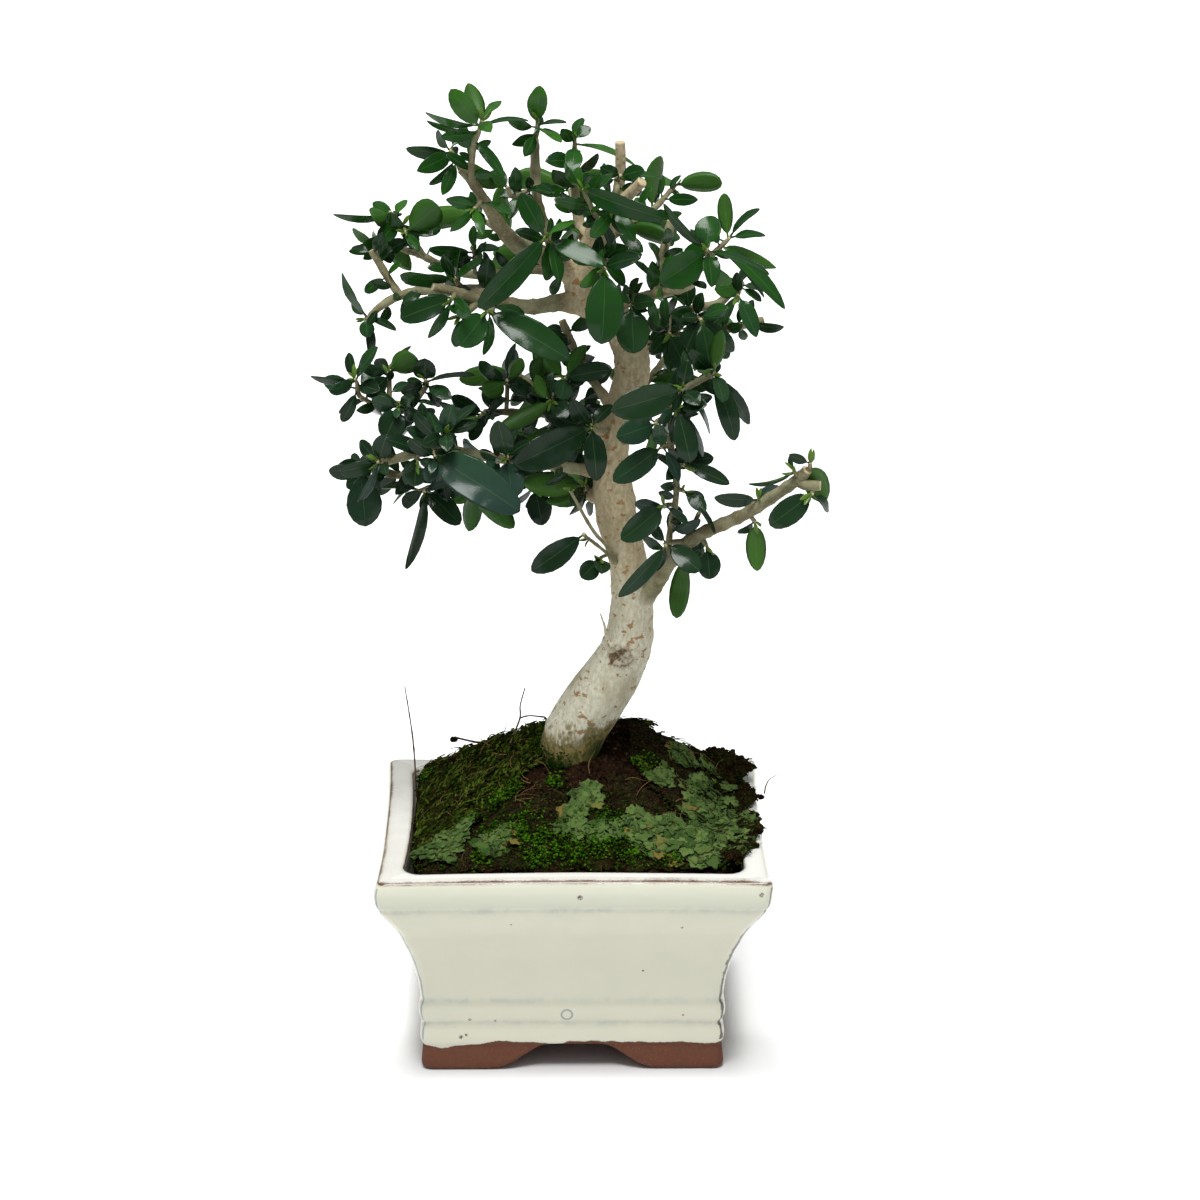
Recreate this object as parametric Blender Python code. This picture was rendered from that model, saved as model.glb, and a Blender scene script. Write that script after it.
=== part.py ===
"""Olive bonsai in its footed ceramic pot.

The tree stands in a glazed stoneware pot on four corner feet. Units in the lists are millimetres,
with the origin under the middle of the pot, +X to the right, +Y to the back and +Z up.
"""

from math import cos, pi, radians, sin

import bmesh
import bpy
import numpy as np
from mathutils import Matrix, Vector
from mathutils.bvhtree import BVHTree

MM = 0.001
# The clearance left between pieces that touch, and how far a cutter runs past what it cuts.
GAP = 0.35
THROUGH = 1.0

# Pot: outer size over the lip, the wall, and the levels of its turned-in foot.
POT_WIDTH = 150.0
POT_DEPTH = 126.0
POT_HEIGHT = 88.0
LIP_WIDTH = 9.5
FLOOR_Z = 17.0
WALL_BOW = 1.6
# Each level of the outside: height, how far it lies inside the lip, and its corner radius.
POT_LEVELS = [
    (0.0, 16.9, 7.0), (2.5, 16.3, 7.5), (10.0, 17.4, 7.0), (19.5, 17.2, 7.0), (21.3, 16.2, 7.0),
    (24.0, 17.0, 8.0), (36.0, 16.2, 9.0), (49.0, 13.2, 10.0), (61.0, 8.6, 10.0), (69.5, 3.9, 9.0),
    (74.5, 0.5, 6.5), (80.0, -0.8, 6.0), (86.2, 0.1, 6.0), (88.0, 1.9, 6.5),
]
# Each level of the hollow, in the same terms.
CAVITY_LEVELS = [
    (FLOOR_Z, 24.0, 10.0), (40.0, 20.8, 11.0), (62.0, 14.6, 11.0), (76.0, LIP_WIDTH + 0.6, 10.0),
    (86.5, LIP_WIDTH, 10.0), (POT_HEIGHT, LIP_WIDTH - 1.0, 10.5),
]
FOOT_HEIGHT = 10.8
FOOT_WALL = 9.0
ARCH_TOP = 9.0
ARCH_SLOPE = 22.0
SIDE_ARCH_TOP = 5.0
SIDE_ARCH_SLOPE = 17.0
DRAIN_RADIUS = 7.0
DRAIN_X = 30.0

# Drainage mesh: a square of plastic net over each hole.
NET_SIZE = 22.0
NET_THICKNESS = 0.9
NET_CELL = 9.6
NET_HOLE = 7.4

# Soil: a mound that is heaped up against the trunk, straight in front and swelling at the back.
SOIL_EDGE_Z = 86.0
SOIL_PEAK = (7.0, 27.0, 118.0)
SOIL_AROUND = 36
SOIL_RINGS = 8
SOIL_POWER = 7
FRONT_SLOPE = 1.05
REAR_SWELL = 2.6

# Trunk: x, y, z and radius along its middle line, and the two thick limbs that were cut back.
TRUNK = [
    (-9, 15, 76, 9.5), (-6, 14, 90, 10.6), (-3, 12, 106, 11.6), (0, 11, 119, 12.1), (7, 10, 132, 12.0),
    (15, 9, 145, 11.2), (21, 8, 158, 9.8), (23, 8, 171, 8.6), (23, 8, 182, 8.2), (21, 7, 196, 7.5),
    (17, 6, 211, 7.9), (16, 6, 221, 8.0), (15, 7, 232, 6.9), (16, 8, 245, 6.1), (20, 9, 258, 6.5),
    (23, 10, 272, 6.8), (19, 9, 286, 6.9), (10, 8, 297, 7.6), (4, 8, 305, 7.3), (7, 9, 315, 6.3),
    (11, 10, 325, 5.6), (12, 10, 330, 4.6),
]
CUT_LIMBS = [
    [(11, 10, 324, 3.6), (16, 8, 335, 2.4), (18, 6, 347, 2.1), (18, 5, 360, 1.9)],
    [(10, 9, 326, 3.2), (15, 2, 334, 2.5), (21, -4, 342, 2.2), (26, -8, 348, 2.0)],
]

# Dry twigs that stand in the moss, each as its routes of x, y, z and radius.
TWIGS = {
    "twig_left": [[(-64, 38, 81, 0.5), (-65, 38, 104, 0.45), (-68, 38, 130, 0.4)]],
    "twig_rear": [
        [(-30, 34, 97, 0.6), (-28, 34, 109, 0.55), (-24, 33, 124, 0.5), (-21, 33, 137, 0.4)],
        [(-24, 33, 124, 0.5), (-14, 33, 126, 0.45)],
    ],
    "twig_bent": [[(-33, 38, 96, 0.6), (-36, 39, 105, 0.55), (-43, 40, 107, 0.5), (-50, 41, 108, 0.5)]],
}

# Leaves: thickness, and how far the middle of a blade is arched up as a share of its length.
BLADE_THICKNESS = 0.7
BLADE_ARCH = 0.07
ROOT_DEPTH = 0.45
# Places along a blade, and half its breadth there as a share of its width: a broad blade has two
# wide places and a narrow one has one.
BROAD_STATIONS = [(0.32, 0.47), (0.68, 0.44)]
NARROW_STATIONS = [(0.48, 0.5)]
NARROW_WIDTH = 7.0
CLEAR = 0.45
# The part of a blade next to its root that may come near limbs: a share, and at most a length.
ROOT_PART = 0.3
ROOT_PART_LENGTH = 3.0
# The direction in which the photograph looks at the tree, turned back towards the camera.
VIEW_TILT = radians(20.0)

# Branches: name, what each grows from, and its limbs. A limb is a route of x, y, z and radius, and
# its leaves, read off the photograph by eye: place along the limb from 0 to 1, the x, y and z of
# the tip, the width, and the roll in degrees that turns the upper face away from the camera.
BRANCHES = [
    ("arm_right", "trunk", [
        ([(22, 8, 172, 5.9), (27, 4, 178, 4.3), (32, -2, 187, 3.5), (39, -10, 202, 3.3),
          (48, -16, 212, 2.9), (66, -22, 223, 2.7), (84, -26, 237, 2.5), (88, -28, 242, 2.3)], []),
        ([(84, -26, 237, 2.3), (88, -28, 236, 2.3), (93, -29, 236, 2.1)], []),
        ([(40, -12, 205, 1.2), (45, -14, 213, 1.1), (48, -16, 221, 1.0)], []),
        ([(50, -18, 210, 1.1), (51, -20, 209, 0.8)], [
            (1.0, 52, -24, 197, 9, 5), (0.4, 45, -13, 201, 5, 30),
        ]),
        ([(70, -24, 228, 1.0), (70, -24, 229, 0.8)], [
            (1.0, 53, -30, 232, 6, 25), (1.0, 78, -16, 232, 5, 45),
        ]),
        ([(68, -23, 221, 1.0), (69, -23, 220, 0.8)], [
            (1.0, 70, -26, 201, 8, 180), (0.8, 63, -16, 213, 4, 40),
        ]),
        ([(84, -28, 240, 0.9), (83, -29, 242, 0.8)], [
            (0.7, 66, -31, 237, 5, 75), (0.8, 82, -24, 247, 3, 50),
        ]),
        ([(90, -29, 234, 1.1), (90, -30, 233, 0.8)], [
            (0.7, 74, -34, 222, 10, 5), (1.0, 97, -24, 224, 5, 40),
        ]),
        ([(89, -29, 243, 1.1), (89, -29, 245, 0.8)], [
            (0.6, 96, -27, 227, 10, 180), (1.0, 81, -31, 249, 4, 20),
        ]),
        ([(42, -4, 199, 1.0), (43, -1, 198, 0.8)], [
            (1.0, 40, -5, 174, 8, 180), (1.0, 51, 2, 203, 5, 40),
        ]),
        ([(36, -19, 210, 1.1), (35, -25, 211, 0.8)], [
            (1.0, 17, -35, 194, 7, 25), (0.4, 48, -29, 202, 9, 10), (0.5, 30, -16, 197, 5, 30),
            (0.2, 30, -14, 216, 5, 30),
        ]),
    ]),
    ("riser_right", "arm_right", [
        ([(37, -10, 202, 1.5), (37, -14, 213, 1.3), (39, -18, 227, 1.3), (39, -18, 236, 1.5),
          (37, -16, 248, 1.5), (36, -16, 259, 1.7), (38, -17, 266, 1.5), (44, -18, 272, 1.5),
          (52, -20, 277, 1.3)], []),
        ([(36, -18, 225, 1.0), (34, -23, 226, 0.8)], [
            (0.9, 18, -33, 216, 10, 10), (0.8, 24, -18, 219, 5, 50), (0.7, 43, -27, 220, 5, 50),
        ]),
        ([(40, -20, 232, 0.9), (42, -23, 232, 0.8)], [
            (0.9, 50, -29, 226, 6, 15), (0.9, 53, -19, 214, 5, 60),
        ]),
        ([(40, -20, 242, 0.9), (42, -22, 242, 0.8)], [
            (1.0, 59, -26, 236, 6, 15), (0.8, 48, -18, 249, 5, 50),
        ]),
        ([(35, -20, 249, 1.1), (33, -25, 250, 0.8)], [
            (1.0, 15, -35, 240, 10, 10), (0.6, 40, -29, 238, 5, 30), (0.4, 28, -14, 255, 5, 40),
        ]),
        ([(32, -20, 259, 1.1), (31, -24, 259, 0.8)], [
            (1.0, 16, -34, 257, 10, 10), (1.0, 33, -18, 242, 5, 170), (0.7, 23, -18, 265, 5, 30),
        ]),
        ([(35, -19, 265, 1.2), (37, -24, 266, 1.0), (39, -27, 266, 0.8)], [
            (1.0, 50, -33, 269, 7, 30), (1.0, 44, -34, 247, 9, 5), (0.8, 39, -19, 249, 6, 10),
            (1.0, 49, -21, 245, 5, 45), (0.7, 32, -30, 261, 5, 30),
        ]),
        ([(41, -22, 271, 1.2), (41, -28, 274, 0.9)], [
            (1.0, 14, -42, 270, 13, 20), (0.5, 48, -33, 268, 7, 20), (0.8, 52, -23, 255, 5, 60),
        ]),
        ([(53, -20, 277, 1.3), (53, -21, 278, 0.9)], [
            (0.4, 61, -26, 253, 8, 10), (0.2, 67, -12, 255, 6, 20), (1.0, 56, -15, 293, 6, 170),
            (0.0, 44, -26, 288, 6, 20), (0.4, 56, -32, 270, 7, 30),
        ]),
    ]),
    ("low_left_front", "trunk", [
        ([(15, 7, 229, 5.4), (8, 2, 232, 2.9), (-8, -6, 237, 2.3), (-30, -12, 242, 2.1),
          (-50, -14, 246, 2.1), (-61, -14, 244, 1.9), (-72, -14, 241, 1.9)], []),
        ([(-73, -15, 242, 1.0), (-74, -17, 242, 0.8)], [
            (0.6, -88, -20, 239, 7, 30), (0.8, -81, -25, 229, 5, 50), (0.4, -70, -20, 254, 8, 10),
            (0.2, -81, -9, 248, 6, 30),
        ]),
        ([(-59, -17, 244, 0.9), (-59, -19, 243, 0.8)], [
            (0.8, -60, -22, 234, 8, 5), (0.4, -50, -24, 241, 5, 40),
        ]),
        ([(-52, -18, 246, 1.2), (-52, -23, 246, 0.9)], [
            (1.0, -20, -35, 228, 16, 10), (1.0, -51, -27, 237, 6, 30), (0.7, -61, -30, 255, 6, 30),
        ]),
        ([(-25, -15, 242, 1.1), (-25, -20, 245, 0.9)], [
            (1.0, -28, -28, 262, 9, 10), (0.5, -23, -28, 231, 11, 20), (0.6, -16, -24, 252, 5, 40),
            (0.2, -35, -26, 249, 5, 40),
        ]),
    ]),
    ("low_left_rear", "trunk", [
        ([(13, 8, 218, 3.9), (1, 16, 221, 2.5), (-13, 22, 223, 2.1), (-36, 26, 222, 2.0),
          (-54, 28, 221, 1.8), (-71, 30, 222, 1.8), (-82, 31, 225, 1.6)], []),
        ([(-48, 26, 222, 1.4), (-56, 22, 219, 1.2), (-65, 18, 217, 1.2)], []),
        ([(-82, 27, 226, 1.2), (-83, 22, 226, 0.8)], [
            (1.0, -81, 16, 205, 14, 10), (0.8, -95, 19, 227, 7, 25), (0.8, -73, 14, 217, 5, 40),
            (0.6, -74, 29, 231, 5, 40),
        ]),
        ([(-57, 23, 218, 1.0), (-58, 17, 219, 0.8)], [
            (1.0, -66, 9, 190, 7, 50), (0.5, -44, 13, 207, 9, 10), (0.8, -48, 12, 224, 5, 40),
        ]),
        ([(-40, 23, 221, 1.0), (-39, 19, 220, 0.8)], [
            (1.0, -23, 14, 205, 9, 180), (1.0, -47, 23, 213, 6, 150), (1.0, -41, 25, 200, 8, 165),
        ]),
        ([(-16, 20, 222, 1.0), (-15, 14, 222, 0.8)], [
            (1.0, -12, 11, 207, 10, 10), (0.9, -24, 9, 216, 5, 40), (1.0, -5, 18, 222, 5, 40),
        ]),
    ]),
    ("low_left_upper", "low_left_front", [
        ([(-50, -14, 246, 1.7), (-55, -10, 252, 1.5), (-61, -4, 258, 1.3), (-67, 0, 260, 1.3),
          (-75, 2, 259, 1.1), (-81, 2, 262, 1.0)], []),
        ([(-53, -16, 247, 1.2), (-50, -20, 252, 1.0), (-48, -22, 255, 0.8)], [
            (1.0, -45, -24, 267, 7, 10), (0.9, -59, -28, 251, 6, 20), (1.0, -47, -32, 251, 6, 5),
            (1.0, -36, -18, 265, 5, 40), (0.6, -60, -16, 261, 6, 30),
        ]),
        ([(-65, -4, 258, 1.2), (-66, -10, 262, 0.8)], [
            (0.8, -71, -17, 251, 11, 10), (0.6, -60, -18, 268, 5, 20), (0.9, -76, -11, 265, 7, 30),
            (0.5, -67, 3, 248, 5, 10),
        ]),
        ([(-56, 2, 266, 1.1), (-56, -2, 270, 0.8)], [
            (0.8, -56, -4, 279, 9, 5), (0.6, -37, -5, 272, 5, 60), (0.5, -65, -8, 267, 6, 30),
            (0.1, -46, -7, 264, 6, 20),
        ]),
        ([(-70, 5, 269, 1.1), (-70, 4, 271, 0.8)], [
            (1.0, -59, -2, 279, 10, 160), (0.7, -81, 0, 276, 6, 40), (0.2, -62, 13, 279, 5, 50),
            (0.7, -78, -4, 264, 7, 20),
        ]),
        ([(-82, 2, 264, 1.1), (-82, 0, 268, 0.9), (-83, -1, 270, 0.8)], [
            (0.9, -99, -7, 273, 5, 60), (0.8, -72, 3, 283, 6, 40), (0.5, -73, -7, 267, 7, 20),
            (0.9, -93, -9, 267, 6, 40), (0.2, -88, -1, 253, 5, 15), (0.7, -85, 4, 279, 5, 30),
        ]),
    ]),
    ("mid_left", "trunk", [
        ([(13, 8, 246, 3.8), (-1, 8, 251, 2.3), (-14, 10, 253, 1.7), (-26, 8, 254, 1.5),
          (-34, 5, 255, 1.3)], []),
        ([(-8, 4, 262, 1.1), (-8, -4, 262, 0.9)], [
            (1.0, -28, -10, 253, 7, 165), (1.0, -2, -12, 258, 8, 10), (1.0, -14, 0, 271, 7, 150),
            (1.0, 5, 0, 255, 7, 165),
        ]),
        ([(-14, 12, 258, 1.0), (-13, 8, 262, 0.8)], [
            (1.0, -11, 10, 276, 8, 160), (0.7, -5, 5, 264, 5, 40), (0.6, -21, 3, 270, 5, 40),
        ]),
        ([(-25, 10, 264, 1.0), (-25, 4, 268, 0.8)], [
            (0.8, -34, -3, 265, 8, 165), (0.9, -19, -1, 278, 6, 180), (0.6, -35, 4, 275, 8, 20),
            (0.5, -22, 13, 280, 5, 50), (0.5, -17, 1, 261, 5, 30),
        ]),
        ([(-32, 4, 255, 1.0), (-35, -2, 256, 0.8)], [
            (0.9, -44, -5, 252, 5, 170), (0.8, -51, 1, 260, 5, 50), (0.4, -25, -4, 263, 5, 40),
            (0.6, -39, -5, 247, 5, 30),
        ]),
    ]),
    ("crown_left_low", "trunk", [
        ([(5, 8, 298, 6.5), (-5, 2, 299, 3.8), (-16, -4, 299, 3.2), (-27, -8, 302, 2.8),
          (-36, -11, 304, 2.4), (-45, -14, 308, 2.1), (-52, -16, 310, 1.7)], []),
        ([(-35, -10, 303, 1.5), (-38, -14, 301, 1.5), (-42, -17, 299, 1.3)], []),
        ([(-30, -14, 301, 1.3), (-32, -18, 301, 0.9)], [
            (1.0, -1, -28, 285, 12, 10), (1.0, -42, -26, 290, 11, 10), (0.6, -33, -8, 281, 5, 40),
            (0.2, -23, -9, 289, 6, 30),
        ]),
        ([(-44, -16, 307, 1.1), (-45, -19, 306, 0.8)], [
            (1.0, -64, -23, 300, 9, 0), (0.6, -54, -26, 294, 5, 40),
        ]),
    ]),
    ("crown_left_outer", "crown_left_low", [
        ([(-27, -6, 302, 2.4), (-35, -2, 305, 2.3), (-46, 2, 304, 2.1), (-56, 6, 303, 2.1),
          (-66, 8, 300, 1.9), (-73, 8, 296, 1.7), (-77, 8, 292, 1.3)], []),
        ([(-65, 8, 300, 1.7), (-69, 10, 305, 1.7), (-76, 12, 317, 1.7)], []),
        ([(-78, 8, 292, 1.0), (-79, 8, 291, 0.8)], [
            (0.6, -78, 4, 285, 6, 10), (1.0, -77, 12, 275, 5, 40), (0.0, -87, 4, 310, 5, 50),
            (0.4, -67, 2, 288, 5, 50), (0.0, -84, 12, 298, 5, 40),
        ]),
        ([(-43, -6, 309, 1.1), (-44, -10, 312, 0.8)], [
            (1.0, -64, -18, 315, 9, 30), (0.9, -48, -14, 322, 5, 30), (0.6, -34, -4, 317, 5, 40),
        ]),
    ]),
    ("crown_left_rear", "trunk", [
        ([(3, 9, 307, 2.8), (-10, 16, 308, 2.1), (-24, 18, 307, 1.9), (-36, 16, 306, 1.8),
          (-47, 18, 308, 1.7), (-57, 22, 312, 1.5), (-64, 24, 314, 1.3), (-69, 25, 316, 1.1)], []),
        ([(-56, 22, 312, 1.3), (-61, 20, 319, 1.3), (-65, 18, 325, 1.1)], []),
        ([(-66, 17, 327, 1.0), (-67, 16, 329, 0.9), (-69, 15, 331, 0.8)], [
            (0.7, -90, 10, 331, 5, 60), (0.9, -78, 7, 330, 8, 150), (0.0, -73, 9, 321, 7, 30),
            (0.4, -63, 22, 334, 5, 40),
        ]),
        ([(-65, 18, 323, 1.1), (-63, 12, 324, 0.8)], [
            (1.0, -50, 6, 336, 12, 170), (0.7, -69, 10, 332, 5, 30), (0.7, -58, 6, 318, 5, 30),
        ]),
        ([(-70, 25, 317, 1.0), (-73, 24, 317, 0.9), (-75, 23, 317, 0.8)], [
            (0.8, -85, 18, 315, 5, 40), (1.0, -84, 25, 322, 5, 50), (0.8, -69, 16, 311, 6, 20),
            (0.9, -80, 17, 311, 5, 40), (0.2, -62, 27, 305, 7, 170),
        ]),
        ([(-37, 10, 309, 1.1), (-37, 6, 316, 0.9), (-37, 4, 319, 0.8)], [
            (1.0, -37, 6, 328, 4, 30), (0.9, -54, 2, 320, 5, 25), (0.7, -47, -2, 315, 5, 20),
            (0.9, -28, 11, 318, 5, 40),
        ]),
    ]),
    ("crown_left_top", "trunk", [
        ([(2, 8, 306, 4.9), (-7, 2, 315, 3.8), (-20, -6, 323, 3.4), (-27, -10, 332, 3.0),
          (-32, -12, 341, 2.4), (-37, -12, 349, 2.0), (-41, -10, 353, 1.7)], []),
        ([(-37, -12, 349, 1.7), (-37, -16, 358, 1.5), (-36, -18, 365, 1.5)], []),
        ([(-36, -18, 366, 1.3), (-34, -20, 370, 1.0), (-33, -21, 374, 0.8)], [
            (0.7, -44, -24, 386, 8, 10), (1.0, -38, -13, 386, 7, 180), (0.4, -48, -25, 369, 5, 15),
            (0.7, -16, -18, 374, 5, 60), (0.8, -54, -15, 375, 5, 60), (0.5, -56, -28, 375, 4, 65),
            (0.0, -25, -26, 354, 5, 25), (1.0, -26, -11, 379, 4, 30),
        ]),
        ([(-41, -9, 354, 1.4), (-43, -8, 357, 1.1), (-45, -8, 360, 0.8)], [
            (0.9, -61, -14, 362, 6, 45), (0.8, -57, -20, 355, 7, 15), (0.4, -48, -16, 345, 5, 10),
            (0.5, -53, -4, 346, 5, 55), (0.2, -28, 0, 344, 7, 180), (1.0, -50, -2, 366, 5, 50),
            (1.0, -39, 0, 367, 5, 20),
        ]),
        ([(-34, -16, 342, 1.0), (-36, -20, 341, 0.8)], [
            (0.6, -45, -24, 345, 4, 20), (0.8, -45, -23, 333, 4, 20), (1.0, -33, -29, 333, 4, 15),
        ]),
    ]),
    ("crown_top", "trunk", [
        ([(0, 8, 310, 4.2), (-8, 16, 320, 3.0), (-13, 22, 332, 2.3), (-14, 24, 349, 2.1),
          (-14, 24, 357, 1.7)], []),
        ([(-14, 24, 358, 1.4), (-13, 24, 361, 1.1), (-13, 23, 364, 0.9)], [
            (0.9, -12, 20, 378, 7, 5), (0.7, -15, 33, 373, 5, 20), (0.7, -2, 20, 364, 5, 60),
            (0.5, -4, 15, 358, 5, 45), (0.2, -18, 16, 352, 5, 10), (0.6, -24, 29, 363, 5, 40),
            (0.3, -21, 17, 358, 5, 40),
        ]),
        ([(-22, -6, 342, 1.0), (-24, -8, 346, 0.8)], [
            (0.9, -29, -11, 351, 5, 160),
        ]),
    ]),
    ("crown_front", "crown_left_top", [
        ([(-7, 2, 315, 2.2), (-7, -3, 321, 1.6)], []),
        ([(-8, 2, 319, 1.5), (-9, -9, 325, 1.1), (-10, -16, 329, 0.9)], [
            (1.0, -35, -27, 305, 10, 20), (0.7, 12, -20, 319, 8, 20), (0.7, -5, -24, 314, 6, 15),
            (1.0, -19, -13, 345, 8, 10), (1.0, 1, -12, 334, 5, 50),
        ]),
    ]),
    ("crown_middle", "trunk", [
        ([(6, 10, 321, 2.6), (2, 14, 330, 2.1), (1, 16, 345, 1.5), (1, 16, 355, 1.5)], []),
        ([(1, 16, 356, 1.2), (1, 15, 359, 0.8)], [
            (0.6, -4, 10, 364, 5, 20), (0.9, 7, 17, 363, 5, 20), (0.1, 0, 6, 348, 7, 5),
            (0.0, -2, 20, 338, 5, 20), (0.3, 24, 10, 350, 5, 60), (0.9, 4, 24, 365, 5, 30),
        ]),
    ]),
    ("crown_shoot", "trunk", [
        ([(11, 10, 328, 2.6), (13, 0, 335, 1.7), (16, -4, 343, 1.5), (17, 0, 345, 1.3)], []),
        ([(10, -2, 331, 1.4), (7, -9, 339, 1.1), (4, -12, 346, 0.9)], [
            (1.0, 34, -28, 339, 8, -25), (0.7, 15, -6, 351, 5, 45), (0.6, -6, -15, 343, 5, 30),
            (1.0, 2, -6, 353, 5, 40),
        ]),
        ([(17, 2, 346, 1.0), (18, -2, 349, 0.8)], [
            (0.7, 27, -7, 352, 6, 20), (0.9, 12, -7, 353, 5, 10), (0.4, 33, 8, 346, 5, 50),
        ]),
        ([(15, -8, 339, 1.0), (15, -14, 339, 0.8)], [
            (0.6, 33, -19, 336, 6, 35), (1.0, 23, -22, 329, 6, 15), (1.0, 7, -20, 330, 6, 20),
        ]),
    ]),
    ("crown_right", "trunk", [
        ([(9, 8, 298, 4.9), (18, 0, 300, 2.6), (31, -12, 306, 2.2), (43, -22, 312, 1.9),
          (47, -26, 320, 1.7), (50, -28, 324, 1.5)], []),
        ([(30, -11, 307, 1.9), (33, -8, 317, 1.9), (37, -4, 332, 1.9)], []),
        ([(50, -31, 326, 1.4), (49, -34, 329, 0.9)], [
            (0.7, 32, -41, 318, 13, 20), (1.0, 33, -32, 345, 5, 50), (0.5, 51, -42, 317, 7, 20),
            (0.6, 72, -39, 321, 5, 50), (1.0, 51, -28, 340, 10, 15),
        ]),
        ([(53, -22, 325, 1.3), (56, -22, 328, 1.0), (58, -22, 330, 0.8)], [
            (0.9, 56, -18, 346, 6, 175), (1.0, 69, -16, 340, 5, 50), (1.0, 71, -26, 332, 5, 45),
            (0.4, 79, -28, 305, 7, 30), (0.2, 71, -18, 306, 5, 55), (0.4, 76, -12, 316, 6, 180),
            (0.7, 46, -14, 333, 7, 20),
        ]),
    ]),
    ("crown_right_rear", "trunk", [
        ([(22, 12, 281, 4.2), (32, 22, 286, 2.3), (46, 32, 288, 1.9), (57, 38, 289, 1.7),
          (63, 40, 294, 1.6), (66, 41, 296, 1.6)], []),
        ([(66, 41, 296, 1.2), (65, 36, 295, 1.0), (64, 30, 294, 0.8)], [
            (1.0, 71, 24, 279, 7, 15), (0.2, 77, 32, 295, 5, 40),
            (0.2, 55, 28, 297, 8, 10), (0.1, 70, 48, 303, 5, 40),
        ]),
    ]),
    ("crown_right_low", "trunk", [
        ([(24, 12, 279, 3.4), (36, 20, 280, 1.9), (55, 28, 280, 1.9), (74, 34, 283, 1.7)], []),
        ([(45, 28, 288, 1.2), (48, 16, 289, 0.9), (49, 10, 290, 0.8)], [
            (1.0, 53, 2, 270, 10, 5), (0.8, 42, 5, 277, 9, 10), (0.6, 38, 9, 293, 8, 15),
            (0.9, 59, 6, 296, 6, 35), (0.9, 47, 18, 267, 5, 170), (1.0, 62, 15, 276, 7, 20),
        ]),
        ([(37, 20, 288, 1.1), (37, 12, 286, 0.9), (37, 8, 285, 0.8)], [
            (1.0, 37, 2, 272, 6, 10), (0.9, 30, 5, 278, 6, 20), (1.0, 45, -3, 270, 8, 10),
            (0.8, 29, 5, 292, 6, 30), (0.8, 35, 16, 298, 5, 40),
        ]),
    ]),
    ("trunk_front", "trunk", [
        ([(12, -1, 316, 1.4), (11, -12, 317, 1.1), (12, -17, 317, 0.9)], [
            (1.0, 11, -27, 291, 15, 10), (0.9, 25, -22, 323, 7, 25), (0.6, 2, -20, 323, 5, 50),
            (0.7, 20, -9, 309, 6, 30), (0.5, 10, -3, 326, 6, 40),
        ]),
    ]),
    ("trunk_high", "trunk", [
        ([(21, -2, 299, 1.1), (22, -8, 301, 0.8)], [
            (1.0, 23, -16, 284, 13, 0), (1.0, 33, -14, 304, 6, 30), (0.9, 15, -11, 309, 5, 40),
            (1.0, 28, -4, 309, 6, 40),
        ]),
    ]),
    ("centre_branch", "trunk", [
        ([(17, 8, 252, 3.8), (11, 14, 260, 2.1), (3, 18, 271, 1.9), (-4, 20, 287, 1.7)], []),
        ([(0, 10, 269, 1.2), (-3, 2, 269, 0.9)], [
            (1.0, 15, -6, 275, 8, 20), (1.0, -5, -6, 262, 8, 10), (1.0, -10, 2, 280, 8, 150),
            (0.9, 5, 7, 281, 6, 160), (1.0, -15, -4, 266, 6, 30),
        ]),
    ]),
    ("trunk_left", "trunk", [
        ([(10, -3, 250, 1.2), (7, -12, 254, 0.9)], [
            (1.0, -22, -24, 243, 14, 15), (1.0, 9, -16, 234, 9, 10), (0.9, 0, -15, 266, 8, 10),
            (0.8, -11, -2, 257, 7, 30), (1.0, 15, -6, 261, 6, 30),
        ]),
    ]),
    ("low_left_shoot", "trunk", [
        ([(7, 12, 220, 1.0), (5, 8, 223, 0.9), (4, 6, 225, 0.8)], [
            (1.0, -19, 0, 228, 10, 180), (0.7, -8, 16, 216, 7, 150), (0.5, -1, 8, 212, 5, 60),
        ]),
    ]),
    ("twig_shoot", "trunk", [
        ([(17, 2, 195, 1.6), (13, -6, 204, 0.8), (7, -10, 213, 0.8), (-1, -16, 230, 0.6)], []),
        ([(17, 4, 193, 1.4), (13, -2, 200, 0.8), (6, -8, 208, 0.8)], []),
        ([(5, -9, 209, 0.8), (4, -11, 211, 0.8)], [
            (0.9, -16, -17, 198, 10, 10),
        ]),
        ([(11, -1, 198, 0.8), (10, -4, 198, 0.8)], [
            (1.0, 3, -8, 192, 8, 10), (0.6, 11, -11, 192, 7, 20),
        ]),
    ]),
]

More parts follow.
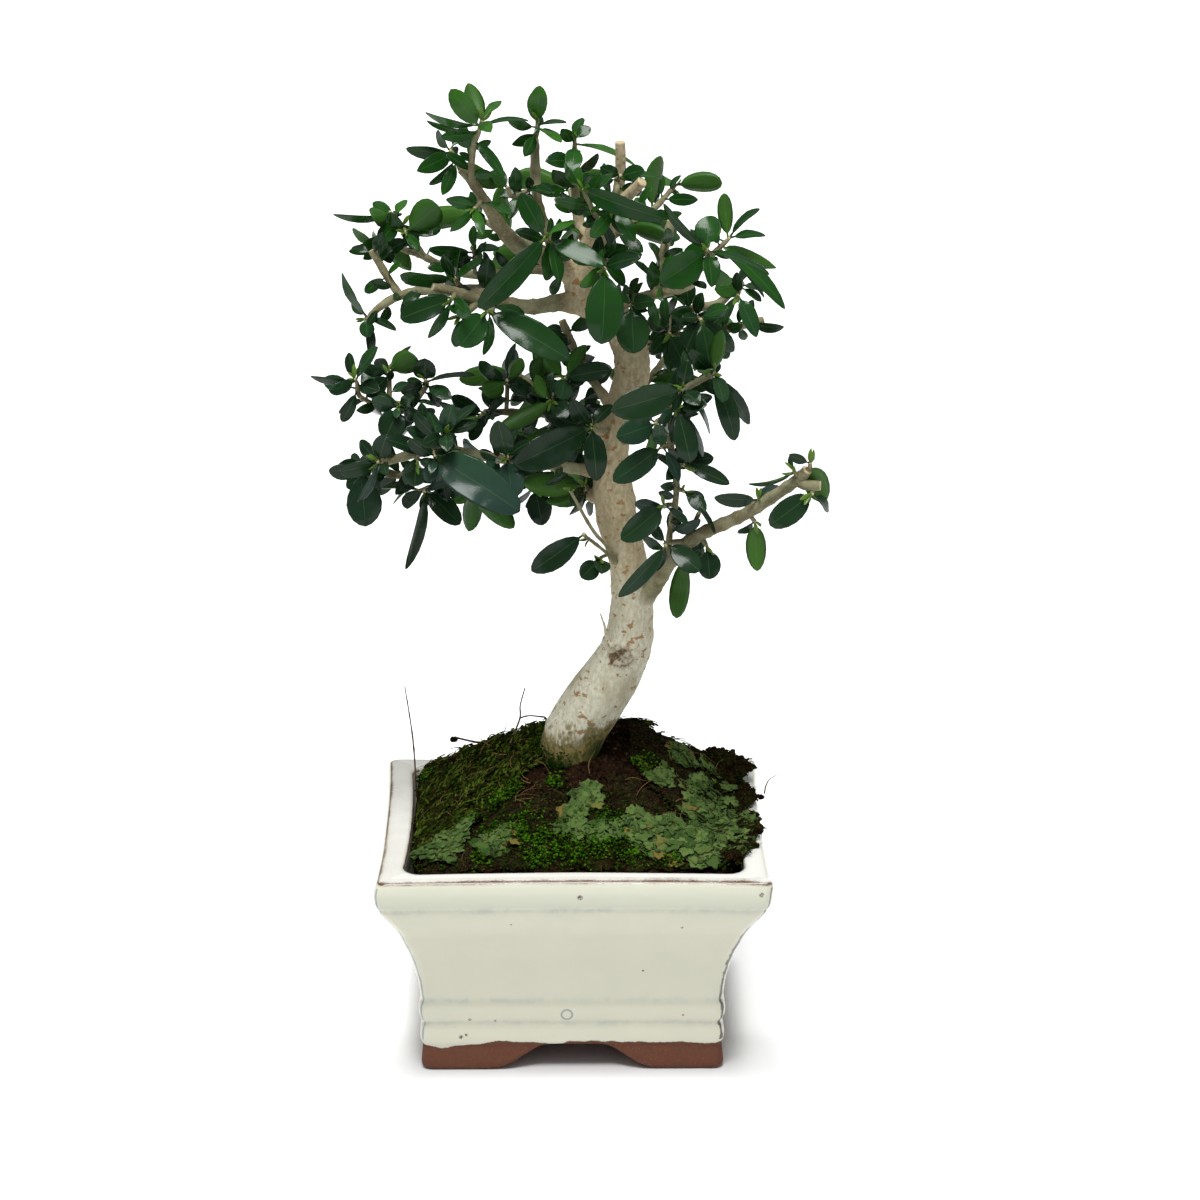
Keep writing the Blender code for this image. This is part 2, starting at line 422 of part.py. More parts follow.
# Branches on the far side, which the photograph doesn't show: a route, how many pairs of leaves
# it has, and their length and width. Each pair stands at a right angle to the one before.
REAR_BRANCHES = [
    ("rear_crown", "trunk",
     [(8, 8, 299, 3.4), (8, 22, 307, 1.9), (3, 38, 318, 1.6), (-1, 50, 331, 0.9)], 3, 23.0, 8.5),
    ("rear_crown_left", "trunk",
     [(4, 8, 305, 3.4), (-9, 27, 312, 1.9), (-25, 38, 316, 1.6), (-38, 45, 323, 0.9)], 3, 24.0, 9.0),
    ("rear_crown_right", "trunk",
     [(9, 9, 319, 3.0), (20, 26, 322, 1.8), (31, 38, 326, 1.5), (40, 49, 333, 0.9)], 3, 22.0, 8.5),
    ("rear_mid_right", "trunk",
     [(19, 9, 256, 3.0), (28, 25, 260, 1.8), (36, 39, 266, 1.5), (42, 50, 275, 0.9)], 3, 24.0, 9.0),
    ("rear_mid_left", "trunk",
     [(16, 8, 244, 3.0), (6, 25, 246, 1.8), (-9, 38, 252, 1.5), (-24, 48, 259, 0.9)], 3, 24.0, 9.0),
    ("rear_low", "trunk",
     [(17, 7, 212, 3.0), (14, 24, 218, 1.8), (4, 37, 226, 1.5), (-8, 46, 232, 0.9)], 3, 24.0, 9.0),
]
LEAF_SEED = 7


def new_collection(name):
    collection = bpy.data.collections.new(name)
    bpy.context.scene.collection.children.link(collection)
    return collection


def mesh_object(name, vertices, faces, collection):
    """Make a mesh object from vertices in millimetres, with its faces turned outwards."""
    mesh = bpy.data.meshes.new(name)
    mesh.from_pydata([Vector(v) * MM for v in vertices], [], faces)
    work = bmesh.new()
    work.from_mesh(mesh)
    bmesh.ops.recalc_face_normals(work, faces=work.faces)
    work.to_mesh(mesh)
    work.free()
    obj = bpy.data.objects.new(name, mesh)
    collection.objects.link(obj)
    return obj


def hide_as_cutter(obj):
    obj.hide_render = True
    obj.display_type = "WIRE"


def apply_modifiers(obj):
    """Replace an object's mesh with its evaluated one and drop the modifiers."""
    graph = bpy.context.evaluated_depsgraph_get()
    mesh = bpy.data.meshes.new_from_object(obj.evaluated_get(graph))
    obj.modifiers.clear()
    obj.data = mesh


def boolean(obj, operation, operand, solver="EXACT"):
    """Add or cut an object, or every object of a collection, and apply it."""
    step = obj.modifiers.new(operation.lower(), "BOOLEAN")
    step.operation = operation
    step.solver = solver
    if isinstance(operand, bpy.types.Collection):
        step.operand_type = "COLLECTION"
        step.collection = operand
    else:
        step.object = operand
    apply_modifiers(obj)


def keep_main_body(obj):
    """Drop loose scraps, so that one closed body is left."""
    work = bmesh.new()
    work.from_mesh(obj.data)
    unseen = set(work.verts)
    bodies = []
    while unseen:
        front = [unseen.pop()]
        body = set(front)
        while front:
            for edge in front.pop().link_edges:
                for vertex in edge.verts:
                    if vertex in unseen:
                        unseen.discard(vertex)
                        body.add(vertex)
                        front.append(vertex)
        bodies.append(body)
    main = max(bodies, key=len)
    scraps = [vertex for vertex in work.verts if vertex not in main]
    bmesh.ops.delete(work, geom=scraps, context="VERTS")
    work.to_mesh(obj.data)
    work.free()


def remove_object(obj):
    bpy.data.objects.remove(obj, do_unlink=True)


def finish(name, colour, roughness):
    """Make a Principled material."""
    material = bpy.data.materials.new(name)
    material.use_nodes = True
    shader = material.node_tree.nodes["Principled BSDF"]
    shader.inputs["Base Color"].default_value = (*colour, 1.0)
    shader.inputs["Roughness"].default_value = roughness
    shader.inputs["Metallic"].default_value = 0.0
    return material


def dress(obj, material, smooth=True):
    obj.data.materials.clear()
    obj.data.materials.append(material)
    if smooth:
        obj.data.shade_smooth()
        obj.data.set_sharp_from_angle(angle=radians(40.0))


def rounded_ring(half_x, half_y, radius, z, bow=0.0):
    """Points of a rectangle with round corners, whose long sides bow in by the given amount."""
    points = []
    for corner, (sx, sy) in enumerate([(1, 1), (-1, 1), (-1, -1), (1, -1)]):
        for step in range(4):
            angle = pi / 2 * (corner + step / 3)
            points.append((
                sx * (half_x - radius) + radius * cos(angle),
                sy * (half_y - radius) + radius * sin(angle), z))
        if corner in (0, 2):
            points.append((0.0, sy * (half_y - bow), z))
        else:
            points.append((sx * (half_x - bow), 0.0, z))
    return points


def loft(name, rings, collection, split=False):
    """Skin rings of equal length, one above the other, and close both ends."""
    count = len(rings[0])
    faces = [tuple(reversed(range(count)))]
    for level in range(len(rings) - 1):
        low, high = level * count, (level + 1) * count
        for k in range(count):
            after = (k + 1) % count
            if split:
                faces += [(low + k, low + after, high + after), (low + k, high + after, high + k)]
            else:
                faces.append((low + k, low + after, high + after, high + k))
    faces.append(tuple((len(rings) - 1) * count + k for k in range(count)))
    return mesh_object(name, [p for ring in rings for p in ring], faces, collection)


def square(x, y, half, z):
    return [(x + sx * half, y + sy * half, z) for sx, sy in ((1, 1), (-1, 1), (-1, -1), (1, -1))]


def superellipse(half_x, half_y, angle):
    """How far a box with soft corners reaches in a direction."""
    across, up = abs(cos(angle) / half_x), abs(sin(angle) / half_y)
    return (across ** SOIL_POWER + up ** SOIL_POWER) ** (-1 / SOIL_POWER)


def pot_rings(levels):
    rings = []
    for z, inset, radius in levels:
        half_x = POT_WIDTH / 2 - inset
        half_y = POT_DEPTH / 2 - inset
        bow = WALL_BOW * min(1.0, z / POT_HEIGHT)
        rings.append(rounded_ring(half_x, half_y, radius, z, bow))
    return rings


def prism(name, outline, half_length, along_x, collection):
    """Extrude a flat outline of (side, height) points along X or along Y."""
    curve = bpy.data.curves.new(name, "CURVE")
    curve.dimensions = "2D"
    curve.fill_mode = "BOTH"
    curve.extrude = half_length * MM
    spline = curve.splines.new("POLY")
    spline.points.add(len(outline) - 1)
    for point, (side, height) in zip(spline.points, outline):
        point.co = (side * MM, height * MM, 0.0, 1.0)
    spline.use_cyclic_u = True
    obj = bpy.data.objects.new(name, curve)
    collection.objects.link(obj)
    obj.rotation_euler = (pi / 2, 0.0, pi / 2 if along_x else 0.0)
    return curve_to_mesh(obj, collection)


def curve_to_mesh(obj, collection):
    """Turn a curve object into a closed mesh object of the same name."""
    bpy.context.view_layer.update()
    graph = bpy.context.evaluated_depsgraph_get()
    mesh = bpy.data.meshes.new_from_object(obj.evaluated_get(graph))
    name, matrix = obj.name, obj.matrix_world.copy()
    bpy.data.objects.remove(obj)
    work = bmesh.new()
    work.from_mesh(mesh)
    bmesh.ops.remove_doubles(work, verts=work.verts, dist=0.00001)
    bmesh.ops.transform(work, matrix=matrix, verts=work.verts)
    bmesh.ops.recalc_face_normals(work, faces=work.faces)
    work.to_mesh(mesh)
    work.free()
    solid = bpy.data.objects.new(name, mesh)
    collection.objects.link(solid)
    return solid


def arch_outline(half_top, slope):
    """The gap between two feet: a flat top that falls to the floor in an S on each side."""
    right = []
    for step in range(6):
        u = step / 5
        fall = u * u * (3 - 2 * u)
        right.append((half_top + slope * u, FOOT_HEIGHT * (1 - fall)))
    right[-1] = (half_top + slope, -1.0)
    left = [(-side, height) for side, height in reversed(right)]
    return left + right


def build_pot(parts, cutters, material):
    """Outer and inner lofts, less the space between the feet and the two drainage holes."""
    pot = loft("pot", pot_rings(POT_LEVELS), parts)
    cavity = pot_rings(CAVITY_LEVELS)
    cavity.append([(x, y, POT_HEIGHT + 4.0) for x, y, z in cavity[-1]])
    tools = [loft("cavity", cavity, cutters)]
    inside_x = POT_WIDTH / 2 - POT_LEVELS[0][1] - FOOT_WALL
    inside_y = POT_DEPTH / 2 - POT_LEVELS[0][1] - FOOT_WALL
    under = [rounded_ring(inside_x, inside_y, 5.0, z) for z in (-2.0, FOOT_HEIGHT - 0.1)]
    tools.append(loft("under", under, cutters))
    tools.append(prism("arch_front", arch_outline(ARCH_TOP, ARCH_SLOPE), POT_DEPTH, False, cutters))
    tools.append(prism("arch_side", arch_outline(SIDE_ARCH_TOP, SIDE_ARCH_SLOPE), POT_WIDTH, True, cutters))
    for side in (-1, 1):
        bpy.ops.mesh.primitive_cylinder_add(
            vertices=16, radius=DRAIN_RADIUS * MM, depth=20 * MM,
            location=(side * DRAIN_X * MM, 0.0, FLOOR_Z * MM))
        hole = bpy.context.object
        hole.data.transform(hole.matrix_world)
        hole.matrix_world = Matrix.Identity(4)
        for owner in list(hole.users_collection):
            owner.objects.unlink(hole)
        cutters.objects.link(hole)
        tools.append(hole)
    for tool in tools:
        hide_as_cutter(tool)
        boolean(pot, "DIFFERENCE", tool)
        remove_object(tool)
    dress(pot, material)


def build_net(name, centre_x, parts, cutters, material):
    """A square of net: a thin plate with four square holes."""
    z = FLOOR_Z + GAP
    plate = [square(centre_x, 0.0, NET_SIZE / 2, z + up) for up in (0.0, NET_THICKNESS)]
    net = loft(name, plate, parts)
    for row in (-0.5, 0.5):
        for column in (-0.5, 0.5):
            x, y = centre_x + column * NET_CELL, row * NET_CELL
            through = [square(x, y, NET_HOLE / 2, z + up) for up in (-THROUGH, NET_THICKNESS + THROUGH)]
            tool = loft("net_hole", through, cutters)
            boolean(net, "DIFFERENCE", tool)
            remove_object(tool)
    dress(net, material, smooth=False)


def soil_ring(u):
    """One ring of the mound's top: u runs from 0 at the pot's wall to 1 at the peak."""
    z, inset, radius = CAVITY_LEVELS[-2]
    half_x = (POT_WIDTH / 2 - inset - GAP - WALL_BOW) * (1 - u)
    half_y = (POT_DEPTH / 2 - inset - GAP - WALL_BOW) * (1 - u)
    ring = []
    for k in range(SOIL_AROUND):
        angle = 2 * pi * k / SOIL_AROUND
        reach = superellipse(half_x, half_y, angle) if u < 1 else 0.0
        x, y = cos(angle) * reach + SOIL_PEAK[0] * u, sin(angle) * reach + SOIL_PEAK[1] * u
        rear = min(1.0, max(0.0, 0.35 + sin(angle)))
        swell = (1 - rear) * u ** FRONT_SLOPE + rear * (1 - (1 - u) ** REAR_SWELL)
        rise = (SOIL_PEAK[2] - SOIL_EDGE_Z) * swell
        lump = 1.1 * sin(x * 0.31 + 1.0) * cos(y * 0.27) + 0.8 * sin(x * 0.13 - y * 0.19)
        ring.append((x, y, SOIL_EDGE_Z + rise + lump * min(1.0, 3 * u)))
    return ring


def build_soil(parts, cutters, material):
    """Rings up the hollow's wall, then rings in to the peak; less the nets' places."""
    rings = []
    for z, inset, radius in CAVITY_LEVELS[:3] + CAVITY_LEVELS[4:-1]:
        half_x = POT_WIDTH / 2 - inset - 2 * GAP
        half_y = POT_DEPTH / 2 - inset - 2 * GAP
        ring = []
        for k in range(SOIL_AROUND):
            angle = 2 * pi * k / SOIL_AROUND
            reach = superellipse(half_x, half_y, angle) - WALL_BOW * z / POT_HEIGHT
            ring.append((cos(angle) * reach, sin(angle) * reach, min(z + GAP, SOIL_EDGE_Z - 2.0)))
        rings.append(ring)
    for level in range(SOIL_RINGS):
        rings.append(soil_ring(level / SOIL_RINGS))
    soil = loft("soil", rings, parts, split=True)
    for side in (-1, 1):
        heights = (FLOOR_Z - THROUGH, FLOOR_Z + 2 * GAP + NET_THICKNESS)
        place = [square(side * DRAIN_X, 0.0, NET_SIZE / 2 + GAP, z) for z in heights]
        tool = loft("net_place", place, cutters)
        boolean(soil, "DIFFERENCE", tool)
        remove_object(tool)
    dress(soil, material)
    return soil


# Coverings on the soil: name, first and last sector, first and last ring, thickness, and how far
# it hangs out over the lip.
COVERINGS = [
    ("moss_left", 14, 22, 0, 6, 2.4, 0.0),
    ("moss_rear", 4, 14, 0, 5, 2.4, 0.0),
    ("moss_right", 32, 40, 0, 2, 2.6, 7.5),
    ("moss_front", 26, 29, 0, 4, 2.2, 0.0),
    ("liverwort_left", 22, 26, 0, 4, 2.0, 0.0),
    ("liverwort_right", 29, 32, 0, 5, 2.2, 0.0),
    ("liverwort_slope", 32, 40, 2, 6, 2.2, 0.0),
]
COVERING_INSET = 0.07
COVERING_LIFT = GAP + 0.1
COVERING_EDGE = 0.45


def soil_point(sector, ring):
    """A point of the mound's top between its grid points, as its facets run."""
    k, j = int(sector // 1), min(int(ring // 1), SOIL_RINGS - 1)
    a, b = sector - k, ring - j
    low, high = soil_ring(j / SOIL_RINGS), soil_ring((j + 1) / SOIL_RINGS)
    corners = [np.array(r[q % SOIL_AROUND]) for r in (low, high) for q in (k, k + 1)]
    near = corners[0] * (1 - a) + corners[1] * a
    far = corners[2] * (1 - a) + corners[3] * a
    return near * (1 - b) + far * b


def build_covering(entry, parts, material):
    """A lumpy mat that follows the soil's own grid, a small gap above it."""
    name, first, last, inner, outer, thickness, hang = entry
    sectors = [float(k) for k in range(first, last + 1)]
    rings = [float(j) for j in range(inner, outer + 1)]
    sectors[0] += COVERING_INSET
    sectors[-1] -= COVERING_INSET
    rings[0] += COVERING_INSET
    rings[-1] -= COVERING_INSET
    rows = [[soil_point(k, j) + (0, 0, COVERING_LIFT) for k in sectors] for j in rings]
    if hang:
        lip = POT_HEIGHT + GAP
        for point in rows[0]:
            point[2] = max(point[2], lip)
        edge = []
        for point in rows[0]:
            reach = hang * (0.55 + 0.45 * sin(point[1] * 0.16 - 2.2))
            edge.append(np.array((point[0] + reach, point[1] * 0.97, lip)))
        rows.insert(0, edge)
    count = len(sectors)
    under = [point for row in rows for point in row]
    over = []
    for j, row in enumerate(rows):
        for k, point in enumerate(row):
            on_edge = j in (0, len(rows) - 1) or k in (0, count - 1)
            lump = 0.5 + 0.5 * sin(point[0] * 1.7 + point[1] * 0.6) * cos(point[1] * 1.4 + j)
            over.append(point + (0, 0, thickness * (COVERING_EDGE if on_edge else 0.6 + 0.6 * lump)))
    vertices = [tuple(p) for p in under + over]
    top = len(under)
    faces = []
    for j in range(len(rows) - 1):
        for k in range(count - 1):
            a, b = j * count + k, j * count + k + 1
            c, d = b + count, a + count
            faces += [(a, b, c), (a, c, d), (a + top, c + top, b + top), (a + top, d + top, c + top)]
    rim = [(j, 0) for j in range(len(rows))] + [(len(rows) - 1, k) for k in range(1, count)]
    rim += [(j, count - 1) for j in range(len(rows) - 2, -1, -1)] + [(0, k) for k in range(count - 2, 0, -1)]
    for (j, k), (j2, k2) in zip(rim, rim[1:] + rim[:1]):
        a, b = j * count + k, j2 * count + k2
        faces.append((a, b, b + top, a + top))
    mat = mesh_object(name, vertices, faces, parts)
    dress(mat, material)
    return mat


def tube(name, route, resolution, collection, grow=0.0):
    """A round limb along a route of x, y, z and radius, with cut ends."""
    curve = bpy.data.curves.new(name, "CURVE")
    curve.dimensions = "3D"
    curve.bevel_depth = MM
    curve.bevel_resolution = resolution
    curve.use_fill_caps = True
    spline = curve.splines.new("POLY")
    spline.points.add(len(route) - 1)
    for point, (x, y, z, radius) in zip(spline.points, route):
        point.co = (x * MM, y * MM, z * MM, 1.0)
        point.radius = radius + grow
    obj = bpy.data.objects.new(name, curve)
    collection.objects.link(obj)
    return curve_to_mesh(obj, collection)


def join_all(name, objects):
    """Unite objects into one body by a Boolean on a collection."""
    body = objects[0]
    if len(objects) > 1:
        group = new_collection(name + "_joined")
        for obj in objects[1:]:
            for owner in list(obj.users_collection):
                owner.objects.unlink(obj)
            group.objects.link(obj)
        boolean(body, "UNION", group, "MANIFOLD")
        for obj in objects[1:]:
            remove_object(obj)
        bpy.data.collections.remove(group)
    body.name = name
    keep_main_body(body)
    return body


def along(route, t):
    """The point at a share t of a route's length."""
    points = [np.array(p[:3], float) for p in route]
    spans = [np.linalg.norm(b - a) for a, b in zip(points, points[1:])]
    left = t * sum(spans)
    for a, b, span in zip(points, points[1:], spans):
        if left <= span + 1e-9:
            return a + (b - a) * (left / span)
        left -= span
    return points[-1]


def foot_on(hosts, point):
    """The nearest point to another on the middle lines of some limbs."""
    point = np.array(point[:3], float)
    best = None
    for route in hosts:
        for p, q in zip(route, route[1:]):
            a, b = np.array(p[:3], float), np.array(q[:3], float)
            share = np.clip(np.dot(point - a, b - a) / np.dot(b - a, b - a), 0.0, 1.0)
            spot = a + (b - a) * share
            away = np.linalg.norm(point - spot)
            if best is None or away < best[0]:
                best = (away, spot)
    return best


def rooted(route, hosts):
    """Start a limb on the middle line of the limb that it grows from."""
    away, spot = foot_on(hosts, route[0])
    start = (*[float(c) for c in spot], route[0][3])
    return [start] + list(route[1:] if away < 1.5 else route)


def blade_frame(root, tip, roll):
    """Direction, sideways and face vectors of a blade, rolled from facing the camera."""
    course = (tip - root) / np.linalg.norm(tip - root)
    view = np.array((0.0, -cos(VIEW_TILT), sin(VIEW_TILT)))
    face = view - course * np.dot(view, course)
    if np.linalg.norm(face) < 0.2:
        face = np.array((0.0, 0.0, 1.0)) - course * course[2]
    face /= np.linalg.norm(face)
    side = np.cross(course, face)
    turn = radians(roll)
    return course, side * cos(turn) + face * sin(turn), face * cos(turn) - side * sin(turn)


def blade(leaf, spare=0.0, start=-ROOT_DEPTH):
    """A leaf as a thin arched slab: a pointed root, one or two wide places and a pointed tip."""
    root, tip, width, roll = leaf
    course, side, face = blade_frame(root, tip, roll)
    length = np.linalg.norm(tip - root)
    upper = [root + course * start]
    stations = BROAD_STATIONS if width > NARROW_WIDTH else NARROW_STATIONS
    for t, half in stations:
        middle = root + course * length * t + face * BLADE_ARCH * length * 4 * t * (1 - t)
        half = half * width + spare
        upper += [middle - side * half, middle + side * half]
    upper.append(tip + course * spare)
    rise = face * (BLADE_THICKNESS / 2 + spare)
    vertices = [p + rise for p in upper] + [p - rise for p in upper]
    below = len(upper)
    last = below - 1
    flat = [(0, 1, 2), (last - 2, last, last - 1)]
    for left in range(1, last - 2, 2):
        flat += [(left, left + 2, left + 3), (left, left + 3, left + 1)]
    faces = flat + [tuple(k + below for k in reversed(corners)) for corners in flat]
    border = list(range(0, last, 2)) + [last] + list(range(last - 2, 0, -2))
    for a, b in zip(border, border[1:] + border[:1]):
        faces += [(a, b, b + below), (a, b + below, a + below)]
    return vertices, faces


class Space:
    """What is already in place, so that a new blade can be kept clear of it."""

    def __init__(self):
        self.things = []

    def add(self, vertices, faces, owner, kind):
        points = np.array(vertices, float)
        tree = BVHTree.FromPolygons([Vector(p) for p in points], faces)
        self.things.append((points.min(axis=0), points.max(axis=0), tree, owner, kind))

    def hits(self, leaf, owner, own_leaves):
        """Whether a leaf, a little enlarged, meets anything; near its root only others' leaves count."""
        root, tip, width, roll = leaf
        clear_of_root = min(ROOT_PART_LENGTH, ROOT_PART * np.linalg.norm(tip - root))
        outer, faces = blade(leaf, CLEAR, clear_of_root)
        whole, faces = blade(leaf, CLEAR, 0.0)
        points = np.array(whole, float)
        low, high = points.min(axis=0), points.max(axis=0)
        outer_tree = BVHTree.FromPolygons([Vector(p) for p in outer], faces)
        whole_tree = BVHTree.FromPolygons([Vector(p) for p in whole], faces)
        for t_low, t_high, other, other_owner, kind in self.things:
            if other_owner == owner and not (own_leaves and kind == "leaf"):
                continue
            if (low > t_high).any() or (high < t_low).any():
                continue
            tree = whole_tree if other_owner != owner and kind == "leaf" else outer_tree
            if tree.overlap(other):
                return True
        return False


def swings():
    """Small turns of a blade to try, the mildest first: along the view, across it and in roll."""
    tries = [(push, swing, turn) for push in (0, 3, -3, 6, -6, 9, -9, 13, -13)
             for swing in (0, 4, -4, 8, -8) for turn in (0, 25, -25)]
    return sorted(tries, key=lambda t: abs(t[0]) + 1.6 * abs(t[1]) + 0.12 * abs(t[2]))


def settle(leaf, owner, space):
    """Bend a leaf clear of what is in place, or give None where there is no room for it."""
    root, tip, width, roll = leaf
    course = (tip - root) / np.linalg.norm(tip - root)
    length = np.linalg.norm(tip - root)
    view = np.array((0.0, -cos(VIEW_TILT), sin(VIEW_TILT)))
    across = np.cross(course, view)
    for own_leaves in (True, False):
        for push, swing, turn in swings():
            moved = tip + view * push + across * swing
            moved = root + (moved - root) * (length / np.linalg.norm(moved - root))
            new = (root, moved, width, roll + turn)
            if not space.hits(new, owner, own_leaves):
                space.add(*blade(new), owner, "leaf")
                return new
    return None


def rear_leaves(route, pairs, length, width, draw):
    """Opposite pairs along a branch, each turned a right angle from the last, and a pair on top."""
    leaves = []
    for k in range(pairs):
        t = 0.4 + 0.6 * k / (pairs - 1)
        root = along(route, t)
        course = along(route, min(1.0, t + 0.05)) - along(route, min(1.0, t + 0.05) - 0.1)
        course /= np.linalg.norm(course)
        level = np.cross(course, (0.0, 0.0, 1.0))
        level /= np.linalg.norm(level)
        rising = np.cross(level, course)
        for side in (-1, 1):
            out = level * side if k % 2 == 0 else rising * side
            lean = 0.35 + 0.5 * k / pairs + draw.uniform(-0.12, 0.12)
            heading = out + course * lean + np.array((0.0, 0.0, -0.25))
            heading /= np.linalg.norm(heading)
            size = length * (1.0 - 0.05 * k) * draw.uniform(0.88, 1.08)
            leaves.append((root, root + heading * size, width * draw.uniform(0.9, 1.1),
                           draw.uniform(130.0, 200.0)))
    return leaves


def lay_out_tree():
    """Rooted limbs and settled leaves of every branch, the limbs all in place before any leaf."""
    limbs = {"trunk": [TRUNK] + CUT_LIMBS}
    branches = list(BRANCHES)
    draw = np.random.default_rng(LEAF_SEED)
    for name, host, route, pairs, length, width in REAR_BRANCHES:
        branches.append((name, host, [(route, rear_leaves(route, pairs, length, width, draw))]))
    wanted = {}
    for name, host, shoots in branches:
        own, leaves = [], []
        for route, marks in shoots:
            own.append(rooted(route, own if own else limbs[host]))
            for mark in marks:
                if len(mark) == 6:
                    t, x, y, z, width, roll = mark
                    mark = (along(route, t), np.array((x, y, z), float), width, roll)
                leaves.append(mark)
        limbs[name] = own
        wanted[name] = leaves
    return branches, limbs, wanted


def solid_arrays(obj):
    vertices = [tuple(v.co / MM) for v in obj.data.vertices]
    return vertices, [tuple(p.vertices) for p in obj.data.polygons]


def touches(one, other):
    trees = [BVHTree.FromPolygons(*solid_arrays(obj)) for obj in (one, other)]
    return bool(trees[0].overlap(trees[1]))


def build_tree(parts, cutters, bark, green):
    branches, limbs, wanted = lay_out_tree()
    space = Space()
    wood = {}
    for name, routes in limbs.items():
        resolution = 4 if name == "trunk" else 1
        tubes = []
        for k, route in enumerate(routes):
            round_enough = resolution if k == 0 else (1 if max(r[3] for r in route) > 1.4 else 0)
            tubes.append(tube(f"{name}_{k}", route, round_enough, parts))
            space.add(*solid_arrays(tubes[-1]), name, "limb")
        wood[name] = tubes
    grown = {}
    for name, routes in limbs.items():
        thick = [tube(f"{name}_cut_{k}", route, 4 if name == "trunk" and k == 0 else 1, cutters, GAP)
                 for k, route in enumerate(routes)]
        grown[name] = join_all(name + "_cutter", thick)
        hide_as_cutter(grown[name])
    trunk = join_all("trunk", wood["trunk"])
    dress(trunk, bark)
    done = ["trunk"]
    for name, host, shoots in branches:
        pieces = list(wood[name])
        for k, leaf in enumerate(wanted[name]):
            placed = settle(leaf, name, space)
            if placed is not None:
                pieces.append(mesh_object(f"{name}_leaf_{k}", *blade(placed), parts))
        body = join_all(name, pieces)
        for earlier in done:
            if earlier == host or touches(grown[earlier], body):
                boolean(body, "DIFFERENCE", grown[earlier], "MANIFOLD")
        keep_main_body(body)
        done.append(name)
        dress(body, green)
    return grown


def main():
    for obj in list(bpy.data.objects):
        bpy.data.objects.remove(obj, do_unlink=True)
    parts = new_collection("olive_bonsai")
    cutters = new_collection("cutters")
    glaze = finish("cream_glaze", (0.70, 0.68, 0.58), 0.25)
    earth = finish("damp_soil", (0.035, 0.022, 0.012), 0.95)
    moss = finish("moss", (0.06, 0.11, 0.02), 0.95)
    liverwort = finish("liverwort", (0.10, 0.17, 0.09), 0.8)
    net = finish("black_net", (0.02, 0.02, 0.02), 0.5)
    bark = finish("pale_bark", (0.42, 0.38, 0.27), 0.85)
    twig = finish("dry_twig", (0.20, 0.13, 0.08), 0.9)
    leaf = finish("leaf_green", (0.03, 0.11, 0.03), 0.35)
    build_pot(parts, cutters, glaze)
    build_net("net_left", -DRAIN_X, parts, cutters, net)
    build_net("net_right", DRAIN_X, parts, cutters, net)
    grown = build_tree(parts, cutters, bark, leaf)
    ground = [build_soil(parts, cutters, earth)]
    for entry in COVERINGS:
        kind = moss if entry[0].startswith("moss") else liverwort
        ground.append(build_covering(entry, parts, kind))
    holes = [grown["trunk"]]
    for name, routes in TWIGS.items():
        stem = join_all(name, [tube(f"{name}_{k}", route, 0, parts) for k, route in enumerate(routes)])
        dress(stem, twig)
        holes.append(join_all(name + "_cutter", [
            tube(f"{name}_cut_{k}", route, 0, cutters, GAP) for k, route in enumerate(routes)]))
    for obj in ground:
        for hole in holes:
            boolean(obj, "DIFFERENCE", hole)
        keep_main_body(obj)
    for hole in list(cutters.objects):
        hide_as_cutter(hole)


main()
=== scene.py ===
from collections import namedtuple
from math import cos, pi, radians, sin

import bmesh
import bpy
import numpy as np
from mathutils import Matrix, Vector
from mathutils.bvhtree import BVHTree


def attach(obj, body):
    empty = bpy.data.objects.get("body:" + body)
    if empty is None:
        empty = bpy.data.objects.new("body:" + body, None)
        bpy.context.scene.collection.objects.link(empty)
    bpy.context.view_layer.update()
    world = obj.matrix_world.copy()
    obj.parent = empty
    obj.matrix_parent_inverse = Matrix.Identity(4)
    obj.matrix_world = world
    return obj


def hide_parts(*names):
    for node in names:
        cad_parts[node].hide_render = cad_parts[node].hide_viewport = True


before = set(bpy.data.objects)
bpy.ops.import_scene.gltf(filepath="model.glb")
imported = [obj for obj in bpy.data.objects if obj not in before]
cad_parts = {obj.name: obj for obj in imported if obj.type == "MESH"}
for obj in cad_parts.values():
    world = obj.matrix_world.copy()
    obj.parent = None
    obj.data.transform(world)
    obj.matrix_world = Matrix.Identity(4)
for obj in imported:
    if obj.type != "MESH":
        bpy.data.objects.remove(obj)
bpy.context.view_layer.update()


# The pot: a slab-built stoneware tray on four corner feet, cream glaze over red-brown clay. The glaze stops
# short of the feet, runs thin and brown on sharp edges, pools blue-grey in grooves with painted shade, and
# has a painted highlight on the rim's top.
MM = 0.001
POT_WIDTH, POT_DEPTH, POT_HEIGHT = 150.0, 126.0, 88.0
WALL_BOW = 1.6
FLOOR_Z, CEILING_Z = 17.0, 11.2
FOOT_HEIGHT, FOOT_WALL = 10.8, 9.0
ARCH_TOP, ARCH_SLOPE = 9.0, 22.0
SIDE_ARCH_TOP, SIDE_ARCH_SLOPE = 5.0, 17.0
DRAIN_RADIUS, DRAIN_X = 7.0, 30.0
SIDE_STEPS, CORNER_STEPS = 44, 10
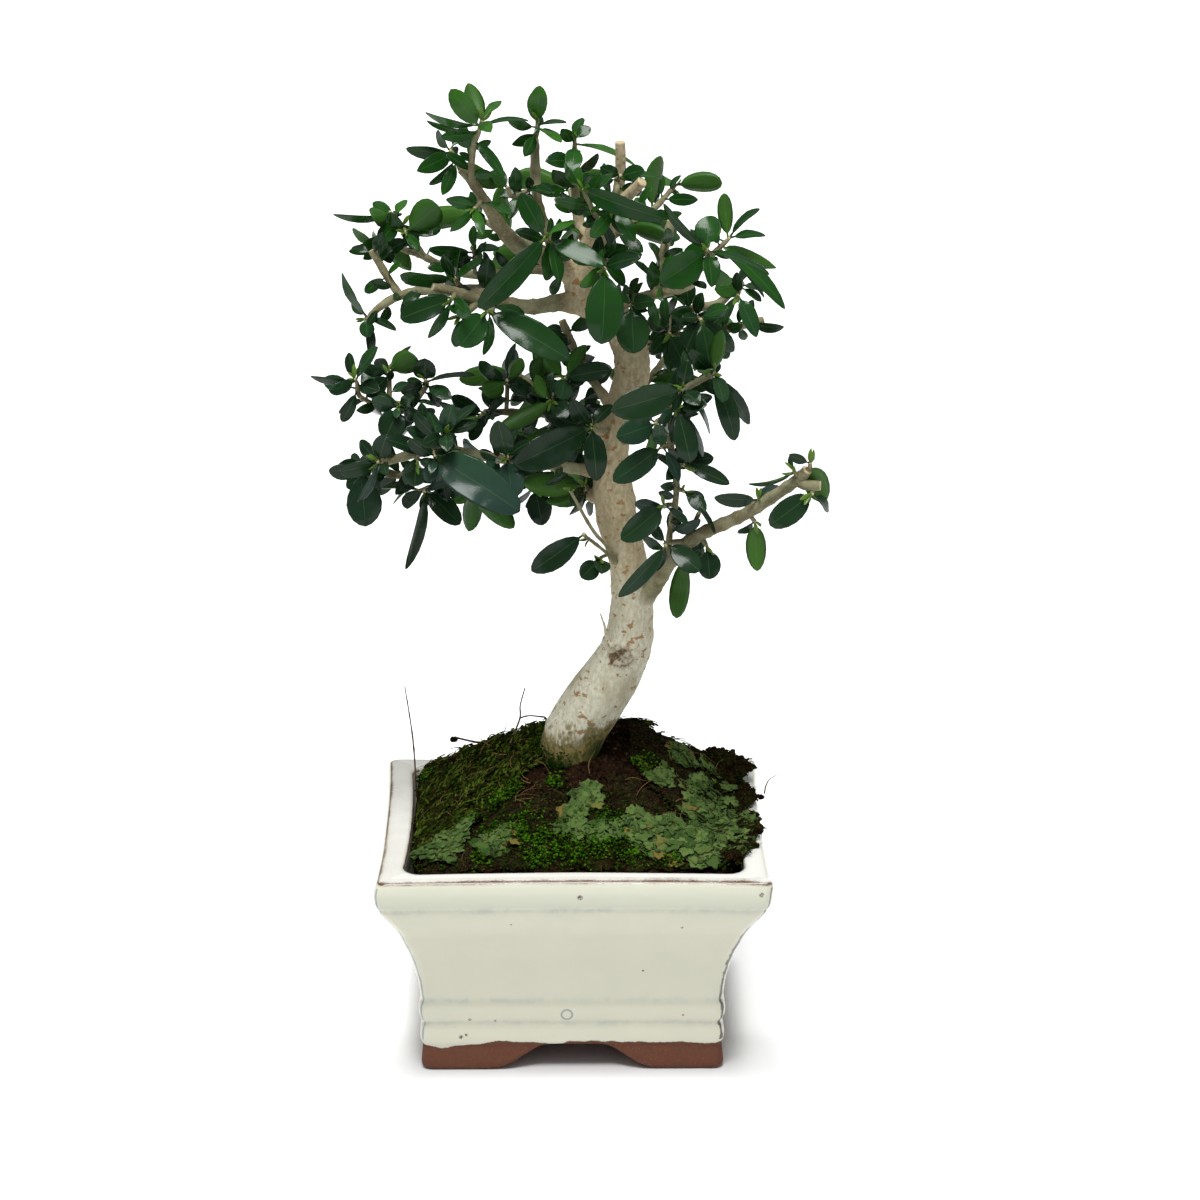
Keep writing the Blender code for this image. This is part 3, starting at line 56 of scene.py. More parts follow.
# Height, how far inside the lip, and corner radius, from the foot's lower edge up to the rim.
OUTSIDE = [
    (0.0, 18.2, 3.8), (0.7, 16.9, 3.8), (2.5, 16.4, 3.8), (6.0, 16.7, 3.8), (9.8, 17.2, 3.8),
    (10.6, 17.1, 3.8), (11.4, 16.6, 3.8), (13.0, 16.3, 3.8), (15.5, 16.2, 3.8), (18.2, 16.6, 3.8),
    (19.6, 17.2, 3.8), (20.6, 17.2, 3.8), (21.6, 16.5, 3.8), (23.5, 16.0, 3.8), (26.0, 15.8, 3.8),
    (28.4, 16.2, 3.8), (29.8, 16.9, 3.8), (30.8, 16.8, 3.8), (33.0, 16.4, 4.0), (38.0, 15.8, 4.3),
    (44.0, 14.5, 4.6), (50.0, 12.9, 4.8), (56.0, 10.6, 4.8), (62.0, 8.2, 4.8), (67.0, 5.4, 4.4),
    (71.0, 3.0, 3.8), (74.6, 1.1, 3.2), (75.8, 0.9, 3.0), (76.8, 0.2, 3.0), (79.0, -0.5, 3.0),
    (83.0, -0.8, 3.0), (86.0, -0.2, 3.0), (87.3, 0.7, 3.0), (87.9, 2.0, 3.2), (88.1, 4.2, 3.6),
]
# The same for the rim's top, the hollow's wall and the edge of its floor.
INSIDE = [
    (88.1, 5.6, 4.6), (88.05, 7.9, 6.8), (87.6, 9.0, 7.8), (86.6, 9.4, 8.4), (82.0, 9.7, 9.0),
    (76.0, 10.1, 9.5), (62.0, 14.6, 10.5), (40.0, 20.8, 11.0), (22.0, 23.0, 10.4), (18.0, 23.6, 10.0),
    (FLOOR_Z, 24.6, 9.6),
]


def cell_noise(points, size, seed):
    """Smooth noise from -1 to 1: random values on a cubic lattice of the given cell size, blended
    between the eight corners of each cell by a smooth step."""
    table = np.random.default_rng(seed).uniform(-1, 1, (24, 24, 24))
    scaled = np.asarray(points, float) / size + 1000.0
    cell = np.floor(scaled).astype(int)
    part = scaled - cell
    part = part * part * (3 - 2 * part)
    total = 0.0
    for dx in (0, 1):
        for dy in (0, 1):
            for dz in (0, 1):
                corner = (cell + (dx, dy, dz)) % 24
                weight = np.prod(np.where((dx, dy, dz), part, 1 - part), axis=-1)
                total = total + weight * table[corner[..., 0], corner[..., 1], corner[..., 2]]
    return total


def curved_through(marks, count):
    """Points on a smooth curve through marks: each span is a cubic whose slope at a mark is half the
    step between its neighbours, sampled at equal parts of the curve's length."""
    marks = np.array(marks, float)
    padded = np.vstack([2 * marks[0] - marks[1], marks, 2 * marks[-1] - marks[-2]])
    t = np.linspace(0, len(marks) - 1, 40 * (len(marks) - 1) + 1)
    k = np.minimum(t.astype(int), len(marks) - 2)
    f = (t - k)[:, None]
    a, b, c, d = padded[k], padded[k + 1], padded[k + 2], padded[k + 3]
    fine = 0.5 * (2 * b + (c - a) * f + (2 * a - 5 * b + 4 * c - d) * f ** 2
                  + (3 * b - a - 3 * c + d) * f ** 3)
    steps = np.linalg.norm(np.diff(fine[:, :3], axis=0), axis=1)
    length = np.concatenate(([0.0], np.cumsum(steps)))
    even = np.linspace(0, length[-1], count)
    return np.stack([np.interp(even, length, fine[:, j]) for j in range(marks.shape[1])], axis=1)


def grid_faces(rows, columns, closed, start=0):
    """Four-cornered faces between the points of a grid, whose last column may join its first."""
    reach = columns if closed else columns - 1
    row, column = np.meshgrid(np.arange(rows - 1), np.arange(reach), indexing="ij")
    here = row * columns + column
    beside = row * columns + (column + 1) % columns
    faces = np.stack([here, beside, beside + columns, here + columns], axis=-1)
    return faces.reshape(-1, 4) + start


def fan(pole, start, around, turned=False):
    """Three-cornered faces from one point to each step of a ring of points."""
    here = start + np.arange(around)
    beside = start + (np.arange(around) + 1) % around
    if turned:
        here, beside = beside, here
    return np.stack([0 * here + pole, here, beside, 0 * here - 1], axis=1)


def ringed_faces(rings, around):
    """Faces over rings of points that stand between one first point and one last point."""
    last = rings * around + 1
    sides = grid_faces(rings, around, True, 1)
    return np.vstack([fan(0, 1, around, True), sides, fan(last, last - around, around)])


def make_mesh(name, points, faces, material, marks=None, face_marks=None):
    """A mesh object at the origin from points in millimetres and rows of point numbers, where a
    three-cornered face has -1 last. Marks are numbers per point or per face for the material."""
    faces = np.asarray(faces, int)
    used = faces >= 0
    starts = np.concatenate(([0], np.cumsum(used.sum(axis=1))[:-1]))
    mesh = bpy.data.meshes.new(name)
    mesh.vertices.add(len(points))
    mesh.vertices.foreach_set("co", (np.asarray(points, float) * MM).astype(np.float32).ravel())
    mesh.loops.add(int(used.sum()))
    mesh.loops.foreach_set("vertex_index", faces[used].astype(np.int32))
    mesh.polygons.add(len(faces))
    mesh.polygons.foreach_set("loop_start", starts.astype(np.int32))
    mesh.update(calc_edges=True)
    mesh.validate()
    mesh.shade_smooth()
    for domain, given in (("POINT", marks or {}), ("FACE", face_marks or {})):
        for key, values in given.items():
            store = mesh.attributes.new(key, "FLOAT", domain)
            store.data.foreach_set("value", np.asarray(values, np.float32).ravel())
    mesh.materials.append(material)
    made = bpy.data.objects.new(name, mesh)
    bpy.context.scene.collection.objects.link(made)
    return made


def new_finish(name, roughness, specular=0.5):
    """A material with its shader, ready for more nodes."""
    material = bpy.data.materials.new(name)
    material.use_nodes = True
    shader = material.node_tree.nodes["Principled BSDF"]
    shader.inputs["Roughness"].default_value = roughness
    shader.inputs["Specular IOR Level"].default_value = specular
    return material, material.node_tree, shader


def node(tree, kind, feeds, out=0, **choices):
    """Add a shader node, make its choices, feed its inputs with values or sockets; give an output."""
    new = tree.nodes.new("ShaderNode" + kind)
    for key, value in choices.items():
        setattr(new, key, value)
    for key, value in feeds.items():
        if isinstance(value, bpy.types.NodeSocket):
            tree.links.new(value, new.inputs[key])
        else:
            new.inputs[key].default_value = value
    return new.outputs[out]


def speckle(tree, size, detail=3.0, stretch=(1, 1, 1), rough=0.55):
    """Noise of a given grain in millimetres, on the object's own coordinates."""
    place = node(tree, "TexCoord", {}, "Object")
    scaled = node(tree, "Mapping", {"Vector": place, "Scale": stretch})
    feeds = {"Vector": scaled, "Scale": 1 / (size * MM), "Detail": detail, "Roughness": rough}
    return node(tree, "TexNoise", feeds, "Fac")


def between(tree, value, low, high, first=0.0, last=1.0):
    """A smooth step from first to last while the value goes from low to high."""
    feeds = {0: value, 1: low, 2: high, 3: first, 4: last}
    return node(tree, "MapRange", feeds, interpolation_type="SMOOTHSTEP")


def coordinate(tree, axis):
    """One of the object's own coordinates in metres, by its number: x 0, y 1 and z 2."""
    return node(tree, "SeparateXYZ", {"Vector": node(tree, "TexCoord", {}, "Object")}, axis)


def sums(tree, operation, one, other=0.0):
    """Two numbers or sockets put together by an operation of the Math node."""
    return node(tree, "Math", {0: one, 1: other}, operation=operation)


def plus(tree, one, other, times):
    """One value plus another times a number."""
    return sums(tree, "ADD", one, sums(tree, "MULTIPLY", other, times))


def tint(tree, share, one, other):
    """Colour one where the share is 0 and the other where it is 1."""
    feeds = {"Factor": share, 6: one if isinstance(one, bpy.types.NodeSocket) else (*one, 1)}
    feeds[7] = other if isinstance(other, bpy.types.NodeSocket) else (*other, 1)
    return node(tree, "Mix", feeds, 2, data_type="RGBA")


def marked(tree, name):
    """The number that the mesh carries under a name."""
    return node(tree, "Attribute", {}, "Fac", attribute_name=name)


def relief(tree, shader, height, depth, strength=1.0):
    """Bump from a height between 0 and 1, of a depth in millimetres."""
    feeds = {"Height": height, "Distance": depth * MM, "Strength": strength}
    tree.links.new(node(tree, "Bump", feeds), shader.inputs["Normal"])


# Marks on the front, by x and height: pits that show the clay, and the ring left by a kiln prop.
PITS = [
    (2.2, 81.6, 1.4), (71.5, 83.2, 1.3), (-41.0, 22.0, 0.9), (-44.6, 14.6, 1.1), (-42.5, 15.6, 0.8),
    (26.7, 43.8, 0.6), (42.5, 24.0, 0.6), (41.5, 66.2, 0.7), (-24.4, 67.8, 0.6), (-31.0, 21.4, 0.7),
]
RING_X, RING_Z, RING_REACH = -3.0, 24.2, 2.1


def front_distance(tree, x, z):
    """Distance in metres from a place on the pot's front, measured across and up."""
    place = node(tree, "TexCoord", {}, "Object")
    flat = node(tree, "VectorMath", {0: place, 1: (1, 0, 1)}, operation="MULTIPLY")
    away = node(tree, "VectorMath", {0: flat, 1: (x * MM, 0, z * MM)}, "Value", operation="DISTANCE")
    return sums(tree, "ADD", away, between(tree, coordinate(tree, 1), -0.04, -0.02))


def pot_glaze():
    """Cream glaze; brown where it is thin, blue-grey in the grooves as pooled glaze and painted shade, a
    painted highlight on the rim's top, bare clay below its edge.
    """
    material, tree, shader = new_finish("cream_glaze", 0.22)
    fine, middle, broad = speckle(tree, 0.6), speckle(tree, 3.5), speckle(tree, 18.0)
    slow = speckle(tree, 11.0, 2.0)
    cream = tint(tree, between(tree, broad, 0.35, 0.7), (0.75, 0.73, 0.59), (0.725, 0.715, 0.58))
    cream = tint(tree, between(tree, fine, 0.64, 0.74, 0.0, 0.3), cream, (0.60, 0.57, 0.44))
    height = coordinate(tree, 2)
    below_rim = between(tree, height, 0.0865, 0.0872, 1.0, 0.0)
    band = sums(tree, "MULTIPLY", between(tree, height, 0.0745, 0.078), below_rim)
    cream = tint(tree, sums(tree, "MULTIPLY", band, 0.8), cream, (0.72, 0.73, 0.595))
    # Painted highlight: the rim's flat top is painted whiter, standing in for the overhead light falling on
    # it.
    rim = between(tree, height, 0.0872, 0.0878)
    cream = tint(tree, rim, cream, (0.86, 0.85, 0.79))
    # The grooves are blue-grey pooled glaze, with painted shade in the recesses and under the lip.
    glaze_pools_and_painted_shade = sums(tree, "MULTIPLY", marked(tree, "groove"), between(tree, middle, 0.35, 0.65, 0.1, 0.5))
    glaze_pools_and_painted_shade = sums(tree, "MULTIPLY", glaze_pools_and_painted_shade, between(tree, slow, 0.4, 0.6, 0.4, 1.0))
    cream = tint(tree, glaze_pools_and_painted_shade, cream, (0.42, 0.49, 0.46))
    lip = sums(tree, "ADD", marked(tree, "lip"), between(tree, slow, 0.3, 0.7, -0.08, 0.14))
    lip = sums(tree, "ADD", lip, between(tree, fine, 0.3, 0.7, -0.1, 0.1))
    thin = between(tree, sums(tree, "ABSOLUTE", lip), 0.3, 0.8, 1.0, 0.0)
    smear = between(tree, sums(tree, "ABSOLUTE", lip), 0.5, 1.6, 0.35, 0.0)
    cream = tint(tree, smear, cream, (0.40, 0.33, 0.24))
    arris = sums(tree, "ADD", marked(tree, "arris"), between(tree, middle, 0.3, 0.7, -0.25, 0.25))
    worn = sums(tree, "MULTIPLY", between(tree, arris, 0.3, 0.8, 0.95, 0.0), between(tree, slow, 0.3, 0.38))
    to_right = between(tree, coordinate(tree, 0), -0.01, 0.01)
    streak = tint(tree, to_right, (0.36, 0.40, 0.40), (0.13, 0.11, 0.10))
    streak = tint(tree, worn, cream, streak)
    skin = tint(tree, thin, streak, (0.13, 0.07, 0.035))
    for x, z, reach in PITS:
        pit = between(tree, front_distance(tree, x, z), reach * 0.4 * MM, reach * MM, 1.0, 0.0)
        pit = sums(tree, "MULTIPLY", pit, between(tree, fine, 0.35, 0.5))
        skin = tint(tree, pit, skin, (0.10, 0.06, 0.035))
    ring = sums(tree, "SUBTRACT", front_distance(tree, RING_X, RING_Z), RING_REACH * MM)
    ring = sums(tree, "ABSOLUTE", ring)
    skin = tint(tree, between(tree, ring, 0.1 * MM, 0.6 * MM, 0.75, 0.0), skin, (0.20, 0.24, 0.26))
    over = sums(tree, "ADD", marked(tree, "over_line"), between(tree, slow, 0.3, 0.7, -0.7, 0.7))
    over = sums(tree, "ADD", over, between(tree, fine, 0.3, 0.7, -0.15, 0.15))
    clay = tint(tree, speckle(tree, 1.6, 6.0), (0.115, 0.036, 0.016), (0.18, 0.064, 0.032))
    clay = tint(tree, between(tree, fine, 0.66, 0.72, 0.0, 0.7), clay, (0.36, 0.22, 0.13))
    edge = tint(tree, between(tree, over, 0.0, 0.2), clay, (0.07, 0.045, 0.03))
    skin = tint(tree, between(tree, over, 0.2, 0.6), edge, skin)
    tree.links.new(skin, shader.inputs["Base Color"])
    tree.links.new(between(tree, over, 0.1, 0.4, 0.85, 0.2), shader.inputs["Roughness"])
    relief(tree, shader, sums(tree, "MULTIPLY", fine, between(tree, over, 0.0, 0.5, 1.0, 0.12)), 0.35)
    return material


STRAIGHT = 9.0


def pot_rim_columns():
    """The way round a rectangle with round corners: for each place its share of the straight sides
    (ax, ay), its outward direction (cx, cy), and its angle from the corner's middle, which is the
    number STRAIGHT on a straight side."""
    ax, ay, cx, cy, turn = [], [], [], [], []
    for corner, (sx, sy) in enumerate([(1, 1), (-1, 1), (-1, -1), (1, -1)]):
        angle = np.linspace(0, pi / 2, CORNER_STEPS + 1) + corner * pi / 2
        ax.append(np.full(CORNER_STEPS + 1, sx))
        ay.append(np.full(CORNER_STEPS + 1, sy))
        cx.append(np.cos(angle))
        cy.append(np.sin(angle))
        turn.append(np.linspace(-pi / 4, pi / 4, CORNER_STEPS + 1))
        run = 1 - 2 * np.arange(1, SIDE_STEPS) / SIDE_STEPS
        still = np.ones(SIDE_STEPS - 1)
        ax.append(run * sx if corner in (0, 2) else still * sx)
        ay.append(still * sy if corner in (0, 2) else run * sy)
        cx.append(still * round(cos((corner + 1) * pi / 2)))
        cy.append(still * round(sin((corner + 1) * pi / 2)))
        turn.append(still * STRAIGHT)
    return [np.concatenate(parts).astype(float) for parts in (ax, ay, cx, cy, turn)]


def pot_skin(z, inset, radius):
    """Carry a profile round the pot. x is the straight share times the half width less the corner
    radius, plus the outward direction times the radius less the wall's bow; y likewise."""
    ax, ay, cx, cy = pot_rim_columns()[:4]
    bow = WALL_BOW * z / POT_HEIGHT * (1 - np.minimum(np.abs(ax), np.abs(ay)) ** 2)
    x = ax * (POT_WIDTH / 2 - inset - radius) + cx * (radius - bow)
    y = ay * (POT_DEPTH / 2 - inset - radius) + cy * (radius - bow)
    return np.stack([x, y, z + 0 * x], axis=-1)


# The arches are measured along the straight part of a side, which ends this far in from its edge.
ARCH_INSET = 23


def arch_height():
    """How high the foot's lower edge stands at each place round: flat under the middle of a side,
    falling in an S (1 less u squared times 3 less 2u) to the floor before the corners."""
    ax, ay, _, cy, turn = pot_rim_columns()
    wide = np.abs(cy) > 0.99
    side = np.where(wide, np.abs(ax) * (POT_WIDTH / 2 - ARCH_INSET),
                    np.abs(ay) * (POT_DEPTH / 2 - ARCH_INSET))
    top = np.where(wide, ARCH_TOP, SIDE_ARCH_TOP)
    slope = np.where(wide, ARCH_SLOPE, SIDE_ARCH_SLOPE)
    u = np.clip((side - top) / slope, 0, 1)
    return np.where(turn > 1, FOOT_HEIGHT * (1 - u * u * (3 - 2 * u)), 0.0)


def merge_seams(obj):
    """Join doubled points and turn every face outwards."""
    work = bmesh.new()
    work.from_mesh(obj.data)
    bmesh.ops.remove_doubles(work, verts=work.verts, dist=0.00001)
    bmesh.ops.recalc_face_normals(work, faces=work.faces)
    work.to_mesh(obj.data)
    work.free()


# The cast is out of true: its left side leans out by this much at each height. One corner of the
# lip was drawn out to a point.
SKEW = ([0, 20, 50, 75, 88], [1.7, 1.9, 2.2, 1.3, 1.0])
DRAWN_CORNER, DRAWN_REACH, DRAWN_BY = (72.5, -61.0, 86.8), 3.2, (2.2, -0.6, 0.5)
# Where the glaze ends above the clay foot, and the grooves by their height and half width.
GLAZE_EDGE_Z = 11.7055
GROOVES = [(20.1, 2.0), (30.2, 2.0), (75.6, 2.6)]
# How many rings each part of the pot has, and the parts of the floor's chord and its fans.
OUTSIDE_RINGS, INSIDE_RINGS, SOLE_RINGS, INNER_RINGS = 104, 56, 7, 8
CHORD_STEPS, FLOOR_STEPS, HOLE_STEPS = 25, 9, 5
FAR = 9.0


def build_pot():
    """The outside is rings from the foot's edge to the rim, the foot's rings squeezed above the
    arches; then the hollow's wall, each half of the floor as a fan round its drain hole, the
    hole's wall, the ceiling under the floor, and the foot's inner side back to the start."""
    outside = curved_through(OUTSIDE, OUTSIDE_RINGS)
    low = outside[:, 0] < CEILING_Z + 1
    share = outside[low, 0] / (CEILING_Z + 1)
    edge = arch_height()
    foot_z = edge + (CEILING_Z + 1 - edge) * share[:, None]
    by_height = np.interp(foot_z, outside[:, 0], outside[:, 1])
    soft = np.clip(1 - (foot_z - edge) / 0.8, 0, 1) ** 2 * 1.2
    foot = pot_skin(foot_z, by_height + soft * (edge > 0), 3.8 + 0 * foot_z)
    wall = [pot_skin(z + 0 * edge, inset, radius) for z, inset, radius in outside[~low]]
    inside = curved_through(INSIDE, INSIDE_RINGS)
    inside = [pot_skin(z + 0 * edge, inset, radius) for z, inset, radius in inside]
    sole_inset = np.linspace(FOOT_WALL - 1.2, 0.0, SOLE_RINGS)[:, None] + 18.2
    sole = pot_skin(edge + 0 * sole_inset, sole_inset + 0 * edge, 3.4 + 0 * foot_z[:1])
    inner_z = CEILING_Z + (edge - CEILING_Z) * np.linspace(0, 1, INNER_RINGS)[:, None]
    inner = pot_skin(inner_z, FOOT_WALL + 17.2 + 0 * inner_z, 4.0 + 0 * inner_z)
    rows = np.concatenate([inner, sole, foot, np.array(wall), np.array(inside)])
    count = rows.shape[1]
    points, faces = [rows.reshape(-1, 3)], [grid_faces(len(rows), count, True)]
    start = rows[..., 0].size
    for side in (-1, 1):
        chosen = np.nonzero(rows[-1, :, 0] * side >= -1e-6)[0]
        first = np.nonzero(np.diff(chosen) > 1)[0]
        if len(first):
            chosen = np.roll(chosen, -(first[0] + 1))
        loops = []
        for ring in (rows[-1], rows[0]):
            across = np.linspace(0, 1, CHORD_STEPS)[1:-1, None]
            chord = ring[chosen[-1]] + (ring[chosen[0]] - ring[chosen[-1]]) * across
            loops.append(np.concatenate([ring[chosen], chord]))
        middle = np.array((side * DRAIN_X, 0.0))
        away = loops[0][:, :2] - middle
        rim = middle + DRAIN_RADIUS * away / np.linalg.norm(away, axis=1)[:, None]
        holes = [np.column_stack([rim, np.full(len(rim), z)]) for z in (FLOOR_Z, CEILING_Z)]
        spans = []
        for a, b, parts in ((loops[0], holes[0], FLOOR_STEPS), (holes[0], holes[1], HOLE_STEPS),
                            (holes[1], loops[1], FLOOR_STEPS)):
            f = np.linspace(0, 1, parts)[:, None, None]
            spans.append((a + (b - a) * f)[:-1])
        fan = np.concatenate(spans + [loops[1][None]])
        points.append(fan.reshape(-1, 3))
        faces.append(grid_faces(len(fan), fan.shape[1], True, start))
        start += fan[..., 0].size
    points = np.concatenate(points)
    high = np.clip(points[:, 2] / 30, 0.2, 1)
    wobble = np.stack([cell_noise(points, 38.0, 3), cell_noise(points, 38.0, 4), 0 * high], axis=1)
    wobble[:, 2] = 0.3 * cell_noise(points * (1, 1, 0), 30.0, 5) * (points[:, 2] > 60)
    points = points + wobble * 0.4 * high[:, None]
    below = INNER_RINGS + SOLE_RINGS
    outer_rings = len(foot) + len(wall)
    outer = slice(below * count, (below + outer_rings) * count)
    points[outer, 0] -= np.interp(points[outer, 2], *SKEW) * np.clip(-points[outer, 0] / 55, 0, 1) ** 2
    away = np.linalg.norm(points - DRAWN_CORNER, axis=1)
    points += np.exp(-(away / DRAWN_REACH) ** 2)[:, None] * DRAWN_BY
    cx, cy, turn = pot_rim_columns()[2:]
    marks = {"lip": np.full(len(points), FAR), "arris": np.full(len(points), FAR),
             "groove": np.zeros(len(points))}
    z = points[outer, 2]
    x = points[outer, 0]
    line = GLAZE_EDGE_Z + 0.3 * np.sin(x * 0.19) - 2.6 * np.clip((-x - 40) / 12, 0, 1)
    marks["over_line"] = np.where(points[:, 2] < CEILING_Z + 1, -5.0, FAR)
    marks["over_line"][outer] = z - line
    in_corner = np.tile(np.where(turn < 1, np.abs(turn) * 2.7, FAR), outer_rings)
    in_corner = np.where((z < 67) & (x > 0), in_corner, in_corner * 1.8)
    marks["arris"][outer] = np.where((z > 12.5) & (z < 86), in_corner, FAR)
    facing = np.tile(np.where(cy < -0.7, 0.0, np.where(cx < -0.7, 0.15, FAR)), outer_rings)
    marks["lip"][outer] = np.abs(z - 87.35) * 1.2 + facing
    hollow = slice(outer.stop, outer.stop + len(inside) * count)
    stained = np.tile(np.where(cx < -0.7, 0.1, FAR), len(inside))
    marks["lip"][hollow] = np.abs(points[hollow, 2] - 87.0) * 0.9 + stained
    for level, depth in GROOVES:
        marks["groove"][outer] += np.clip(1 - np.abs(z - level) / depth, 0, 1)
    pot = make_mesh("pot_skin", points, np.concatenate(faces), pot_glaze(), marks)
    merge_seams(pot)
    return pot


pot = build_pot()
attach(pot, "root")
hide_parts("pot")


# The drainage nets: a square of black plastic mesh over each hole, laid in before the soil.
NET_NODES = ("net_left", "net_right")


def net_plastic():
    """Black polythene, dusty with soil."""
    material, tree, shader = new_finish("black_net", 0.5)
    dust = between(tree, speckle(tree, 2.0, 5.0), 0.5, 0.75)
    tree.links.new(tint(tree, dust, (0.012, 0.012, 0.012), (0.07, 0.05, 0.035)), shader.inputs["Base Color"])
    relief(tree, shader, speckle(tree, 0.8), 0.1)
    return material


net_finish = net_plastic()
for name in NET_NODES:
    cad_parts[name].data.materials.clear()
    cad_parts[name].data.materials.append(net_finish)


# The soil: damp dark potting earth, heaped up against the trunk and packed by watering. Loose
# crumbs and bits of straw lie on it where the moss hasn't covered it.
SOIL_EDGE_Z, SOIL_PEAK, SOIL_POWER = 86.0, (7.0, 27.0, 118.0), 7
FRONT_SLOPE, REAR_SWELL = 1.05, 2.6
SOIL_HALF = (POT_WIDTH / 2 - 9.5 - 0.35 - WALL_BOW, POT_DEPTH / 2 - 9.5 - 0.35 - WALL_BOW)
SECTORS, RINGS = 36, 8
SOIL_AROUND, SOIL_RINGS, SOIL_CRUMBS = 240, 64, 1500
# Height and inset of the buried side of the soil, up the hollow's wall.
SOIL_SIDE = [(19.0, 25.4), (40.0, 22.0), (62.0, 16.0), (76.0, 12.4), (83.0, 11.6)]
# Along the back the heap has a level bank; its height over X, and how it drops away from there.
BANK = [
    (-66, 88.5), (-59, 92.5), (-49, 95.5), (-33, 100.5), (-23, 103.5), (-14, 107.5), (21, 109.5),
    (28, 109.5), (33, 103.5), (42, 99.5), (52, 96.5), (65, 93.5), (74, 88.5),
]
BANK_Y, BANK_FALL = 47.0, 0.4


def heap_height(x, y, u, angle):
    """Height of the heap: it rises straight in front and in a swell behind, with a collar round the
    trunk; banks stand along the back and the right, and a smooth minimum holds it under a cap."""
    near = np.clip(1 - u, 1e-4, 1)
    rear = np.clip(0.35 + np.sin(angle), 0, 1)
    swell = (1 - rear) * u ** FRONT_SLOPE + rear * (1 - near ** REAR_SWELL)
    lump = 1.1 * np.sin(x * 0.31 + 1.0) * np.cos(y * 0.27) + 0.8 * np.sin(x * 0.13 - y * 0.19)
    z = SOIL_EDGE_Z + (SOIL_PEAK[2] - SOIL_EDGE_Z) * swell + lump * np.minimum(1, 3 * u)
    z = z + 4.0 * np.exp(-((x + 2) ** 2 + (y - 4) ** 2) / 450)
    ridge = np.interp(x, *np.transpose(BANK))
    bank = ridge - 0.02 * np.maximum(0, 40 - y) ** 2 - 0.5 * np.maximum(0, y - 45) ** 1.3
    z = np.maximum(z, np.where(y > 15, bank, 0))
    right = 90.0 - 0.05 * np.maximum(0, 52 - x) ** 2 - 0.02 * np.maximum(0, -18 - y) ** 2 - 0.5 * (u < 0.02)
    z = np.maximum(z, np.where(x > 30, right, 0))
    cap = ridge + BANK_FALL * (BANK_Y - y)
    return -2 * np.log(np.exp(-z / 2) + np.exp(-cap / 2))


def mound(u, angle):
    """The heap's top: u from 0 at the pot's wall to 1 at the peak, and the angle round. A box with
    soft corners shrinks towards the peak."""
    near = np.clip(1 - u, 1e-4, 1)
    across = np.abs(np.cos(angle) / (SOIL_HALF[0] * near))
    along = np.abs(np.sin(angle) / (SOIL_HALF[1] * near))
    reach = (across ** SOIL_POWER + along ** SOIL_POWER) ** (-1 / SOIL_POWER)
    x, y = np.cos(angle) * reach + SOIL_PEAK[0] * u, np.sin(angle) * reach + SOIL_PEAK[1] * u
    return np.stack([x, y, heap_height(x, y, u, angle)], axis=-1)


def ground(x, y):
    """The heap's top over a place: u is found by halving until the shrunken box passes through it."""
    low, high = np.zeros(np.shape(x)), np.full(np.shape(x), 0.999)
    for _ in range(22):
        u = (low + high) / 2
        reach_x = np.abs(x - SOIL_PEAK[0] * u) / (SOIL_HALF[0] * (1 - u))
        reach_y = np.abs(y - SOIL_PEAK[1] * u) / (SOIL_HALF[1] * (1 - u))
        inside = reach_x ** SOIL_POWER + reach_y ** SOIL_POWER < 1
        low, high = np.where(inside, u, low), np.where(inside, high, u)
    angle = np.arctan2(y - SOIL_PEAK[1] * u, x - SOIL_PEAK[0] * u)
    return np.stack([x, y, heap_height(x, y, u, angle)], axis=-1)


def lie(place, u, angle, step=0.01):
    """The upward normal of a surface place(u, angle), from two small steps along it."""
    run = place(u + step, angle) - place(u - step, angle)
    turn = place(u, angle + step) - place(u, angle - step)
    normal = np.cross(turn, run)
    normal *= np.sign(normal[..., 2:] + 1e-9)
    return normal / (np.linalg.norm(normal, axis=-1, keepdims=True) + 1e-12)


def strewn(shape, faces, places, ups, sizes, draw, lean=0.35, heading=None):
    """Copies of a small shape, one at each place: its z axis along the place's up direction, leant
    by chance, and turned about it by chance or towards a heading."""
    count = len(places)
    ups = ups + draw.normal(0, lean, (count, 3))
    ups /= np.linalg.norm(ups, axis=1, keepdims=True)
    ahead = draw.normal(0, 1, (count, 3)) if heading is None else heading
    ahead = ahead - ups * np.sum(ahead * ups, axis=1, keepdims=True)
    ahead /= np.linalg.norm(ahead, axis=1, keepdims=True) + 1e-9
    beside = np.cross(ups, ahead)
    sizes = np.broadcast_to(sizes if np.ndim(sizes) > 1 else np.asarray(sizes)[:, None], (count, 3))
    local = shape[None] * sizes[:, None, :]
    points = places[:, None, :] + local[..., :1] * beside[:, None, :]
    points = points + local[..., 1:2] * ahead[:, None, :] + local[..., 2:] * ups[:, None, :]
    offset = np.arange(count)[:, None, None] * len(shape)
    copied = np.where(faces[None] >= 0, faces[None] + offset, -1)
    return points.reshape(-1, 3), copied.reshape(-1, faces.shape[1])


def crumb_shape():
    """A six-sided lump: two rings of six points, uneven, and a point above and below."""
    turn = np.arange(6) * pi / 3
    ring = np.stack([np.cos(turn), np.sin(turn), 0 * turn], axis=1)
    uneven = 1 + 0.22 * np.sin(turn * 2 + 1)[:, None]
    points = np.vstack([[0, 0, -0.7], ring * uneven * 0.8 + (0, 0, -0.35),
                        ring * 0.85 / uneven + (0, 0, 0.35), [0.1, 0, 0.75]])
    return points, ringed_faces(2, 6)


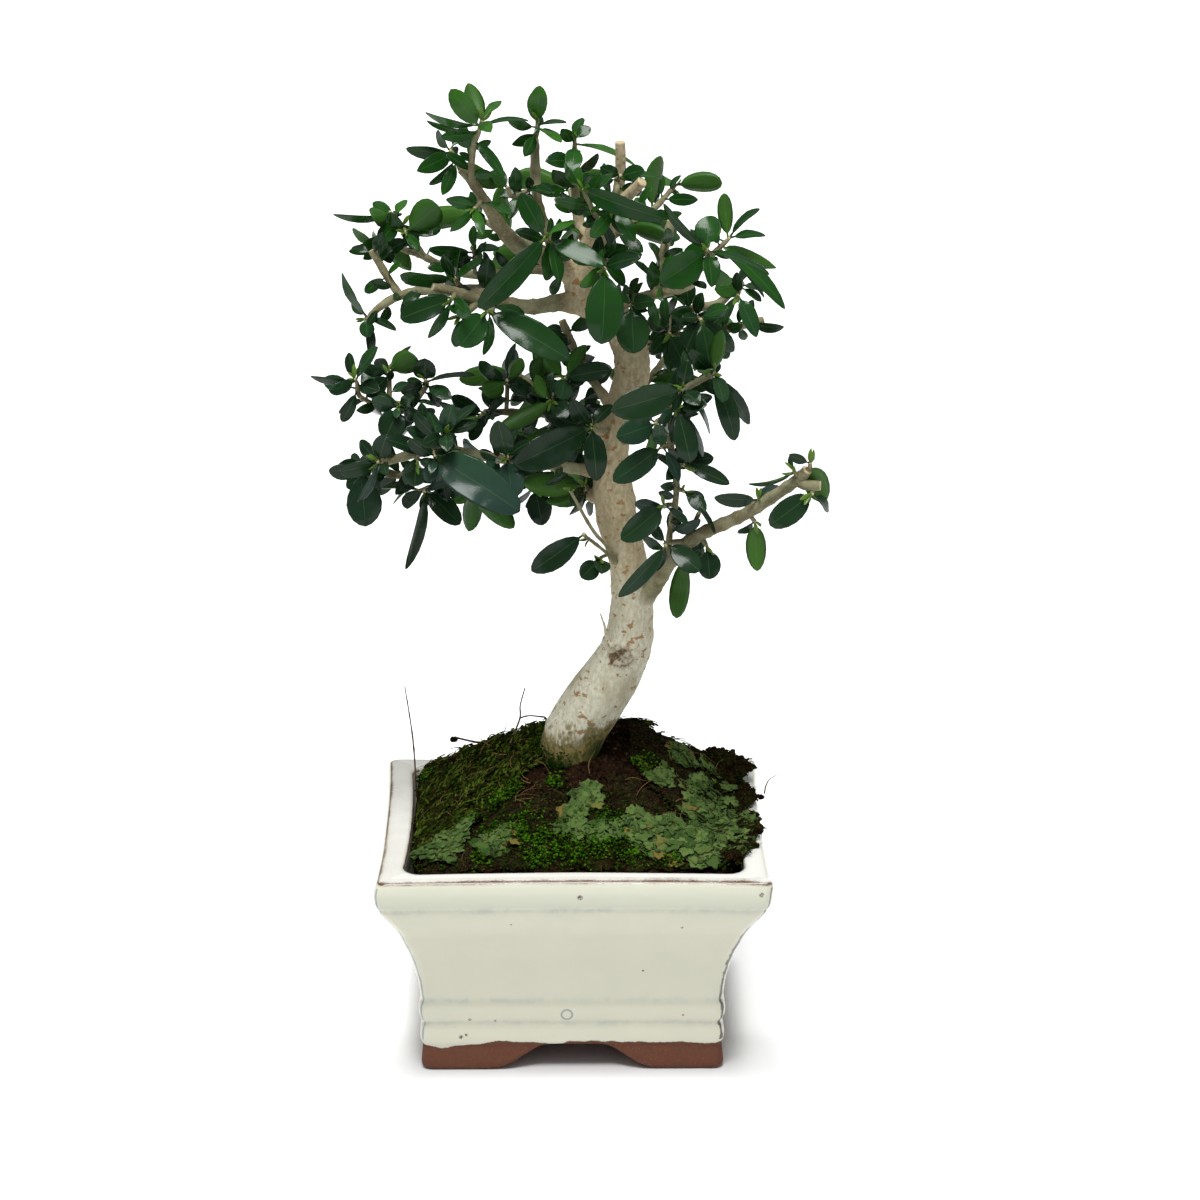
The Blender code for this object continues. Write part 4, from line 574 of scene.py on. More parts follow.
def earth():
    """Near-black damp soil, browner on its crumbs, with a little grit."""
    material, tree, shader = new_finish("damp_soil", 1.0, 0.02)
    grain, patch = speckle(tree, 1.2, 6.0), speckle(tree, 9.0, 3.0)
    dark = tint(tree, between(tree, patch, 0.35, 0.65), (0.006, 0.0035, 0.002), (0.018, 0.009, 0.005))
    crumbs = tint(tree, between(tree, grain, 0.48, 0.7), dark, (0.05, 0.025, 0.012))
    shade = tint(tree, between(tree, marked(tree, "tone"), 0.75, 1.0), crumbs, (0.16, 0.10, 0.05))
    tree.links.new(shade, shader.inputs["Base Color"])
    relief(tree, shader, grain, 0.8)
    return material


def build_soil():
    """Rings up the hollow's wall, then rings in to the peak, roughened by noise of several grains;
    crumbs are strewn over the rings."""
    angle = np.linspace(0, 2 * pi, SOIL_AROUND, endpoint=False)
    sides = []
    for z, inset in SOIL_SIDE:
        across = np.abs(np.cos(angle) / (POT_WIDTH / 2 - inset))
        along = np.abs(np.sin(angle) / (POT_DEPTH / 2 - inset))
        reach = (across ** SOIL_POWER + along ** SOIL_POWER) ** (-1 / SOIL_POWER)
        sides.append(np.stack([np.cos(angle) * reach, np.sin(angle) * reach, 0 * angle + z], axis=1))
    u = np.linspace(0, 1, SOIL_RINGS)[:-1, None]
    top = mound(u, angle[None])
    lumps = cell_noise(top, 6.0, 11) * 0.8 + cell_noise(top, 2.6, 12) * 0.5 + cell_noise(top, 1.2, 13) * 0.25
    top[..., 2] += lumps * np.clip(u * 12, 0.1, 1) - 0.5
    rows = np.concatenate([np.array(sides), top])
    bottom, peak = (0, 0, SOIL_SIDE[0][0]), (*SOIL_PEAK[:2], SOIL_PEAK[2] - 0.6)
    points = np.concatenate([[bottom], rows.reshape(-1, 3), [peak]])
    faces = ringed_faces(len(rows), SOIL_AROUND)
    draw = np.random.default_rng(21)
    u, angle = draw.uniform(0.02, 0.97, SOIL_CRUMBS) ** 0.7, draw.uniform(0, 2 * pi, SOIL_CRUMBS)
    spots = mound(u, angle) - (0, 0, 0.3)
    sizes = draw.uniform(0.4, 1.3, (SOIL_CRUMBS, 1)) * draw.uniform(0.7, 1.3, (SOIL_CRUMBS, 3))
    crumb, crumb_faces = crumb_shape()
    bits, bit_faces = strewn(crumb, crumb_faces, spots, lie(mound, u, angle), sizes, draw)
    crumb_tones = np.repeat(draw.uniform(0, 0.9, SOIL_CRUMBS), len(crumb))
    bit_faces = np.where(bit_faces >= 0, bit_faces + len(points), -1)
    return make_mesh("soil_mound", np.vstack([points, bits]), np.vstack([faces, bit_faces]), earth(),
                     {"tone": np.concatenate([np.zeros(len(points)), crumb_tones])})


soil = build_soil()
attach(soil, "root")
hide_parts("soil")


# The trunk: an old olive stem, pale and smooth between rough patches, bent in an S. The thick limbs
# at its top were sawn off, and the cuts have dried pale.
TRUNK = [
    (-9, 15, 76, 9.5), (-6, 14, 90, 10.6), (-3, 12, 106, 11.6), (0, 11, 119, 12.1), (7, 10, 132, 12.0),
    (15, 9, 145, 11.2), (21, 8, 158, 9.8), (23, 8, 171, 8.6), (23, 8, 182, 8.2), (21, 7, 196, 7.5),
    (17, 6, 211, 7.9), (16, 6, 221, 8.0), (15, 7, 232, 6.9), (16, 8, 245, 6.1), (20, 9, 258, 6.5),
    (23, 10, 272, 6.8), (19, 9, 286, 6.9), (10, 8, 297, 7.6), (4, 8, 305, 7.3), (7, 9, 315, 6.3),
    (11, 10, 325, 5.6), (12, 10, 330, 4.6),
]
CUT_LIMBS = [
    [(11, 10, 324, 3.6), (16, 8, 335, 2.4), (18, 6, 347, 2.1), (18, 5, 360, 1.9)],
    [(10, 9, 326, 3.2), (15, 2, 334, 2.5), (21, -4, 342, 2.2), (26, -8, 348, 2.0)],
]


def unit(vector):
    """A vector drawn out to length 1."""
    return vector / np.linalg.norm(vector)


def route_length(route):
    """The length of a route from point to point."""
    return sum(np.linalg.norm(np.subtract(b[:3], a[:3])) for a, b in zip(route, route[1:]))


def limb_skin(route, around, spacing, roughness, swellings=(), blunt=True, flare=0.0):
    """A round limb along a smooth route of x, y, z and radius. Each ring stands square to the route,
    its radius raised by noise drawn out along the limb and by a smooth swelling at each bud; the
    far end is closed by a flat or a rounded cap. Gives points, faces, and the distances to both ends."""
    length = route_length(route)
    rings = max(4, int(length / spacing) + 1)
    line = curved_through(route, rings)
    ahead = np.gradient(line[:, :3], axis=0)
    ahead /= np.linalg.norm(ahead, axis=1, keepdims=True)
    axes = np.array([(1, 0, 0), (0, 1, 0), (0, 0, 1), (0.7, 0.7, 0), (0.7, -0.7, 0), (0, 0.7, 0.7)], float)
    spare = axes[np.argmin(np.abs(ahead @ axes.T).max(axis=0))]
    side = np.cross(ahead, spare)
    side /= np.linalg.norm(side, axis=1, keepdims=True)
    up = np.cross(side, ahead)
    turn = np.linspace(0, 2 * pi, around, endpoint=False)
    out = side[:, None] * np.cos(turn)[None, :, None] + up[:, None] * np.sin(turn)[None, :, None]
    reach = line[:, 3].copy()
    run = np.linspace(0, length, rings)
    for at, rise in swellings:
        reach += rise * np.exp(-((run - at) / 1.2) ** 2)
    reach *= 1 + 0.3 * flare * np.exp(-run / 5)
    base = line[:, None, :3] + out * reach[:, None, None]
    stretched = base - ahead[:, None] * np.sum(base * ahead[:, None], axis=2, keepdims=True) * 0.6
    grain = cell_noise(stretched, max(1.0, line[:, 3].mean() * 0.9), 31)
    fine = cell_noise(stretched, max(0.4, line[:, 3].mean() * 0.25), 32)
    skin = base + out * ((grain + 0.3 * fine) * roughness)[..., None]
    close = [0.86, 0.5] if blunt else [0.8, 0.45]
    past = [0.12, 0.14] if blunt else [0.35, 0.6]
    caps = [line[-1, :3] + out[-1] * (reach[-1] * c) + ahead[-1] * reach[-1] * p for c, p in zip(close, past)]
    start = line[0, :3] + out[0] * reach[0] * 0.5 - ahead[0] * 0.2
    rows = np.concatenate([start[None], skin, np.array(caps)])
    pole_out = line[-1, :3] + ahead[-1] * reach[-1] * (0.13 if blunt else 0.7)
    points = np.concatenate([[line[0, :3] - ahead[0] * 0.2], rows.reshape(-1, 3), [pole_out]])
    to_end = np.concatenate([[0], length - run, [0.0, -0.1 * len(caps)]])
    to_end = np.concatenate([[length], np.repeat(to_end, around), [-0.2]])
    from_root = np.repeat(np.concatenate([run[:1], run, [length, length]]), around)
    from_root = np.concatenate([[0.0], from_root, [length]])
    return points, ringed_faces(len(rows), around), np.stack([to_end, from_root], axis=1)


def join_skins(skins):
    """Put several closed skins, each its points, faces and marks, into one set."""
    points, faces, marks, start = [], [], [], 0
    for skin in skins:
        points.append(skin[0])
        faces.append(np.where(skin[1] >= 0, skin[1] + start, -1))
        marks.append(skin[2])
        start += len(skin[0])
    return np.concatenate(points), np.concatenate(faces), np.concatenate(marks)


# Knots on the trunk: place, breadth and height of the raised bark round each.
KNOTS = [((18.2, -1.4, 156.6), 5.4, 1.5), ((22.0, 0.0, 205.0), 2.2, 0.8), ((12.0, 1.0, 236.0), 2.2, 0.8)]


def add_knots(points):
    """Push bark out in a ring round each knot and in at its middle, by the distance from it."""
    for place, breadth, height in KNOTS:
        away = np.linalg.norm(points - place, axis=1)
        levels = [mark[2] for mark in TRUNK]
        x, y = (np.interp(points[:, 2], levels, [mark[k] for mark in TRUNK]) for k in (0, 1))
        out = np.stack([points[:, 0] - x, points[:, 1] - y, 0 * x], axis=1)
        out /= np.linalg.norm(out, axis=1, keepdims=True) + 1e-6
        lift = height * np.exp(-(away / breadth) ** 2) - 1.6 * height * np.exp(-(away / breadth * 2.2) ** 2)
        points = points + out * lift[:, None]
    return points


def pale_bark(tree):
    """The colours of old bark: smooth pale grey low on the stem, warmer tan higher up and darkened there as
    painted shade under the leaves, with orange-brown corky spots, and darker scars round the knots."""
    grain = speckle(tree, 1.2, 5.0, (1, 1, 0.5))
    spots, patch = speckle(tree, 3.6, 3.0, (1, 1, 1.3)), speckle(tree, 15.0, 3.0, (1, 1, 0.6))
    place = node(tree, "TexCoord", {}, "Object")
    height = coordinate(tree, 2)
    grey = tint(tree, between(tree, grain, 0.35, 0.65), (0.54, 0.51, 0.37), (0.68, 0.66, 0.53))
    tan = tint(tree, between(tree, grain, 0.35, 0.65), (0.38, 0.31, 0.18), (0.52, 0.44, 0.29))
    # Painted shade: the tan higher up is darker than the grey below, standing in for the leaves' shadow as
    # well as its warmer colour.
    bark = tint(tree, between(tree, plus(tree, height, patch, 0.08), 0.19, 0.25), grey, tan)
    bark = tint(tree, between(tree, patch, 0.52, 0.66, 0.0, 0.6), bark, (0.36, 0.30, 0.18))
    bark = tint(tree, between(tree, spots, 0.60, 0.65, 0.0, 0.85), bark, (0.30, 0.15, 0.05))
    for knot in KNOTS:
        breadth = knot[1]
        feeds = {0: place, 1: tuple(c * MM for c in knot[0])}
        away = node(tree, "VectorMath", feeds, "Value", operation="DISTANCE")
        away = plus(tree, away, grain, 0.0022)
        swirl = between(tree, spots, 0.42, 0.58, 0.35, 1.0)
        scar = between(tree, away, breadth * 0.9 * MM, (breadth + 1.8) * MM, 0.95, 0.0)
        scar = sums(tree, "MULTIPLY", scar, swirl)
        bark = tint(tree, scar, bark, (0.10, 0.05, 0.018))
    return bark, grain, spots, patch, height


def trunk_bark():
    """Old bark with tan and olive crust low down and green moss at the foot; sawn ends are pale."""
    material, tree, shader = new_finish("olive_bark", 0.8, 0.15)
    bark, grain, spots, patch, height = pale_bark(tree)
    low = plus(tree, height, patch, 0.05)
    crust = tint(tree, between(tree, grain, 0.4, 0.6), (0.24, 0.18, 0.075), (0.075, 0.085, 0.015))
    crusted = tint(tree, between(tree, plus(tree, low, grain, 0.016), 0.154, 0.161), crust, bark)
    moss_edge = between(tree, plus(tree, low, grain, 0.012), 0.136, 0.148)
    mossy = tint(tree, moss_edge, (0.018, 0.042, 0.004), crusted)
    cut = tint(tree, between(tree, marked(tree, "to_end"), 0.0, 0.25), (0.55, 0.46, 0.28), mossy)
    tree.links.new(cut, shader.inputs["Base Color"])
    relief(tree, shader, sums(tree, "ADD", grain, spots), 0.45, 0.8)
    return material


# A dry rootlet clings to the trunk's left side.
ROOTLET = [
    (15.5, 1.0, 160.0, 0.5), (13.0, 0.6, 164.0, 0.6), (12.2, 0.2, 169.0, 0.5), (10.6, 0.5, 174.0, 0.35),
]

stem_points, stem_faces, stem_marks = limb_skin(TRUNK, 72, 0.75, 0.40)
stem = [(add_knots(stem_points), stem_faces, stem_marks)]
stem += [limb_skin(route, 28, 0.8, 0.08) for route in CUT_LIMBS]
stem.append(limb_skin(ROOTLET, 8, 0.6, 0.12, (), False))
points, faces, marks = join_skins(stem)
trunk = make_mesh("trunk_bark", points, faces, trunk_bark(), {"to_end": marks[:, 0]})
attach(trunk, "root")
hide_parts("trunk")


# The branches: one- and two-year shoots from the trunk, each with its own limbs and leathery
# leaves in opposite pairs. The route and leaf places are the real tree's, read one by one.
BLADE_THICKNESS, BLADE_ARCH, ROOT_DEPTH, CLEAR = 0.7, 0.07, 0.45, 0.45
BROAD_STATIONS, NARROW_STATIONS, NARROW_WIDTH = [(0.32, 0.47), (0.68, 0.44)], [(0.48, 0.5)], 7.0
ROOT_PART, ROOT_PART_LENGTH = 0.3, 3.0
VIEW_TILT = radians(20.0)
VIEW = np.array((0.0, -cos(VIEW_TILT), sin(VIEW_TILT)))
LEAF_SEED = 7
# Branches: name, what each grows from, and its limbs. A limb is a route of x, y, z and radius, and
# its leaves, read off the photograph: place along the limb from 0 to 1, the x, y and z of
# the tip, the width, and the roll in degrees that turns the upper face away from the camera.
BRANCHES = [
    ("arm_right", "trunk", [
        ([(22, 8, 172, 5.9), (27, 4, 178, 4.3), (32, -2, 187, 3.5), (39, -10, 202, 3.3), (48, -16, 212, 2.9),
          (66, -22, 223, 2.7), (84, -26, 237, 2.5), (88, -28, 242, 2.3)], []),
        ([(84, -26, 237, 2.3), (88, -28, 236, 2.3), (93, -29, 236, 2.1)], []),
        ([(40, -12, 205, 1.2), (45, -14, 213, 1.1), (48, -16, 221, 1.0)], []),
        ([(50, -18, 210, 1.1), (51, -20, 209, 0.8)], [(1.0, 52, -24, 197, 9, 5),
          (0.4, 45, -13, 201, 5, 30)]),
        ([(70, -24, 228, 1.0), (70, -24, 229, 0.8)], [(1.0, 53, -30, 232, 6, 25),
          (1.0, 78, -16, 232, 5, 45)]),
        ([(68, -23, 221, 1.0), (69, -23, 220, 0.8)], [(1.0, 70, -26, 201, 8, 180),
          (0.8, 63, -16, 213, 4, 40)]),
        ([(84, -28, 240, 0.9), (83, -29, 242, 0.8)], [(0.7, 66, -31, 237, 5, 75),
          (0.8, 82, -24, 247, 3, 50)]),
        ([(90, -29, 234, 1.1), (90, -30, 233, 0.8)], [(0.7, 74, -34, 222, 10, 5),
          (1.0, 97, -24, 224, 5, 40)]),
        ([(89, -29, 243, 1.1), (89, -29, 245, 0.8)], [(0.6, 96, -27, 227, 10, 180),
          (1.0, 81, -31, 249, 4, 20)]),
        ([(42, -4, 199, 1.0), (43, -1, 198, 0.8)], [(1.0, 40, -5, 174, 8, 180), (1.0, 51, 2, 203, 5, 40)]),
        ([(36, -19, 210, 1.1), (35, -25, 211, 0.8)], [(1.0, 17, -35, 194, 7, 25), (0.4, 48, -29, 202, 9, 10),
          (0.5, 30, -16, 197, 5, 30), (0.2, 30, -14, 216, 5, 30)]),
    ]),
    ("riser_right", "arm_right", [
        ([(37, -10, 202, 1.5), (37, -14, 213, 1.3), (39, -18, 227, 1.3), (39, -18, 236, 1.5),
          (37, -16, 248, 1.5), (36, -16, 259, 1.7), (38, -17, 266, 1.5), (44, -18, 272, 1.5),
          (52, -20, 277, 1.3)], []),
        ([(36, -18, 225, 1.0), (34, -23, 226, 0.8)], [(0.9, 18, -33, 216, 10, 10),
          (0.8, 24, -18, 219, 5, 50), (0.7, 43, -27, 220, 5, 50)]),
        ([(40, -20, 232, 0.9), (42, -23, 232, 0.8)], [(0.9, 50, -29, 226, 6, 15),
          (0.9, 53, -19, 214, 5, 60)]),
        ([(40, -20, 242, 0.9), (42, -22, 242, 0.8)], [(1.0, 59, -26, 236, 6, 15),
          (0.8, 48, -18, 249, 5, 50)]),
        ([(35, -20, 249, 1.1), (33, -25, 250, 0.8)], [(1.0, 15, -35, 240, 10, 10),
          (0.6, 40, -29, 238, 5, 30), (0.4, 28, -14, 255, 5, 40)]),
        ([(32, -20, 259, 1.1), (31, -24, 259, 0.8)], [(1.0, 16, -34, 257, 10, 10),
          (1.0, 33, -18, 242, 5, 170), (0.7, 23, -18, 265, 5, 30)]),
        ([(35, -19, 265, 1.2), (37, -24, 266, 1.0), (39, -27, 266, 0.8)], [(1.0, 50, -33, 269, 7, 30),
          (1.0, 44, -34, 247, 9, 5), (0.8, 39, -19, 249, 6, 10), (1.0, 49, -21, 245, 5, 45),
          (0.7, 32, -30, 261, 5, 30)]),
        ([(41, -22, 271, 1.2), (41, -28, 274, 0.9)], [(1.0, 14, -42, 270, 13, 20),
          (0.5, 48, -33, 268, 7, 20), (0.8, 52, -23, 255, 5, 60)]),
        ([(53, -20, 277, 1.3), (53, -21, 278, 0.9)], [(0.4, 61, -26, 253, 8, 10), (0.2, 67, -12, 255, 6, 20),
          (1.0, 56, -15, 293, 6, 170), (0.0, 44, -26, 288, 6, 20), (0.4, 56, -32, 270, 7, 30)]),
    ]),
    ("low_left_front", "trunk", [
        ([(15, 7, 229, 5.4), (8, 2, 232, 2.9), (-8, -6, 237, 2.3), (-30, -12, 242, 2.1),
          (-50, -14, 246, 2.1), (-61, -14, 244, 1.9), (-72, -14, 241, 1.9)], []),
        ([(-73, -15, 242, 1.0), (-74, -17, 242, 0.8)], [(0.6, -88, -20, 239, 7, 30),
          (0.8, -81, -25, 229, 5, 50), (0.4, -70, -20, 254, 8, 10), (0.2, -81, -9, 248, 6, 30)]),
        ([(-59, -17, 244, 0.9), (-59, -19, 243, 0.8)], [(0.8, -60, -22, 234, 8, 5),
          (0.4, -50, -24, 241, 5, 40)]),
        ([(-52, -18, 246, 1.2), (-52, -23, 246, 0.9)], [(1.0, -20, -35, 228, 16, 10),
          (1.0, -51, -27, 237, 6, 30), (0.7, -61, -30, 255, 6, 30)]),
        ([(-25, -15, 242, 1.1), (-25, -20, 245, 0.9)], [(1.0, -28, -28, 262, 9, 10),
          (0.5, -23, -28, 231, 11, 20), (0.6, -16, -24, 252, 5, 40), (0.2, -35, -26, 249, 5, 40)]),
    ]),
    ("low_left_rear", "trunk", [
        ([(13, 8, 218, 3.9), (1, 16, 221, 2.5), (-13, 22, 223, 2.1), (-36, 26, 222, 2.0),
          (-54, 28, 221, 1.8), (-71, 30, 222, 1.8), (-82, 31, 225, 1.6)], []),
        ([(-48, 26, 222, 1.4), (-56, 22, 219, 1.2), (-65, 18, 217, 1.2)], []),
        ([(-82, 27, 226, 1.2), (-83, 22, 226, 0.8)], [(1.0, -81, 16, 205, 14, 10),
          (0.8, -95, 19, 227, 7, 25), (0.8, -73, 14, 217, 5, 40), (0.6, -74, 29, 231, 5, 40)]),
        ([(-57, 23, 218, 1.0), (-58, 17, 219, 0.8)], [(1.0, -66, 9, 190, 7, 50), (0.5, -44, 13, 207, 9, 10),
          (0.8, -48, 12, 224, 5, 40)]),
        ([(-40, 23, 221, 1.0), (-39, 19, 220, 0.8)], [(1.0, -23, 14, 205, 9, 180),
          (1.0, -47, 23, 213, 6, 150), (1.0, -41, 25, 200, 8, 165)]),
        ([(-16, 20, 222, 1.0), (-15, 14, 222, 0.8)], [(1.0, -12, 11, 207, 10, 10), (0.9, -24, 9, 216, 5, 40),
          (1.0, -5, 18, 222, 5, 40)]),
    ]),
    ("low_left_upper", "low_left_front", [
        ([(-50, -14, 246, 1.7), (-55, -10, 252, 1.5), (-61, -4, 258, 1.3), (-67, 0, 260, 1.3),
          (-75, 2, 259, 1.1), (-81, 2, 262, 1.0)], []),
        ([(-53, -16, 247, 1.2), (-50, -20, 252, 1.0), (-48, -22, 255, 0.8)], [(1.0, -45, -24, 267, 7, 10),
          (0.9, -59, -28, 251, 6, 20), (1.0, -47, -32, 251, 6, 5), (1.0, -36, -18, 265, 5, 40),
          (0.6, -60, -16, 261, 6, 30)]),
        ([(-65, -4, 258, 1.2), (-66, -10, 262, 0.8)], [(0.8, -71, -17, 251, 11, 10),
          (0.6, -60, -18, 268, 5, 20), (0.9, -76, -11, 265, 7, 30), (0.5, -67, 3, 248, 5, 10)]),
        ([(-56, 2, 266, 1.1), (-56, -2, 270, 0.8)], [(0.8, -56, -4, 279, 9, 5), (0.6, -37, -5, 272, 5, 60),
          (0.5, -65, -8, 267, 6, 30), (0.1, -46, -7, 264, 6, 20)]),
        ([(-70, 5, 269, 1.1), (-70, 4, 271, 0.8)], [(1.0, -59, -2, 279, 10, 160), (0.7, -81, 0, 276, 6, 40),
          (0.2, -62, 13, 279, 5, 50), (0.7, -78, -4, 264, 7, 20)]),
        ([(-82, 2, 264, 1.1), (-82, 0, 268, 0.9), (-83, -1, 270, 0.8)], [(0.9, -99, -7, 273, 5, 60),
          (0.8, -72, 3, 283, 6, 40), (0.5, -73, -7, 267, 7, 20), (0.9, -93, -9, 267, 6, 40),
          (0.2, -88, -1, 253, 5, 15), (0.7, -85, 4, 279, 5, 30)]),
    ]),
    ("mid_left", "trunk", [
        ([(13, 8, 246, 3.8), (-1, 8, 251, 2.3), (-14, 10, 253, 1.7), (-26, 8, 254, 1.5), (-34, 5, 255, 1.3)],
          []),
        ([(-8, 4, 262, 1.1), (-8, -4, 262, 0.9)], [(1.0, -28, -10, 253, 7, 165), (1.0, -2, -12, 258, 8, 10),
          (1.0, -14, 0, 271, 7, 150), (1.0, 5, 0, 255, 7, 165)]),
        ([(-14, 12, 258, 1.0), (-13, 8, 262, 0.8)], [(1.0, -11, 10, 276, 8, 160), (0.7, -5, 5, 264, 5, 40),
          (0.6, -21, 3, 270, 5, 40)]),
        ([(-25, 10, 264, 1.0), (-25, 4, 268, 0.8)], [(0.8, -34, -3, 265, 8, 165),
          (0.9, -19, -1, 278, 6, 180), (0.6, -35, 4, 275, 8, 20), (0.5, -22, 13, 280, 5, 50),
          (0.5, -17, 1, 261, 5, 30)]),
        ([(-32, 4, 255, 1.0), (-35, -2, 256, 0.8)], [(0.9, -44, -5, 252, 5, 170), (0.8, -51, 1, 260, 5, 50),
          (0.4, -25, -4, 263, 5, 40), (0.6, -39, -5, 247, 5, 30)]),
    ]),
    ("crown_left_low", "trunk", [
        ([(5, 8, 298, 6.5), (-5, 2, 299, 3.8), (-16, -4, 299, 3.2), (-27, -8, 302, 2.8),
          (-36, -11, 304, 2.4), (-45, -14, 308, 2.1), (-52, -16, 310, 1.7)], []),
        ([(-35, -10, 303, 1.5), (-38, -14, 301, 1.5), (-42, -17, 299, 1.3)], []),
        ([(-30, -14, 301, 1.3), (-32, -18, 301, 0.9)], [(1.0, -1, -28, 285, 12, 10),
          (1.0, -42, -26, 290, 11, 10), (0.6, -33, -8, 281, 5, 40), (0.2, -23, -9, 289, 6, 30)]),
        ([(-44, -16, 307, 1.1), (-45, -19, 306, 0.8)], [(1.0, -64, -23, 300, 9, 0),
          (0.6, -54, -26, 294, 5, 40)]),
    ]),
    ("crown_left_outer", "crown_left_low", [
        ([(-27, -6, 302, 2.4), (-35, -2, 305, 2.3), (-46, 2, 304, 2.1), (-56, 6, 303, 2.1),
          (-66, 8, 300, 1.9), (-73, 8, 296, 1.7), (-77, 8, 292, 1.3)], []),
        ([(-65, 8, 300, 1.7), (-69, 10, 305, 1.7), (-76, 12, 317, 1.7)], []),
        ([(-78, 8, 292, 1.0), (-79, 8, 291, 0.8)], [(0.6, -78, 4, 285, 6, 10), (1.0, -77, 12, 275, 5, 40),
          (0.0, -87, 4, 310, 5, 50), (0.4, -67, 2, 288, 5, 50), (0.0, -84, 12, 298, 5, 40)]),
        ([(-43, -6, 309, 1.1), (-44, -10, 312, 0.8)], [(1.0, -64, -18, 315, 9, 30),
          (0.9, -48, -14, 322, 5, 30), (0.6, -34, -4, 317, 5, 40)]),
    ]),
    ("crown_left_rear", "trunk", [
        ([(3, 9, 307, 2.8), (-10, 16, 308, 2.1), (-24, 18, 307, 1.9), (-36, 16, 306, 1.8),
          (-47, 18, 308, 1.7), (-57, 22, 312, 1.5), (-64, 24, 314, 1.3), (-69, 25, 316, 1.1)], []),
        ([(-56, 22, 312, 1.3), (-61, 20, 319, 1.3), (-65, 18, 325, 1.1)], []),
        ([(-66, 17, 327, 1.0), (-67, 16, 329, 0.9), (-69, 15, 331, 0.8)], [(0.7, -90, 10, 331, 5, 60),
          (0.9, -78, 7, 330, 8, 150), (0.0, -73, 9, 321, 7, 30), (0.4, -63, 22, 334, 5, 40)]),
        ([(-65, 18, 323, 1.1), (-63, 12, 324, 0.8)], [(1.0, -50, 6, 336, 12, 170),
          (0.7, -69, 10, 332, 5, 30), (0.7, -58, 6, 318, 5, 30)]),
        ([(-70, 25, 317, 1.0), (-73, 24, 317, 0.9), (-75, 23, 317, 0.8)], [(0.8, -85, 18, 315, 5, 40),
          (1.0, -84, 25, 322, 5, 50), (0.8, -69, 16, 311, 6, 20), (0.9, -80, 17, 311, 5, 40),
          (0.2, -62, 27, 305, 7, 170)]),
        ([(-37, 10, 309, 1.1), (-37, 6, 316, 0.9), (-37, 4, 319, 0.8)], [(1.0, -37, 6, 328, 4, 30),
          (0.9, -54, 2, 320, 5, 25), (0.7, -47, -2, 315, 5, 20), (0.9, -28, 11, 318, 5, 40)]),
    ]),
    ("crown_left_top", "trunk", [
        ([(2, 8, 306, 4.9), (-7, 2, 315, 3.8), (-20, -6, 323, 3.4), (-27, -10, 332, 3.0),
          (-32, -12, 341, 2.4), (-37, -12, 349, 2.0), (-41, -10, 353, 1.7)], []),
        ([(-37, -12, 349, 1.7), (-37, -16, 358, 1.5), (-36, -18, 365, 1.5)], []),
        ([(-36, -18, 366, 1.3), (-34, -20, 370, 1.0), (-33, -21, 374, 0.8)], [(0.7, -44, -24, 386, 8, 10),
          (1.0, -38, -13, 386, 7, 180), (0.4, -48, -25, 369, 5, 15), (0.7, -16, -18, 374, 5, 60),
          (0.8, -54, -15, 375, 5, 60), (0.5, -56, -28, 375, 4, 65), (0.0, -25, -26, 354, 5, 25),
          (1.0, -26, -11, 379, 4, 30)]),
        ([(-41, -9, 354, 1.4), (-43, -8, 357, 1.1), (-45, -8, 360, 0.8)], [(0.9, -61, -14, 362, 6, 45),
          (0.8, -57, -20, 355, 7, 15), (0.4, -48, -16, 345, 5, 10), (0.5, -53, -4, 346, 5, 55),
          (0.2, -28, 0, 344, 7, 180), (1.0, -50, -2, 366, 5, 50), (1.0, -39, 0, 367, 5, 20)]),
        ([(-34, -16, 342, 1.0), (-36, -20, 341, 0.8)], [(0.6, -45, -24, 345, 4, 20),
          (0.8, -45, -23, 333, 4, 20), (1.0, -33, -29, 333, 4, 15)]),
    ]),
    ("crown_top", "trunk", [
        ([(0, 8, 310, 4.2), (-8, 16, 320, 3.0), (-13, 22, 332, 2.3), (-14, 24, 349, 2.1),
          (-14, 24, 357, 1.7)], []),
        ([(-14, 24, 358, 1.4), (-13, 24, 361, 1.1), (-13, 23, 364, 0.9)], [(0.9, -12, 20, 378, 7, 5),
          (0.7, -15, 33, 373, 5, 20), (0.7, -2, 20, 364, 5, 60), (0.5, -4, 15, 358, 5, 45),
          (0.2, -18, 16, 352, 5, 10), (0.6, -24, 29, 363, 5, 40), (0.3, -21, 17, 358, 5, 40)]),
        ([(-22, -6, 342, 1.0), (-24, -8, 346, 0.8)], [(0.9, -29, -11, 351, 5, 160)]),
    ]),
    ("crown_front", "crown_left_top", [
        ([(-7, 2, 315, 2.2), (-7, -3, 321, 1.6)], []),
        ([(-8, 2, 319, 1.5), (-9, -9, 325, 1.1), (-10, -16, 329, 0.9)], [(1.0, -35, -27, 305, 10, 20),
          (0.7, 12, -20, 319, 8, 20), (0.7, -5, -24, 314, 6, 15), (1.0, -19, -13, 345, 8, 10),
          (1.0, 1, -12, 334, 5, 50)]),
    ]),
    ("crown_middle", "trunk", [
        ([(6, 10, 321, 2.6), (2, 14, 330, 2.1), (1, 16, 345, 1.5), (1, 16, 355, 1.5)], []),
        ([(1, 16, 356, 1.2), (1, 15, 359, 0.8)], [(0.6, -4, 10, 364, 5, 20), (0.9, 7, 17, 363, 5, 20),
          (0.1, 0, 6, 348, 7, 5), (0.0, -2, 20, 338, 5, 20), (0.3, 24, 10, 350, 5, 60),
          (0.9, 4, 24, 365, 5, 30)]),
    ]),
    ("crown_shoot", "trunk", [
        ([(11, 10, 328, 2.6), (13, 0, 335, 1.7), (16, -4, 343, 1.5), (17, 0, 345, 1.3)], []),
